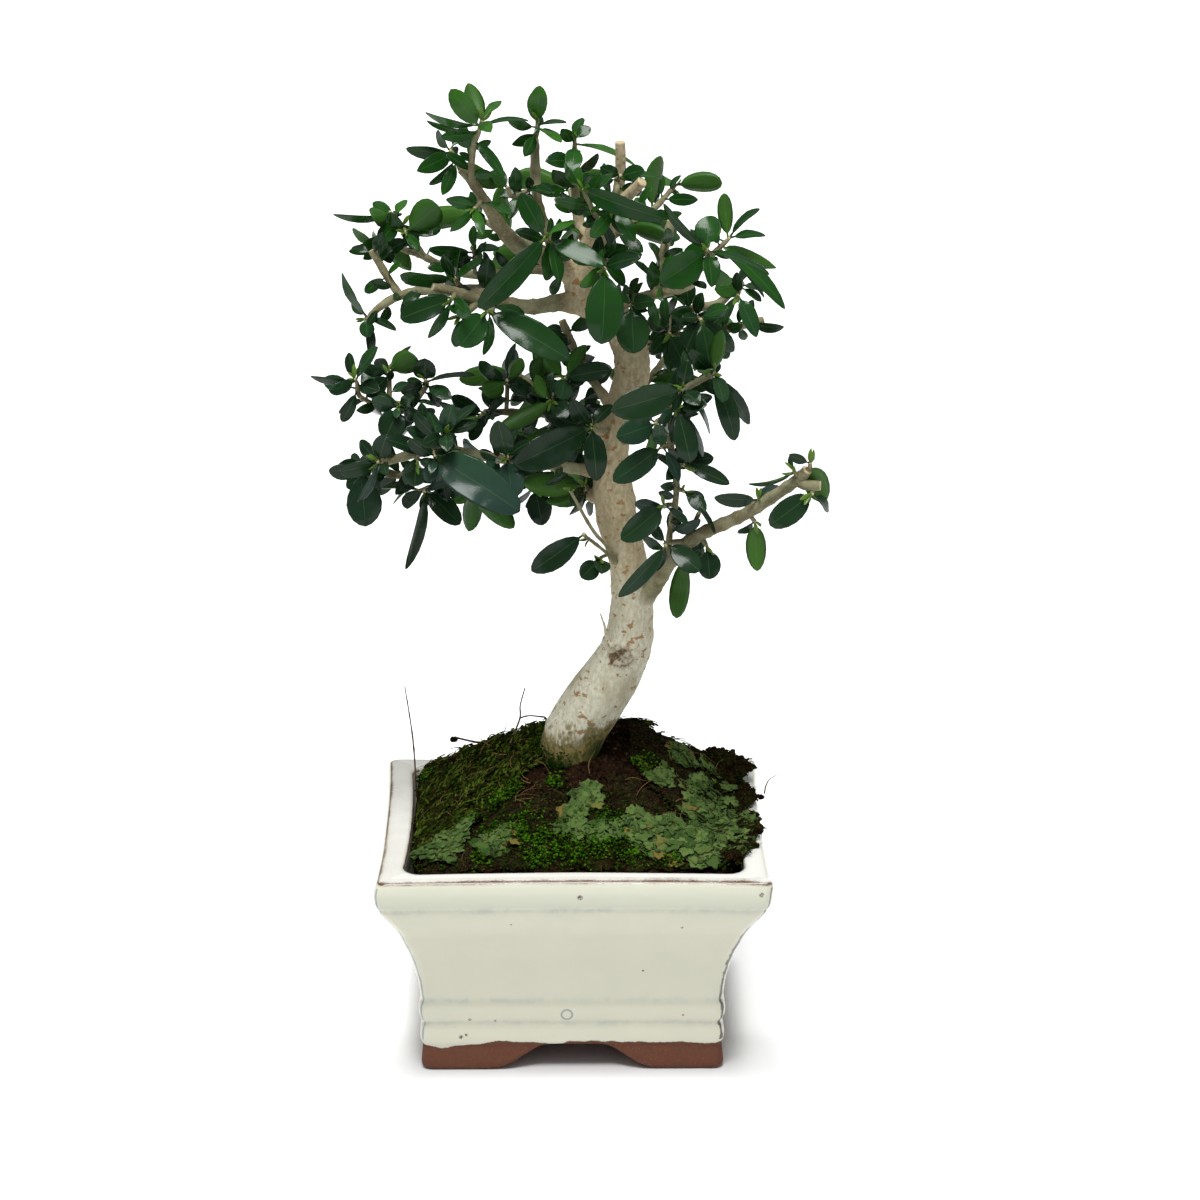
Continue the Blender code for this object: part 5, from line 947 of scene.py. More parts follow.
        ([(10, -2, 331, 1.4), (7, -9, 339, 1.1), (4, -12, 346, 0.9)], [(1.0, 34, -28, 339, 8, -25),
          (0.7, 15, -6, 351, 5, 45), (0.6, -6, -15, 343, 5, 30), (1.0, 2, -6, 353, 5, 40)]),
        ([(17, 2, 346, 1.0), (18, -2, 349, 0.8)], [(0.7, 27, -7, 352, 6, 20), (0.9, 12, -7, 353, 5, 10),
          (0.4, 33, 8, 346, 5, 50)]),
        ([(15, -8, 339, 1.0), (15, -14, 339, 0.8)], [(0.6, 33, -19, 336, 6, 35), (1.0, 23, -22, 329, 6, 15),
          (1.0, 7, -20, 330, 6, 20)]),
    ]),
    ("crown_right", "trunk", [
        ([(9, 8, 298, 4.9), (18, 0, 300, 2.6), (31, -12, 306, 2.2), (43, -22, 312, 1.9), (47, -26, 320, 1.7),
          (50, -28, 324, 1.5)], []),
        ([(30, -11, 307, 1.9), (33, -8, 317, 1.9), (37, -4, 332, 1.9)], []),
        ([(50, -31, 326, 1.4), (49, -34, 329, 0.9)], [(0.7, 32, -41, 318, 13, 20),
          (1.0, 33, -32, 345, 5, 50), (0.5, 51, -42, 317, 7, 20), (0.6, 72, -39, 321, 5, 50),
          (1.0, 51, -28, 340, 10, 15)]),
        ([(53, -22, 325, 1.3), (56, -22, 328, 1.0), (58, -22, 330, 0.8)], [(0.9, 56, -18, 346, 6, 175),
          (1.0, 69, -16, 340, 5, 50), (1.0, 71, -26, 332, 5, 45), (0.4, 79, -28, 305, 7, 30),
          (0.2, 71, -18, 306, 5, 55), (0.4, 76, -12, 316, 6, 180), (0.7, 46, -14, 333, 7, 20)]),
    ]),
    ("crown_right_rear", "trunk", [
        ([(22, 12, 281, 4.2), (32, 22, 286, 2.3), (46, 32, 288, 1.9), (57, 38, 289, 1.7), (63, 40, 294, 1.6),
          (66, 41, 296, 1.6)], []),
        ([(66, 41, 296, 1.2), (65, 36, 295, 1.0), (64, 30, 294, 0.8)], [(1.0, 71, 24, 279, 7, 15),
          (0.2, 77, 32, 295, 5, 40), (0.2, 55, 28, 297, 8, 10), (0.1, 70, 48, 303, 5, 40)]),
    ]),
    ("crown_right_low", "trunk", [
        ([(24, 12, 279, 3.4), (36, 20, 280, 1.9), (55, 28, 280, 1.9), (74, 34, 283, 1.7)], []),
        ([(45, 28, 288, 1.2), (48, 16, 289, 0.9), (49, 10, 290, 0.8)], [(1.0, 53, 2, 270, 10, 5),
          (0.8, 42, 5, 277, 9, 10), (0.6, 38, 9, 293, 8, 15), (0.9, 59, 6, 296, 6, 35),
          (0.9, 47, 18, 267, 5, 170), (1.0, 62, 15, 276, 7, 20)]),
        ([(37, 20, 288, 1.1), (37, 12, 286, 0.9), (37, 8, 285, 0.8)], [(1.0, 37, 2, 272, 6, 10),
          (0.9, 30, 5, 278, 6, 20), (1.0, 45, -3, 270, 8, 10), (0.8, 29, 5, 292, 6, 30),
          (0.8, 35, 16, 298, 5, 40)]),
    ]),
    ("trunk_front", "trunk", [
        ([(12, -1, 316, 1.4), (11, -12, 317, 1.1), (12, -17, 317, 0.9)], [(1.0, 11, -27, 291, 15, 10),
          (0.9, 25, -22, 323, 7, 25), (0.6, 2, -20, 323, 5, 50), (0.7, 20, -9, 309, 6, 30),
          (0.5, 10, -3, 326, 6, 40)]),
    ]),
    ("trunk_high", "trunk", [
        ([(21, -2, 299, 1.1), (22, -8, 301, 0.8)], [(1.0, 23, -16, 284, 13, 0), (1.0, 33, -14, 304, 6, 30),
          (0.9, 15, -11, 309, 5, 40), (1.0, 28, -4, 309, 6, 40)]),
    ]),
    ("centre_branch", "trunk", [
        ([(17, 8, 252, 3.8), (11, 14, 260, 2.1), (3, 18, 271, 1.9), (-4, 20, 287, 1.7)], []),
        ([(0, 10, 269, 1.2), (-3, 2, 269, 0.9)], [(1.0, 15, -6, 275, 8, 20), (1.0, -5, -6, 262, 8, 10),
          (1.0, -10, 2, 280, 8, 150), (0.9, 5, 7, 281, 6, 160), (1.0, -15, -4, 266, 6, 30)]),
    ]),
    ("trunk_left", "trunk", [
        ([(10, -3, 250, 1.2), (7, -12, 254, 0.9)], [(1.0, -22, -24, 243, 14, 15), (1.0, 9, -16, 234, 9, 10),
          (0.9, 0, -15, 266, 8, 10), (0.8, -11, -2, 257, 7, 30), (1.0, 15, -6, 261, 6, 30)]),
    ]),
    ("low_left_shoot", "trunk", [
        ([(7, 12, 220, 1.0), (5, 8, 223, 0.9), (4, 6, 225, 0.8)], [(1.0, -19, 0, 228, 10, 180),
          (0.7, -8, 16, 216, 7, 150), (0.5, -1, 8, 212, 5, 60)]),
    ]),
    ("twig_shoot", "trunk", [
        ([(17, 2, 195, 1.6), (13, -6, 204, 0.8), (7, -10, 213, 0.8), (-1, -16, 230, 0.6)], []),
        ([(17, 4, 193, 1.4), (13, -2, 200, 0.8), (6, -8, 208, 0.8)], []),
        ([(5, -9, 209, 0.8), (4, -11, 211, 0.8)], [(0.9, -16, -17, 198, 10, 10)]),
        ([(11, -1, 198, 0.8), (10, -4, 198, 0.8)], [(1.0, 3, -8, 192, 8, 10), (0.6, 11, -11, 192, 7, 20)]),
    ]),
]

# Branches on the far side, which the photograph doesn't show: a route, how many pairs of leaves
# it has, and their length and width. Each pair stands at a right angle to the one before.
REAR_BRANCHES = [
    ("rear_crown", "trunk",
     [(8, 8, 299, 3.4), (8, 22, 307, 1.9), (3, 38, 318, 1.6), (-1, 50, 331, 0.9)], 3, 23.0, 8.5),
    ("rear_crown_left", "trunk",
     [(4, 8, 305, 3.4), (-9, 27, 312, 1.9), (-25, 38, 316, 1.6), (-38, 45, 323, 0.9)], 3, 24.0, 9.0),
    ("rear_crown_right", "trunk",
     [(9, 9, 319, 3.0), (20, 26, 322, 1.8), (31, 38, 326, 1.5), (40, 49, 333, 0.9)], 3, 22.0, 8.5),
    ("rear_mid_right", "trunk",
     [(19, 9, 256, 3.0), (28, 25, 260, 1.8), (36, 39, 266, 1.5), (42, 50, 275, 0.9)], 3, 24.0, 9.0),
    ("rear_mid_left", "trunk",
     [(16, 8, 244, 3.0), (6, 25, 246, 1.8), (-9, 38, 252, 1.5), (-24, 48, 259, 0.9)], 3, 24.0, 9.0),
    ("rear_low", "trunk",
     [(17, 7, 212, 3.0), (14, 24, 218, 1.8), (4, 37, 226, 1.5), (-8, 46, 232, 0.9)], 3, 24.0, 9.0),
]


def along(route, t):
    """The point at a share t of a route's length."""
    points = [np.array(p[:3], float) for p in route]
    spans = [np.linalg.norm(b - a) for a, b in zip(points, points[1:])]
    left = t * sum(spans)
    for a, b, span in zip(points, points[1:], spans):
        if left <= span + 1e-9:
            return a + (b - a) * (left / span)
        left -= span
    return points[-1]


def foot_on(hosts, point):
    """The nearest point to another on the middle lines of some limbs."""
    point = np.array(point[:3], float)
    best = None
    for route in hosts:
        for p, q in zip(route, route[1:]):
            a, b = np.array(p[:3], float), np.array(q[:3], float)
            share = np.clip(np.dot(point - a, b - a) / np.dot(b - a, b - a), 0.0, 1.0)
            spot = a + (b - a) * share
            away = np.linalg.norm(point - spot)
            if best is None or away < best[0]:
                best = (away, spot)
    return best


def rooted(route, hosts):
    """Start a limb on the middle line of the limb that it grows from."""
    away, spot = foot_on(hosts, route[0])
    start = (*[float(c) for c in spot], route[0][3])
    return [start] + list(route[1:] if away < 1.5 else route)


def blade_frame(root, tip, roll):
    """Direction, sideways and face vectors of a blade, rolled from facing the camera."""
    course = unit(tip - root)
    face = VIEW - course * np.dot(VIEW, course)
    if np.linalg.norm(face) < 0.2:
        face = np.array((0.0, 0.0, 1.0)) - course * course[2]
    face = unit(face)
    side = np.cross(course, face)
    turn = radians(roll)
    return course, side * cos(turn) + face * sin(turn), face * cos(turn) - side * sin(turn)


def blade(leaf, spare=0.0, start=-ROOT_DEPTH):
    """A leaf as a thin arched slab: a pointed root, one or two wide places and a pointed tip."""
    root, tip, width, roll = leaf
    course, side, face = blade_frame(root, tip, roll)
    length = np.linalg.norm(tip - root)
    upper = [root + course * start]
    stations = BROAD_STATIONS if width > NARROW_WIDTH else NARROW_STATIONS
    for t, half in stations:
        middle = root + course * length * t + face * BLADE_ARCH * length * 4 * t * (1 - t)
        half = half * width + spare
        upper += [middle - side * half, middle + side * half]
    upper.append(tip + course * spare)
    rise = face * (BLADE_THICKNESS / 2 + spare)
    vertices = [p + rise for p in upper] + [p - rise for p in upper]
    below = len(upper)
    last = below - 1
    flat = [(0, 1, 2), (last - 2, last, last - 1)]
    for left in range(1, last - 2, 2):
        flat += [(left, left + 2, left + 3), (left, left + 3, left + 1)]
    faces = flat + [tuple(k + below for k in reversed(corners)) for corners in flat]
    border = list(range(0, last, 2)) + [last] + list(range(last - 2, 0, -2))
    for a, b in zip(border, border[1:] + border[:1]):
        faces += [(a, b, b + below), (a, b + below, a + below)]
    return vertices, faces


def shape_tree(points, faces):
    """A closed shape made ready to be tested against others."""
    return BVHTree.FromPolygons([Vector(point) for point in points], faces)


class Space:
    """What is already in place, so that a new blade can be kept clear of it."""

    def __init__(self):
        """Nothing is in place at first."""
        self.things = []

    def add(self, vertices, faces, owner, kind):
        """Note a closed shape, whose it is, and whether it is a limb or a leaf."""
        points = np.array(vertices, float)
        tree = shape_tree(points, faces)
        self.things.append((points.min(axis=0), points.max(axis=0), tree, owner, kind))

    def hits(self, leaf, owner, own_leaves):
        """Whether a leaf, a little enlarged, meets anything; near its root only others' leaves count."""
        root, tip = leaf[:2]
        clear_of_root = min(ROOT_PART_LENGTH, ROOT_PART * np.linalg.norm(tip - root))
        outer, faces = blade(leaf, CLEAR, clear_of_root)
        whole, faces = blade(leaf, CLEAR, 0.0)
        points = np.array(whole, float)
        low, high = points.min(axis=0), points.max(axis=0)
        outer_tree, whole_tree = shape_tree(outer, faces), shape_tree(whole, faces)
        for other_low, other_high, other, other_owner, kind in self.things:
            if other_owner == owner and not (own_leaves and kind == "leaf"):
                continue
            if (low > other_high).any() or (high < other_low).any():
                continue
            tree = whole_tree if other_owner != owner and kind == "leaf" else outer_tree
            if tree.overlap(other):
                return True
        return False


def swings():
    """Small turns of a blade to try, the mildest first: along the view, across it and in roll."""
    tries = [(push, swing, turn) for push in (0, 3, -3, 6, -6, 9, -9, 13, -13)
             for swing in (0, 4, -4, 8, -8) for turn in (0, 25, -25)]
    return sorted(tries, key=lambda t: abs(t[0]) + 1.6 * abs(t[1]) + 0.12 * abs(t[2]))


def settle(leaf, owner, space, tries=None, own_leaves_count=(True, False)):
    """Bend a leaf clear of what is in place, or give None where there is no room for it."""
    root, tip, width, roll = leaf
    length = np.linalg.norm(tip - root)
    across = np.cross(unit(tip - root), VIEW)
    for own_leaves in own_leaves_count:
        for push, swing, turn in tries or swings():
            moved = tip + VIEW * push + across * swing
            moved = root + (moved - root) * (length / np.linalg.norm(moved - root))
            new = (root, moved, width, roll + turn)
            if not space.hits(new, owner, own_leaves):
                space.add(*blade(new), owner, "leaf")
                return new
    return None


def pair_axes(course, up):
    """Two directions square to a limb's course, in which its pairs of leaves stand by turns."""
    level = unit(np.cross(course, up))
    return level, np.cross(level, course)


def rear_leaves(route, pairs, length, width, draw):
    """Opposite pairs along a branch, each turned a right angle from the last, and a pair on top."""
    leaves = []
    for k in range(pairs):
        t = 0.4 + 0.6 * k / (pairs - 1)
        root = along(route, t)
        course = unit(along(route, min(1.0, t + 0.05)) - along(route, min(1.0, t + 0.05) - 0.1))
        axis = pair_axes(course, (0.0, 0.0, 1.0))[k % 2]
        for side in (-1, 1):
            lean = 0.35 + 0.5 * k / pairs + draw.uniform(-0.12, 0.12)
            heading = unit(axis * side + course * lean + np.array((0.0, 0.0, -0.25)))
            size = length * (1.0 - 0.05 * k) * draw.uniform(0.88, 1.08)
            leaves.append((root, root + heading * size, width * draw.uniform(0.9, 1.1),
                           draw.uniform(130.0, 200.0)))
    return leaves


def limb_block(route, resolution):
    """A plain straight-sided limb, only to keep leaves clear of it: a curve with a round bevel."""
    curve = bpy.data.curves.new("limb_block", "CURVE")
    curve.dimensions = "3D"
    curve.bevel_depth = MM
    curve.bevel_resolution = resolution
    curve.use_fill_caps = True
    spline = curve.splines.new("POLY")
    spline.points.add(len(route) - 1)
    for point, (x, y, z, radius) in zip(spline.points, route):
        point.co = (x * MM, y * MM, z * MM, 1.0)
        point.radius = radius
    block = bpy.data.objects.new("limb_block", curve)
    bpy.context.scene.collection.objects.link(block)
    bpy.context.view_layer.update()
    graph = bpy.context.evaluated_depsgraph_get()
    mesh = bpy.data.meshes.new_from_object(block.evaluated_get(graph))
    vertices = [tuple(v.co / MM) for v in mesh.vertices]
    faces = [tuple(p.vertices) for p in mesh.polygons]
    bpy.data.objects.remove(block)
    bpy.data.meshes.remove(mesh)
    return vertices, faces


BARE_BRANCHES = ("arm_right", "twig_shoot")
# How finely a limb's block is rounded: the trunk most, and shoots under this radius least.
TRUNK_RESOLUTION, THIN_SHOOT = 4, 1.4


def lay_out_tree():
    """Every branch's rooted limbs and settled leaves, the limbs all in place before any leaf."""
    limbs = {"trunk": [TRUNK] + CUT_LIMBS}
    branches = list(BRANCHES)
    draw = np.random.default_rng(LEAF_SEED)
    for name, host, route, pairs, length, width in REAR_BRANCHES:
        branches.append((name, host, [(route, rear_leaves(route, pairs, length, width, draw))]))
    wanted = {}
    for name, host, shoots in branches:
        own, leaves = [], []
        for route, marks in shoots:
            own.append(rooted(route, own if own else limbs[host]))
            for mark in marks:
                if len(mark) == 6:
                    t, x, y, z, width, roll = mark
                    mark = (along(route, t), np.array((x, y, z), float), width, roll)
                leaves.append(mark)
        limbs[name] = own
        wanted[name] = leaves
    space = Space()
    for name, routes in limbs.items():
        for k, route in enumerate(routes):
            resolution = 1 if k == 0 or max(mark[3] for mark in route) > THIN_SHOOT else 0
            if name == "trunk" and k == 0:
                resolution = TRUNK_RESOLUTION
            space.add(*limb_block(route, resolution), name, "limb")
    placed = {}
    for name, host, shoots in branches:
        settled = [settle(leaf, name, space) for leaf in wanted[name]]
        placed[name] = [leaf for leaf in settled if leaf is not None]
    little = swings()[:24]
    for name, host, shoots in branches:
        for route in limbs[name] if name not in BARE_BRANCHES else []:
            for leaf in small_leaves(route, draw):
                if hides_trunk(leaf):
                    continue
                leaf = settle(leaf, name, space, little, (True,))
                if leaf is not None:
                    placed[name].append(leaf)
    return limbs, placed


# Lesser leaves: where the first pair stands, the step to the next, their least and greatest length,
# and their breadth as a share of it; they are larger low on the left, and grow on thin limbs only.
JOINT_START, JOINT_STEP = 4.0, 5.0
SMALL_LENGTH, SMALL_BREADTH, SHARE_KEPT = (7, 15), (0.36, 0.5), 0.8
LOW_LEFT_GROWTH, LOW_LEFT_TOP = 1.2, 250
THICKEST_LEAFY_LIMB = 3.9


def small_leaves(route, draw):
    """Lesser leaves between the large ones: a pair at each joint of a thin limb, each pair turned a
    right angle from the last, and some of them fallen."""
    length = route_length(route)
    leaves = []
    if max(mark[3] for mark in route[1:]) > THICKEST_LEAFY_LIMB or length < JOINT_STEP:
        return leaves
    for k, at in enumerate(np.arange(JOINT_START, length, JOINT_STEP)):
        t = at / length
        root = along(route, t)
        course = unit(along(route, min(1.0, t + 0.05)) - along(route, max(0.0, t - 0.05)))
        axis = pair_axes(course, (0.13, -0.1, 1.0))[k % 2]
        for side in (-1, 1):
            kept, size = draw.uniform(0, 1), draw.uniform(*SMALL_LENGTH)
            breadth, roll = draw.uniform(*SMALL_BREADTH), draw.uniform(-55, 55)
            size *= LOW_LEFT_GROWTH if root[0] < 0 and root[2] < LOW_LEFT_TOP else 1.0
            heading = unit(axis * side + course * draw.uniform(0.2, 0.9) + draw.normal(0, 0.25, 3))
            if kept < SHARE_KEPT:
                leaves.append((root, root + heading * size, size * breadth, roll))
    return leaves


CLEAR_BESIDE_TRUNK, FRONT_OF_TRUNK_Y, BARE_TRUNK_TOP = 13, 4, 292


def hides_trunk(leaf):
    """Whether a leaf would hang in front of the bare parts of the trunk."""
    middle = (leaf[0] + leaf[1]) / 2
    x = np.interp(middle[2], [mark[2] for mark in TRUNK], [mark[0] for mark in TRUNK])
    in_front = abs(middle[0] - x) < CLEAR_BESIDE_TRUNK and middle[1] < FRONT_OF_TRUNK_Y
    return in_front and middle[2] < BARE_TRUNK_TOP


THICKEST_BUDDING_TIP, SHARE_WITHOUT_BUDS, BUDS = 1.3, 0.35, 3


def bud_leaves(routes, draw):
    """Tiny leaves still folded at the end of each leafy shoot, in a tight bunch."""
    leaves = []
    for route in routes:
        if route[-1][3] > THICKEST_BUDDING_TIP or draw.uniform(0, 1) < SHARE_WITHOUT_BUDS:
            continue
        end = np.array(route[-1][:3], float)
        course = unit(end - np.array(route[-2][:3], float))
        for _ in range(BUDS):
            heading = unit(course + draw.normal(0, 0.5, 3))
            size = draw.uniform(2.5, 6.0)
            leaves.append((end - course * 0.6, end + heading * size, size * 0.32, draw.uniform(-60, 60)))
    return leaves


def leaf_skins(leaves, grown, draw):
    """Leathery blades, all at once. Each is rings of eight points from a thin stalk to a fine tip:
    the breadth is a power of 4s(1 - s), the middle line arches, the sides rise from the midrib in
    a shallow V and wave a little, and the midrib stands out underneath."""
    root = np.array([leaf[0] for leaf in leaves])
    tip = np.array([leaf[1] for leaf in leaves])
    width = np.array([leaf[2] for leaf in leaves], float)
    frames = np.array([blade_frame(*leaf[:2], leaf[3]) for leaf in leaves])
    course, side, face = frames[:, 0, None, None], frames[:, 1, None, None], frames[:, 2, None, None]
    length = np.linalg.norm(tip - root, axis=1)[:, None, None]
    count, stations = len(leaves), 9
    s = (1 - np.cos(pi * np.linspace(0.06, 0.985, stations))) / 2
    skew = s[None, :, None] ** draw.uniform(0.85, 1.2, count)[:, None, None]
    stalk = np.clip(2.2 / length, 0.05, 0.16)
    t = np.concatenate([0 * stalk, stalk * 0.55, stalk + (1 - stalk) * s[None, :, None]], axis=1)
    power = np.where(width > NARROW_WIDTH, draw.uniform(0.44, 0.60, count), draw.uniform(0.5, 0.72, count))
    swell = (4 * skew * (1 - skew)) ** power[:, None, None]
    half = swell * width[:, None, None] / 2
    half = np.concatenate([0.45 + 0 * stalk, 0.42 + 0 * stalk, np.maximum(half, 0.25)], axis=1)
    u = np.array([-1.0, -0.88, 0.0, 0.88, 1.0, 0.55, 0.0, -0.55])[None, None]
    above = np.array([0, 1, 1, 1, 0, -1, -1, -1.0])[None, None]
    crease = draw.uniform(0.22, 0.55, count)[:, None, None]
    wave = draw.uniform(0.0, 0.05, count)[:, None, None]
    phase = draw.uniform(0, 2 * pi, count)[:, None, None]
    droop = draw.uniform(-0.05, 0.03, count)[:, None, None]
    tall = np.abs(u) ** 1.4 * half * crease * (1 - 0.4 * t)
    tall = tall + np.sign(u) * np.abs(u) ** 2 * half * wave * 3 * np.sin(9 * t + phase)
    thick = 0.17 + 0.12 * np.exp(-t * 4) + 0.16 * (u == 0) * (above < 0) * (1 - t)
    thick = np.where((u == 0) & (above > 0), thick - 0.07, thick)
    rise = BLADE_ARCH * length * 4 * t * (1 - t) + droop * length * t ** 3
    points = root[:, None, None] + course * (length * t)[..., None] + side * (half * u)[..., None]
    points = points + face * (rise + tall - 0.25 * half * crease + above * thick)[..., None]
    first = root[:, None] - course[:, :, 0] * ROOT_DEPTH
    end = root[:, None] + course[:, :, 0] * length + face[:, :, 0] * droop * length
    rings = points.shape[1]
    per = rings * 8 + 2
    flat = np.concatenate([first, points.reshape(count, -1, 3), end], axis=1)
    one = ringed_faces(rings, 8)
    faces = np.where(one >= 0, one + np.arange(count)[:, None, None] * per, -1).reshape(-1, 4)
    under = np.concatenate([[0.5] * 8, np.tile([0, 0, 0, 0, 1, 1, 1, 1], rings - 1), [0.5] * 8])
    rib = np.concatenate([[[0]], np.tile(np.abs(u[0, 0]), rings)[None], [[0]]], axis=1)
    rib = rib * width[:, None] / 2
    far = np.concatenate([0 * t[:, :1, 0], np.repeat(t[..., 0], 8, axis=1), 0 * t[:, :1, 0] + 1], axis=1)
    tone = np.repeat(np.where(np.arange(count) < grown, draw.uniform(0, 1, count), 1.5), per)
    marks = {"rib": rib.ravel(), "along": far.ravel(), "tone": tone}
    return flat.reshape(-1, 3), faces, marks, np.tile(under, count)


def leaf_surface():
    """Glossy dark green above: greener high in the crown as younger leaves and painted light, darker low in
    it as painted shade, with a painted bluish sheen on some low leaves; brighter green underneath, partly
    painted backlight; a faint pale midrib; the youngest leaves and buds are yellow-green."""
    material, tree, shader = new_finish("olive_leaf", 0.2, 0.22)
    tone, patch = marked(tree, "tone"), speckle(tree, 6.0, 3.0)
    grain = speckle(tree, 0.5, 2.0)
    # Painted light and shade by height: leaves high in the crown are greener and lighter, partly because they
    # are younger, and low ones are darker.
    high = between(tree, plus(tree, coordinate(tree, 2), tone, 0.05), 0.27, 0.37)
    low_leaf_painted_shade_and_sheen = tint(tree, tone, (0.007, 0.022, 0.008), (0.016, 0.044, 0.015))
    # Painted reflection: a bluish sheen painted into the colour of some low leaves.
    low_leaf_painted_shade_and_sheen = tint(tree, between(tree, tone, 0.6, 0.9, 0.0, 0.8), low_leaf_painted_shade_and_sheen, (0.018, 0.040, 0.034))
    high_leaf_young_and_painted_lit = tint(tree, tone, (0.005, 0.034, 0.003), (0.016, 0.085, 0.007))
    high_leaf_young_and_painted_lit = tint(tree, between(tree, tone, 0.85, 0.95), high_leaf_young_and_painted_lit, (0.030, 0.115, 0.010))
    top = tint(tree, high, low_leaf_painted_shade_and_sheen, high_leaf_young_and_painted_lit)
    top = tint(tree, between(tree, patch, 0.45, 0.75, 0.0, 0.5), top, (0.016, 0.036, 0.024))
    # Undersides are brighter green, partly their own colour and partly painted backlight.
    underside_with_painted_backlight = tint(tree, tone, (0.022, 0.085, 0.008), (0.045, 0.125, 0.016))
    green = tint(tree, marked(tree, "under"), top, underside_with_painted_backlight)
    rib = between(tree, marked(tree, "rib"), 0.05, 0.3, 0.28, 0.0)
    green = tint(tree, rib, green, (0.08, 0.16, 0.045))
    stalk = between(tree, marked(tree, "along"), 0.03, 0.10, 1.0, 0.0)
    green = tint(tree, stalk, green, (0.10, 0.15, 0.03))
    young = between(tree, tone, 1.2, 1.6)
    green = tint(tree, young, green, (0.11, 0.20, 0.025))
    tree.links.new(green, shader.inputs["Base Color"])
    tree.links.new(between(tree, marked(tree, "under"), 0.3, 0.7, 0.17, 0.4), shader.inputs["Roughness"])
    puckers = sums(tree, "MULTIPLY", speckle(tree, 6.0, 0.0), 2.2)
    relief(tree, shader, plus(tree, puckers, grain, 0.15), 0.2)
    return material


def young_wood():
    """Grey-green young bark with fine pale dots, browner in patches, and pale where it was cut."""
    material, tree, shader = new_finish("young_bark", 0.7, 0.2)
    grain, patch = speckle(tree, 0.8, 4.0), speckle(tree, 7.0, 3.0)
    skin = tint(tree, between(tree, patch, 0.35, 0.65), (0.25, 0.24, 0.14), (0.16, 0.135, 0.07))
    skin = tint(tree, between(tree, grain, 0.55, 0.7, 0.0, 0.7), skin, (0.36, 0.33, 0.20))
    old = pale_bark(tree)[0]
    skin = tint(tree, between(tree, marked(tree, "from_root"), 8.0, 18.0), old, skin)
    cut = tint(tree, between(tree, marked(tree, "to_end"), 0.0, 0.2), (0.55, 0.45, 0.27), skin)
    tree.links.new(cut, shader.inputs["Base Color"])
    relief(tree, shader, grain, 0.3)
    return material


# Twigs grew a little thinner than the solids, which need their thickness to be bodies.
SLIMNESS, THICK_LIMB, BUD_SPACING = 0.88, 2.0, 7.5
FLARED_LIMB, BLUNT_LIMB = 1.9, 1.3
leaf_finish, wood_finish = leaf_surface(), young_wood()
limbs, placed = lay_out_tree()
for number, (name, leaves) in enumerate(placed.items()):
    draw = np.random.default_rng(100 + number)
    skins = []
    for k, route in enumerate(limbs[name]):
        length = route_length(route)
        mean = np.mean([mark[3] for mark in route])
        buds = np.arange(4.0, length, BUD_SPACING)
        swellings = [(at, 0.10 * mean) for at in buds + draw.uniform(-1, 1, len(buds))]
        around, spacing = (16, 1.1) if mean > THICK_LIMB else (10, 0.9)
        slim = [(x, y, z, radius * SLIMNESS) for x, y, z, radius in route]
        on_trunk = k == 0 and mean > FLARED_LIMB
        skin = limb_skin(slim, around, spacing, 0.035 * mean, swellings, mean > BLUNT_LIMB, on_trunk)
        skin[2][:, 1] += 0 if on_trunk else 20
        skins.append(skin)
    points, faces, marks = join_skins(skins)
    marks = {"to_end": marks[:, 0], "from_root": marks[:, 1]}
    wood = make_mesh(name + "_wood", points, faces, wood_finish, marks)
    grown = len(leaves)
    points, faces, marks, under = leaf_skins(leaves + bud_leaves(limbs[name], draw), grown, draw)
    foliage = make_mesh(name + "_leaves", points, faces, leaf_finish, marks, {"under": under})
    for piece in (wood, foliage):
        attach(piece, "root")
        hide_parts(name)


# The moss: cushions of short leafy shoots that root in the soil, laid on as pieces and grown
# together. On the left it is feathery and dark; in front it is bright round-leaved tufts.
# A mat's first and last sector of 36 round, first and last ring of 8, thickness, and overhang.
Mat = namedtuple("Mat", "name first last inner outer thickness hang")
MOSSES = [
    Mat("moss_left", 14, 22, 0, 6, 2.4, 0.0),
    Mat("moss_rear", 4, 14, 0, 5, 2.4, 0.0),
    Mat("moss_right", 32, 40, 0, 2, 2.6, 9.0),
    Mat("moss_front", 26, 29, 0, 4, 2.2, 0.0),
]


def outermost(mat):
    """The ring where a mat begins: its first one, or one outside it where it hangs over the lip."""
    return mat.inner - (1 if mat.hang else 0)


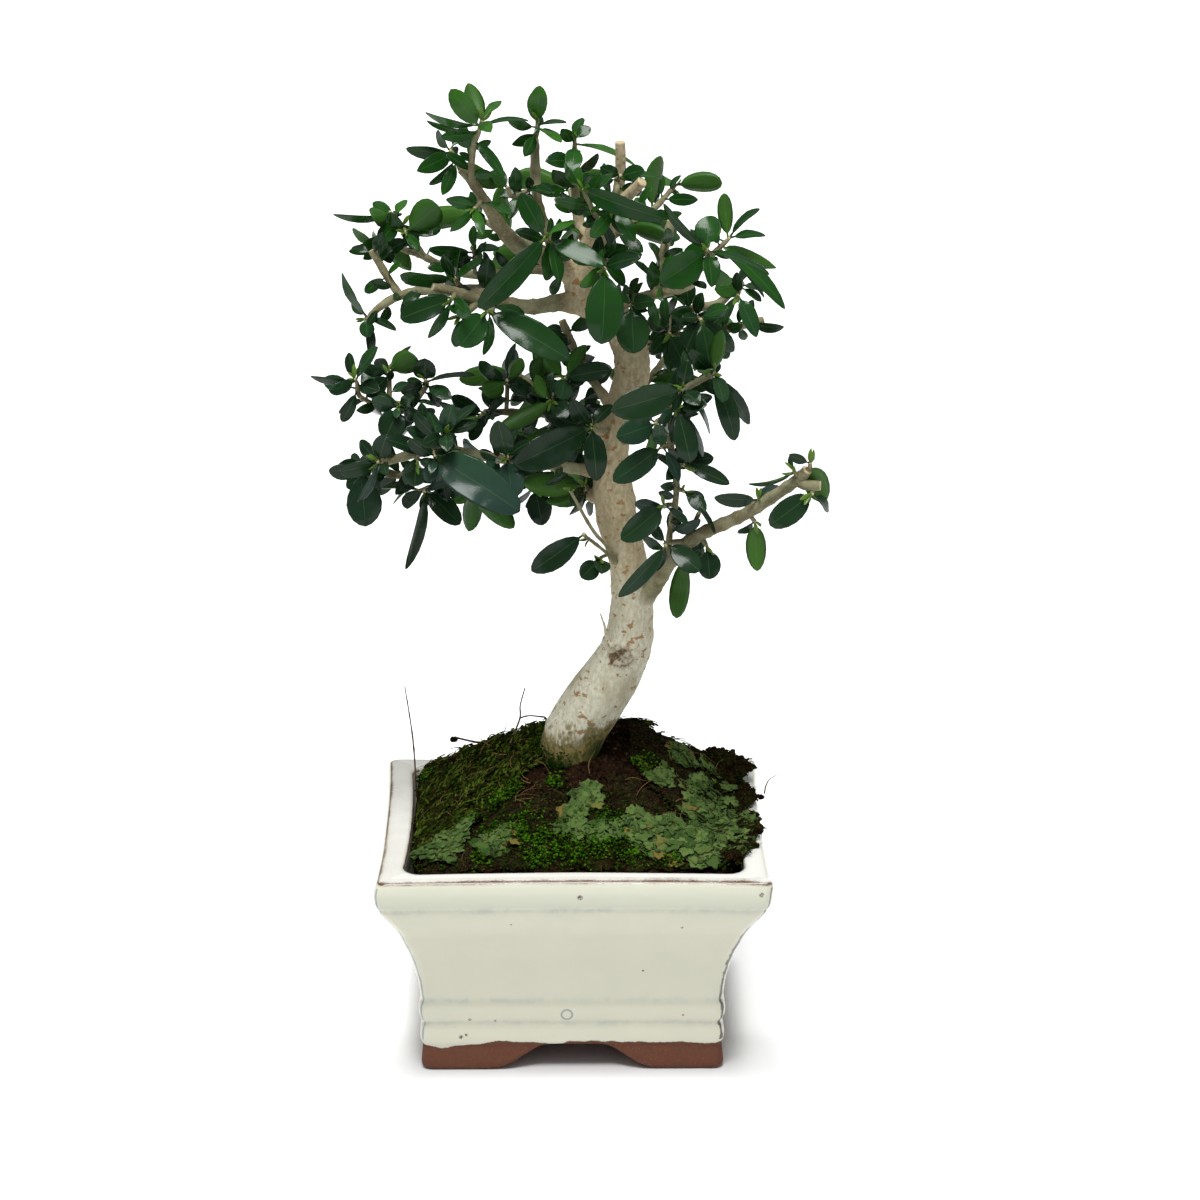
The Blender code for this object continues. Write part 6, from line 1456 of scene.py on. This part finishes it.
def mat_place(mat, lift):
    """A function of ring and sector that gives a place on a mat, at a share of its thickness; a
    ring below 0 runs out over the pot's lip."""
    def place(ring, sector):
        """The heap's top at a ring and sector, run out over the lip, and lumps added to it."""
        angle = sector * 2 * pi / SECTORS
        point = mound(np.maximum(ring, 0) / RINGS, angle)
        if mat.hang:
            point[..., 2] = np.maximum(point[..., 2], (POT_HEIGHT + 0.5) * (ring < 0.6))
            back = np.clip((point[..., 1] - 22) / 25, 0, 1)
            share = 0.85 + 0.15 * np.sin(point[..., 1] * 0.16 - 2.2) + 0.4 * cell_noise(point, 7.0, 43)
            share = share + 0.4 * cell_noise(point, 2.8, 46) + 0.25 * cell_noise(point, 1.3, 47)
            reach = np.maximum(mat.hang * share * np.clip((point[..., 1] + 47) / 15, 0, 1), 0.4)
            point[..., 0] += reach * np.maximum(-ring, 0)
            point[..., 1] += 0.5 * reach * np.maximum(-ring, 0) * back
            point[..., 2] += 3.5 * back * np.exp(-((ring - 0.2) / 0.9) ** 2)
        lump = 0.5 + 0.4 * cell_noise(point, 4.5, 41) + 0.3 * cell_noise(point, 1.7, 42)
        edge = np.minimum.reduce([sector - mat.first, mat.last - sector, 2 * (ring - outermost(mat)),
                                  2 * (mat.outer - ring)])
        height = mat.thickness * (0.2 + 0.8 * lump) * np.clip(edge * 3, 0.15, 1)
        point[..., 2] += 0.2 + lift * height
        return point
    return place


MAT_STEPS = 11


def mat_body(mat, number):
    """The mat's own body: an upper and a lower sheet over its rings and sectors, with a ragged edge
    that noise moves to and fro."""
    low, high = outermost(mat), mat.outer
    width = mat.last - mat.first
    rings = np.linspace(low + 0.02, high - 0.02, int((high - low) * MAT_STEPS))[:, None]
    sectors = np.linspace(mat.first + 0.02, mat.last - 0.02, int(width * MAT_STEPS))[None]
    middle, centre = (low + high) / 2, (mat.first + mat.last) / 2
    spot = np.stack(np.broadcast_arrays(rings * 6.0, sectors * 6.0, number * 50.0), axis=-1)
    pull = 0.45 + 0.45 * cell_noise(spot, 3.0, 44) + 0.25 * cell_noise(spot, 1.1, 45)
    pull = np.clip(pull, 0, 1)
    ring = middle + (rings - middle) * (1 - (0.7 - 0.6 * bool(mat.hang)) * pull / (high - low))
    sector = centre + (sectors - centre) * (1 - 0.9 * pull / width)
    over, below = mat_place(mat, 1.0)(ring, sector), mat_place(mat, 0.0)(ring, sector)
    rows, columns = ring.shape
    points = np.concatenate([over.reshape(-1, 3), below.reshape(-1, 3)])
    upper = grid_faces(rows, columns, False)
    lower = grid_faces(rows, columns, False, rows * columns)[:, ::-1]
    place = np.arange(rows * columns).reshape(rows, columns)
    rim = np.concatenate([place[0], place[1:, -1], place[-1, -2::-1], place[-2:0:-1, 0]])
    ahead = np.roll(rim, -1)
    sides = np.stack([ahead, rim, rim + rows * columns, ahead + rows * columns], axis=1)
    return points, np.vstack([upper, lower, sides])[:, ::-1]


def tuft_shape():
    """A shoot seen from above: five rounded leaflets round a raised middle."""
    turn = np.arange(10) * pi / 5
    out = np.arange(10) % 2 == 0
    reach, high = np.where(out, 1.0, 0.5), np.where(out, 0.35, 0.0)
    ring = np.stack([np.cos(turn) * reach, np.sin(turn) * reach, high], axis=1)
    points = np.vstack([[0, 0, 0.6], ring, [0, 0, -0.6]])
    return points, np.vstack([fan(0, 1, 10), fan(11, 1, 10, True)])


def frond_shape():
    """A feathery shoot lying along y: a three-sided stem whose every other place juts out to the
    sides as a pair of leaflets, which taper off."""
    share = np.linspace(0, 1, 7)
    reach = np.where(np.arange(7) % 2 == 1, 0.17, 0.04) * (1 - 0.6 * share)
    middle = np.stack([0 * share, share, 0.12 * np.sin(share * pi) + 0.02], axis=1)
    left = middle + np.stack([-reach, 0 * reach + 0.05, -0.04 + 0 * reach], axis=1)
    right = middle + np.stack([reach, 0 * reach + 0.05, -0.04 + 0 * reach], axis=1)
    points = np.stack([left, middle, right], axis=1).reshape(-1, 3)
    ends = np.array([[0, 1, 2, -1], [20, 19, 18, -1]])
    return points, np.vstack([grid_faces(7, 3, True)[:, ::-1], ends])


def straw_shape():
    """A dry stalk lying along y: a bent rod with three sides."""
    share, turn = np.linspace(0, 1, 6)[:, None], np.arange(3)[None] * 2 * pi / 3
    thick = 0.016 * (1.3 - share)
    points = np.stack([np.cos(turn) * thick + 0.08 * np.sin(share * 5), share + 0 * turn,
                       np.sin(turn) * thick + 0.07 * np.sin(share * pi)], axis=-1).reshape(-1, 3)
    ends = np.array([[0, 2, 1, -1], [15, 16, 17, -1]])
    return points, np.vstack([grid_faces(6, 3, True), ends])


def humus_brown(tree, patch, grain, mossy):
    """Black-brown humus, a little green in patches, with brown grains."""
    dark = tint(tree, between(tree, patch, 0.4, 0.6), (0.008, 0.0045, 0.002), mossy)
    return tint(tree, between(tree, grain, 0.5, 0.68), dark, (0.05, 0.027, 0.010))


def moss_green(name, deep, bright):
    """Matt green: black-brown humus in the mat itself, deep green low down and bright on the tips
    of the shoots, and some dry straw-coloured ones."""
    material, tree, shader = new_finish(name, 1.0, 0.02)
    tone, patch, grain = marked(tree, "tone"), speckle(tree, 6.0, 3.0), speckle(tree, 1.0, 4.0)
    humus = humus_brown(tree, patch, grain, (0.011, 0.013, 0.003))
    green = tint(tree, between(tree, tone, 0.0, 0.85), deep, bright)
    green = tint(tree, between(tree, patch, 0.42, 0.66, 0.0, 0.8), green, deep)
    holes = between(tree, speckle(tree, 3.0, 3.0), 0.52, 0.62, 0.0, 0.8)
    green = tint(tree, holes, green, humus)
    green = tint(tree, between(tree, tone, 1.15, 1.2), green, (0.20, 0.125, 0.05))
    green = tint(tree, between(tree, tone, -0.5, -0.2), humus, green)
    tree.links.new(green, shader.inputs["Base Color"])
    relief(tree, shader, grain, 0.5)
    return material


bright_moss = moss_green("bright_moss", (0.012, 0.036, 0.002), (0.070, 0.20, 0.008))
feather_moss = moss_green("feather_moss", (0.010, 0.018, 0.002), (0.075, 0.115, 0.012))
BRIGHT_PATCHES = [
    (-29, -13, 5), (-20, -33, 6), (-13, -35, 5), (-6, -39, 6), (-32, -32, 4), (27, 4, 4), (31, 9, 3),
    (55, 15, 3), (8, -38, 6), (17, -37, 6), (16, -28, 4), (12, -23, 4), (1, -44, 5), (24, -43, 5),
    (-60, 33, 3), (-24, -6, 4), (-19, -27, 5), (-15, -46, 5), (-2, -24, 5), (-40, -20, 4), (38, -46, 4),
    (48, 4, 3), (-36, -44, 4), (-8, -10, 4),
]


# The soil that isn't under the pot's rim, and the trunk's foot, which stays free of patches.
OPEN_X, OPEN_Y = 63.5, 51.5
FOOT_X, FOOT_Y, FOOT_REACH, FOOT_CLEAR = -3, 12, 12.4, 13


def near_patches(patches, count, spread, draw):
    """Places scattered round the middles of patches given as x, y and radius, more on large ones,
    kept on the soil and off the trunk."""
    patches = np.array(patches, float)
    chosen = patches[draw.choice(len(patches), count, p=patches[:, 2] ** 2 / np.sum(patches[:, 2] ** 2))]
    spot = chosen[:, :2] + draw.normal(0, 1, (count, 2)) * chosen[:, 2:] * spread
    inside = (np.abs(spot[:, 0]) < OPEN_X) & (np.abs(spot[:, 1]) < OPEN_Y)
    return spot[inside & (np.hypot(spot[:, 0] - FOOT_X, spot[:, 1] - FOOT_Y) > FOOT_CLEAR)]


def ground_normal(x, y):
    """The upward normal of the heap from small steps along x and y."""
    run = ground(x + 0.6, y) - ground(x - 0.6, y)
    depth = ground(x, y + 0.6) - ground(x, y - 0.6)
    normal = np.cross(run, depth)
    return normal / np.linalg.norm(normal, axis=1, keepdims=True)


class Heap:
    """Growing arrays of points, faces and tones for one piece made of many small shapes."""

    def __init__(self, points, faces, tone):
        """Begin with one shape of a single tone."""
        self.points, self.faces, self.tones = [points], [faces], [np.full(len(points), tone)]
        self.size = len(points)

    def add(self, shape, places, ups, sizes, tones, draw, lean, heading=None):
        """Strew copies of a small shape over places, each with its own tone."""
        made, faces = strewn(*shape, places, ups, sizes, draw, lean, heading)
        self.points.append(made)
        self.faces.append(np.where(faces >= 0, faces + self.size, -1))
        self.tones.append(np.repeat(tones, len(shape[0])))
        self.size += len(made)

    def mesh(self, name, finish, more=None):
        """All that was added, as one mesh object."""
        tones = np.concatenate(self.tones)
        return make_mesh(name, np.concatenate(self.points), np.concatenate(self.faces), finish,
                         {"tone": tones, **(more or {})})


def lay_on(heap, shape, spot, lift, sizes, tones, draw, lean, heading=None):
    """Set small shapes on the heap at places given as x and y, a little above it."""
    places = ground(spot[:, 0], spot[:, 1])
    places[:, 2] += lift
    heap.add(shape, places, ground_normal(spot[:, 0], spot[:, 1]), sizes, tones, draw, lean, heading)


HUMUS, STRAW = -1.0, 1.3
CRUMB_COUNTS = {"moss_left": 800, "moss_rear": 400, "moss_right": 1000}
FROND_COUNTS = {"moss_left": 2000, "moss_rear": 1100}
# Dry stalks: how many, and the least and greatest x and y of where they lie.
STALKS = {
    "moss_left": (60, (-62, -12), (-20, 46)),
    "moss_rear": (25, (-20, 60), (25, 50)),
    "moss_front": (30, (-55, 55), (-50, -5)),
}
STALK_LIFT = 2.6
TWIG_TUFT, TWIG_TUFT_SHOOTS = (-48.6, 39.0, 105.8), 70
BRIGHT_TUFTS, THIN_TUFTS, FOOT_TUFTS = 3000, 1500, 520
# Over the right rim: root hairs, loose crumbs with fronds, small tufts, and one long hair.
ROOT_HAIRS, LOOSE_CRUMBS, SMALL_TUFTS = 420, 520, 500
LONG_HAIR, LONG_HAIR_SIZE = (76.8, 20.0, 89.5), (20.0, 11.5, 20.0)


def scatter(place, rings, sectors, count, draw):
    """Chance places on a mat between two rings and two sectors, with the upward normal at each."""
    ring, sector = draw.uniform(*rings, count), draw.uniform(*sectors, count)
    return place(ring, sector), lie(place, ring, sector, 0.1)


def add_crumbs(heap, spots, ups, sizes, lean, draw):
    """Crumbs of humus, of a chance size between two."""
    count = len(spots)
    heap.add(crumb_shape(), spots, ups, draw.uniform(*sizes, count), np.full(count, HUMUS), draw, lean)


def add_fronds(heap, spots, ups, draw):
    """Feathery shoots sunk a little into the mat, which most lie to the right and back."""
    count = len(spots)
    heading = (0.6, 0.6, 0.1) + draw.normal(0, 0.45, (count, 3))
    sizes = draw.uniform(3.2, 7.5, (count, 1)) * (1.45, 1, 1.2)
    tones = draw.uniform(0.0, 1.0, count)
    heap.add(frond_shape(), spots - (0, 0, 0.4), ups, sizes, tones, draw, 0.12, heading)


def add_stalks(heap, count, x_span, y_span, draw):
    """Dry stalks strewn over a stretch of ground, of chance length."""
    spot = np.column_stack([draw.uniform(*x_span, count), draw.uniform(*y_span, count)])
    sizes = draw.uniform(4, 13, (count, 1))
    heading = (0.7, 0.5, 0.0) + draw.normal(0, 0.7, (count, 3))
    lay_on(heap, straw_shape(), spot, STALK_LIFT, sizes, np.full(count, STRAW), draw, 0.15, heading)


def add_twig_tuft(heap, draw):
    """A ball of moss shoots round the end of the bent twig."""
    count = TWIG_TUFT_SHOOTS
    out = draw.normal(0, 1, (count, 3))
    out /= np.linalg.norm(out, axis=1, keepdims=True)
    heap.add(tuft_shape(), out * (1.2, 0.8, 0.8) + TWIG_TUFT, out, draw.uniform(0.3, 0.8, count),
             draw.uniform(-0.2, 0.6, count), draw, 0.3)


def add_overhang(heap, place, mat, draw):
    """The ragged edge over the right rim: a long hair, root hairs and crumbs that hang out, and
    crumbs, fronds and small tufts all over the mat."""
    low, high, first, last = outermost(mat), mat.outer, mat.first, mat.last
    heap.add(straw_shape(), np.array([LONG_HAIR]), np.array([(-0.8, 0.0, 0.5)]),
             np.array([LONG_HAIR_SIZE]), np.array([STRAW]), draw, 0.0, np.array([(0.5, 0.0, 0.85)]))
    few = ROOT_HAIRS
    spots, ups = scatter(place, (low, 0.3), (first + 0.3, last - 0.3), few, draw)
    heading = (1.0, 0.1, -0.3) + draw.normal(0, 0.7, (few, 3))
    sizes = draw.uniform(1.5, 5.0, (few, 1)) + (2.5, 0, 2.5)
    heap.add(straw_shape(), spots, ups, sizes, draw.uniform(-1, 0.3, few), draw, 0.5, heading)
    add_crumbs(heap, spots, ups, (0.6, 1.7), 0.6, draw)
    few = LOOSE_CRUMBS
    spots, ups = scatter(place, (low + 0.1, high - 0.2), (first + 0.2, last - 0.2), few, draw)
    add_crumbs(heap, spots, ups, (0.5, 1.7), 0.8, draw)
    sizes = draw.uniform(1.8, 5.0, (few, 1)) * (1.4, 1, 1.2)
    heap.add(frond_shape(), spots, ups, sizes, draw.uniform(-0.4, 0.7, few), draw, 0.5,
             draw.normal(0, 1, (few, 3)))
    few = SMALL_TUFTS
    spots, ups = scatter(place, (low + 0.1, high - 0.3), (first + 0.3, last - 0.3), few, draw)
    heap.add(tuft_shape(), spots, ups, draw.uniform(0.4, 0.8, few), draw.uniform(-0.1, 0.4, few), draw, 0.5)


def add_bright_tufts(heap, draw):
    """Round-leaved tufts: thick in the bright patches, and thin and dark over all the front."""
    spot = near_patches(BRIGHT_PATCHES, BRIGHT_TUFTS, 0.6, draw)
    few = len(spot)
    lay_on(heap, tuft_shape(), spot, draw.uniform(0.6, 3.4, few), draw.uniform(0.42, 1.0, few),
           draw.uniform(0.0, 1.0, few), draw, 0.5)
    few = THIN_TUFTS
    spot = np.column_stack([draw.uniform(-63, 63, few), draw.uniform(-51, -12, few)])
    lay_on(heap, tuft_shape(), spot, 1.9, draw.uniform(0.4, 0.9, few), draw.uniform(-0.15, 0.35, few),
           draw, 0.6)


def add_foot_ring(heap, draw):
    """Tufts that climb the trunk's foot, in a ring round it."""
    few = FOOT_TUFTS
    turn = draw.uniform(0, 2 * pi, few)
    ring = np.column_stack([FOOT_X + FOOT_REACH * np.cos(turn), FOOT_Y + FOOT_REACH * np.sin(turn)])
    spot = ring * draw.uniform(0.9, 1.15, (few, 1))
    lay_on(heap, tuft_shape(), spot, draw.uniform(0, 5, few) ** 1.2, draw.uniform(0.35, 0.9, few),
           draw.uniform(-0.15, 0.3, few), draw, 0.8)


for number, mat in enumerate(MOSSES):
    name = mat.name
    draw = np.random.default_rng(200 + number)
    heap = Heap(*mat_body(mat, number), HUMUS)
    place = mat_place(mat, 0.9)
    sectors = (mat.first + 0.3, mat.last - 0.3)
    if name in CRUMB_COUNTS:
        rings = (outermost(mat) + 0.1, mat.outer - 0.3)
        spots, ups = scatter(place, rings, sectors, CRUMB_COUNTS[name], draw)
        add_crumbs(heap, spots, ups, (0.4, 1.1), 0.6, draw)
    if name in FROND_COUNTS:
        rings = (mat.inner + 0.1, mat.outer - 0.3)
        spots, ups = scatter(place, rings, sectors, FROND_COUNTS[name], draw)
        add_fronds(heap, spots, ups, draw)
    if name == "moss_front":
        add_bright_tufts(heap, draw)
    if name in STALKS:
        add_stalks(heap, *STALKS[name], draw)
    if name == "moss_left":
        add_twig_tuft(heap, draw)
    if name == "moss_right":
        add_overhang(heap, place, mat, draw)
    if name == "moss_front":
        add_foot_ring(heap, draw)
    moss = heap.mesh(name + "_cover", bright_moss if name == "moss_front" else feather_moss)
    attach(moss, "root")
    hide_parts(name)


# The liverwort: flat lobed thalli that creep over damp soil and over each other, grey-green with
# paler upturned margins. Name and extent as for the mosses, then the middles and radii of clumps.
LIVERWORTS = [
    (Mat("liverwort_left", 22, 26, 0, 4, 2.0, 0.0), [
        (-60, -37, 3), (-54, -38, 3), (-46, -30, 4), (-49, -39, 4), (-43, -24, 3), (-34, -39, 3),
        (-26, -34, 3), (-30, -37, 3), (-47, -34, 4),
    ]),
    (Mat("liverwort_right", 29, 32, 0, 5, 2.2, 0.0), [
        (4, -15, 3), (0, -23, 3), (7, -14, 3), (2, -31, 3), (-3, -30, 3), (9, -33, 3), (15, -32, 2.5),
        (22, -28, 4), (29, -29, 4), (37, -29, 4), (36, -39, 4), (44, -39, 4), (51, -41, 4), (31, -41, 3),
        (42, -45, 3), (58, -38, 4), (46, -33, 4), (56, -31, 4), (25, -34, 3), (52, -25, 3),
    ]),
    (Mat("liverwort_slope", 32, 40, 2, 6, 2.2, 0.0), [
        (49, -11, 4), (54, -8, 4), (61, 2, 4), (36, 4, 3), (32, 1, 3), (43, 19, 3), (46, 21, 3),
        (55, 26, 2.5), (39, 22, 2.5), (51, 11, 3), (60, 18, 3), (62, -14, 3), (57, -18, 4), (46, -17, 3),
        (47, 3, 2.5), (56, 8, 3),
    ]),
]


THALLUS_POINTS = 20
MAT_CRUMBS, THALLI_A_CLUMP = 120, 17
# Some thalli have crept out on the moss that hangs over the right rim.
OVERHANG, OVERHANG_THALLI = MOSSES[2], 60
OVERHANG_RINGS, OVERHANG_SECTORS = (-0.85, 0.6), (32.7, 35.6)


def thallus_shape():
    """A fan of lobes: the reach is 1 plus waves of six and three lobes, and the margin turns up."""
    turn = np.arange(THALLUS_POINTS) * 2 * pi / THALLUS_POINTS
    reach = 1 + 0.20 * np.cos(6 * turn) + 0.14 * np.sin(3 * turn + 1)
    rings = [np.stack([np.cos(turn) * reach * f, np.sin(turn) * reach * f, 0 * turn + h], axis=1)
             for f, h in ((0.7, 0.02), (1.0, 0.09))]
    points = np.vstack([[0, 0, 0.08]] + rings + [[0, 0, -0.3]])
    outer, last = 1 + THALLUS_POINTS, len(points) - 1
    sides = grid_faces(2, THALLUS_POINTS, True, 1)[:, ::-1]
    return points, np.vstack([fan(0, 1, THALLUS_POINTS), sides, fan(last, outer, THALLUS_POINTS, True)])


def liverwort_green():
    """Grey-green with paler margins, some yellowed thalli, and humus in the mat underneath."""
    material, tree, shader = new_finish("liverwort_green", 0.8, 0.04)
    tone, patch, grain = marked(tree, "tone"), speckle(tree, 4.0, 3.0), speckle(tree, 1.0, 4.0)
    humus = humus_brown(tree, patch, grain, (0.012, 0.013, 0.003))
    green = tint(tree, tone, (0.022, 0.055, 0.011), (0.130, 0.195, 0.052))
    green = tint(tree, between(tree, patch, 0.4, 0.7, 0.0, 0.6), green, (0.045, 0.095, 0.018))
    green = tint(tree, between(tree, marked(tree, "margin"), 0.7, 1.0, 0.0, 0.6), green, (0.17, 0.25, 0.09))
    green = tint(tree, between(tree, speckle(tree, 2.4, 3.0), 0.56, 0.66, 0.0, 0.75), green, humus)
    green = tint(tree, between(tree, tone, 0.94, 0.96), green, (0.16, 0.12, 0.03))
    green = tint(tree, between(tree, tone, -0.5, -0.2), humus, green)
    tree.links.new(green, shader.inputs["Base Color"])
    relief(tree, shader, grain, 0.3)
    return material


liverwort_finish = liverwort_green()
for number, (mat, clumps) in enumerate(LIVERWORTS):
    name = mat.name
    draw = np.random.default_rng(300 + number)
    heap = Heap(*mat_body(mat, number), HUMUS)
    rings, sectors = (mat.inner + 0.2, mat.outer - 0.3), (mat.first + 0.2, mat.last - 0.2)
    crumbs = MAT_CRUMBS * (mat.last - mat.first)
    spots, ups = scatter(mat_place(mat, 0.9), rings, sectors, crumbs, draw)
    add_crumbs(heap, spots, ups, (0.4, 1.1), 0.6, draw)
    bare = heap.size
    spot = near_patches(clumps, THALLI_A_CLUMP * len(clumps), 0.6, draw)
    count = len(spot)
    sizes = draw.uniform(1.4, 3.9, (count, 1)) * draw.uniform(0.8, 1.2, (count, 3)) * (1, 1, 0.8)
    lay_on(heap, thallus_shape(), spot, draw.uniform(1.6, 3.2, count), sizes,
           draw.uniform(0, 1, count), draw, 0.12)
    if name == "liverwort_slope":
        few = OVERHANG_THALLI
        spots, ups = scatter(mat_place(OVERHANG, 1.0), OVERHANG_RINGS, OVERHANG_SECTORS, few, draw)
        sizes = draw.uniform(1.4, 3.2, (few, 1)) * (1, 1, 0.8)
        heap.add(thallus_shape(), spots + (0, 0, 0.5), ups, sizes, draw.uniform(0, 1, few), draw, 0.15)
        count += few
    margin = np.concatenate([[0], np.repeat([0.5, 1.0], THALLUS_POINTS), [0]])
    margin = np.concatenate([np.zeros(bare), np.tile(margin, count)])
    thalli = heap.mesh(name + "_thalli", liverwort_finish, {"margin": margin})
    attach(thalli, "root")
    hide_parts(name)


# The dry twigs: brown stems of last year's weeds that stand in the moss, thin and brittle.
TWIGS = {
    "twig_left": [[(-64, 38, 81, 0.5), (-65, 38, 104, 0.45), (-66.4, 38, 117, 0.4), (-68, 38, 129, 0.3)]],
    "twig_rear": [
        [(-28.4, 7, 104, 0.6), (-28.2, 9, 107.5, 0.55), (-24.4, 28, 111.5, 0.5), (-21.6, 33, 117.4, 0.5),
         (-21.4, 33, 123, 0.4), (-19.5, 33, 130.4, 0.3)],
        [(-21.6, 33, 117.4, 0.5), (-18, 33, 118.4, 0.45), (-11.5, 33, 117.8, 0.4)],
    ],
    "twig_bent": [[(-33, 38, 97, 0.8), (-34, 38, 104, 0.8), (-40, 39, 104.6, 0.7), (-48, 39, 106.6, 0.6)]],
}


def twig_brown():
    """Dull brown, darker in patches."""
    material, tree, shader = new_finish("dry_twig", 0.8, 0.3)
    patch = between(tree, speckle(tree, 3.0, 4.0), 0.35, 0.65)
    tree.links.new(tint(tree, patch, (0.17, 0.10, 0.055), (0.07, 0.035, 0.02)), shader.inputs["Base Color"])
    relief(tree, shader, speckle(tree, 0.5), 0.2)
    return material


TWIG_THINNESS = 0.7
twig_finish = twig_brown()
for name, routes in TWIGS.items():
    thin = [[(x, y, z, radius * TWIG_THINNESS) for x, y, z, radius in route] for route in routes]
    skins = [limb_skin(route, 8, 0.7, 0.06, [(9.0, 0.1), (21.0, 0.1)], False) for route in thin]
    points, faces, marks = join_skins(skins)
    twig = make_mesh(name + "_stem", points, faces, twig_finish, {"to_end": marks[:, 0]})
    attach(twig, "root")
    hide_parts(name)


# The floor, the light and the camera: a white studio sweep under a broad overhead light. The floor's glow
# keeps it white far off, and is painted light beside the pot that lifts the pot's shadow.
FLOOR_SIZE = 9000.0
floor_points = np.array([(-1, -1, 0), (1, -1, 0), (1, 1, 0), (-1, 1, 0)]) * FLOOR_SIZE / 2
white, tree, shader = new_finish("studio_white", 0.9, 0.1)
shader.inputs["Base Color"].default_value = (0.85, 0.85, 0.85, 1)
shader.inputs["Emission Color"].default_value = (1, 1, 1, 1)
place = node(tree, "TexCoord", {}, "Object")
beyond = node(tree, "VectorMath", {0: place}, operation="ABSOLUTE")
beyond = node(tree, "VectorMath", {0: beyond, 1: (0.0585, 0.0465, 0)}, operation="SUBTRACT")
beyond = node(tree, "VectorMath", {0: beyond, 1: (0, 0, 0)}, operation="MAXIMUM")
across = node(tree, "VectorMath", {0: beyond}, "Value", operation="LENGTH")
# Painted light: the floor glows nowhere under the pot, rises within 14 mm beside and behind it to lift the
# pot's cast shadow, glows more far off, and dims in front.
depth = coordinate(tree, 1)
behind = between(tree, depth, -0.058, 0.0, 0.05, 0.5)
beside = sums(tree, "MULTIPLY", between(tree, across, 0.0, 0.014), behind)
backdrop_and_painted_glow = sums(tree, "ADD", beside, between(tree, across, 0.1, 1.6, 0.0, 0.5))
backdrop_and_painted_glow = sums(tree, "MULTIPLY", backdrop_and_painted_glow, between(tree, depth, -0.6, -0.25, 0.6, 1.0))
tree.links.new(backdrop_and_painted_glow, shader.inputs["Emission Strength"])
floor = make_mesh("floor", floor_points, np.array([(0, 1, 2, 3)]), white)

sky = bpy.data.worlds.new("studio")
sky.use_nodes = True
overhead = node(sky.node_tree, "SeparateXYZ", {"Vector": node(sky.node_tree, "TexCoord", {}, "Generated")}, 2)
brightness = between(sky.node_tree, overhead, 0.0, 1.0, 0.16, 0.45)
sky_light = sky.node_tree.nodes["Background"]
sky_light.inputs["Color"].default_value = (0.94, 0.98, 1.0, 1)
sky.node_tree.links.new(brightness, sky_light.inputs["Strength"])
bpy.context.scene.world = sky


def soft_light(name, place, aim, size, power):
    """A square soft box at a place in metres, turned to face a point."""
    data = bpy.data.lights.new(name, "AREA")
    data.shape, data.size, data.energy = "SQUARE", size, power
    light = bpy.data.objects.new(name, data)
    light.location = place
    light.rotation_euler = (Vector(aim) - Vector(place)).to_track_quat("-Z", "Y").to_euler()
    bpy.context.scene.collection.objects.link(light)


soft_light("overhead", (-0.15, -0.65, 2.2), (0.0, 0.0, 0.15), 1.0, 52.0)

CAMERA_PLACE, CAMERA_PITCH, CAMERA_YAW, CAMERA_LENS = (-2.0, -1316.0, 659.0), 20.0, 0.54, 108.0
lens = bpy.data.cameras.new("camera")
lens.lens, lens.sensor_width = CAMERA_LENS, 36.0
lens.clip_start, lens.clip_end = 0.05, 20.0
camera = bpy.data.objects.new("camera", lens)
camera.location = Vector(CAMERA_PLACE) * MM
camera.rotation_euler = (radians(90 - CAMERA_PITCH), 0.0, radians(-CAMERA_YAW))
bpy.context.scene.collection.objects.link(camera)
bpy.context.scene.camera = camera
bpy.context.scene.view_settings.view_transform = "Standard"
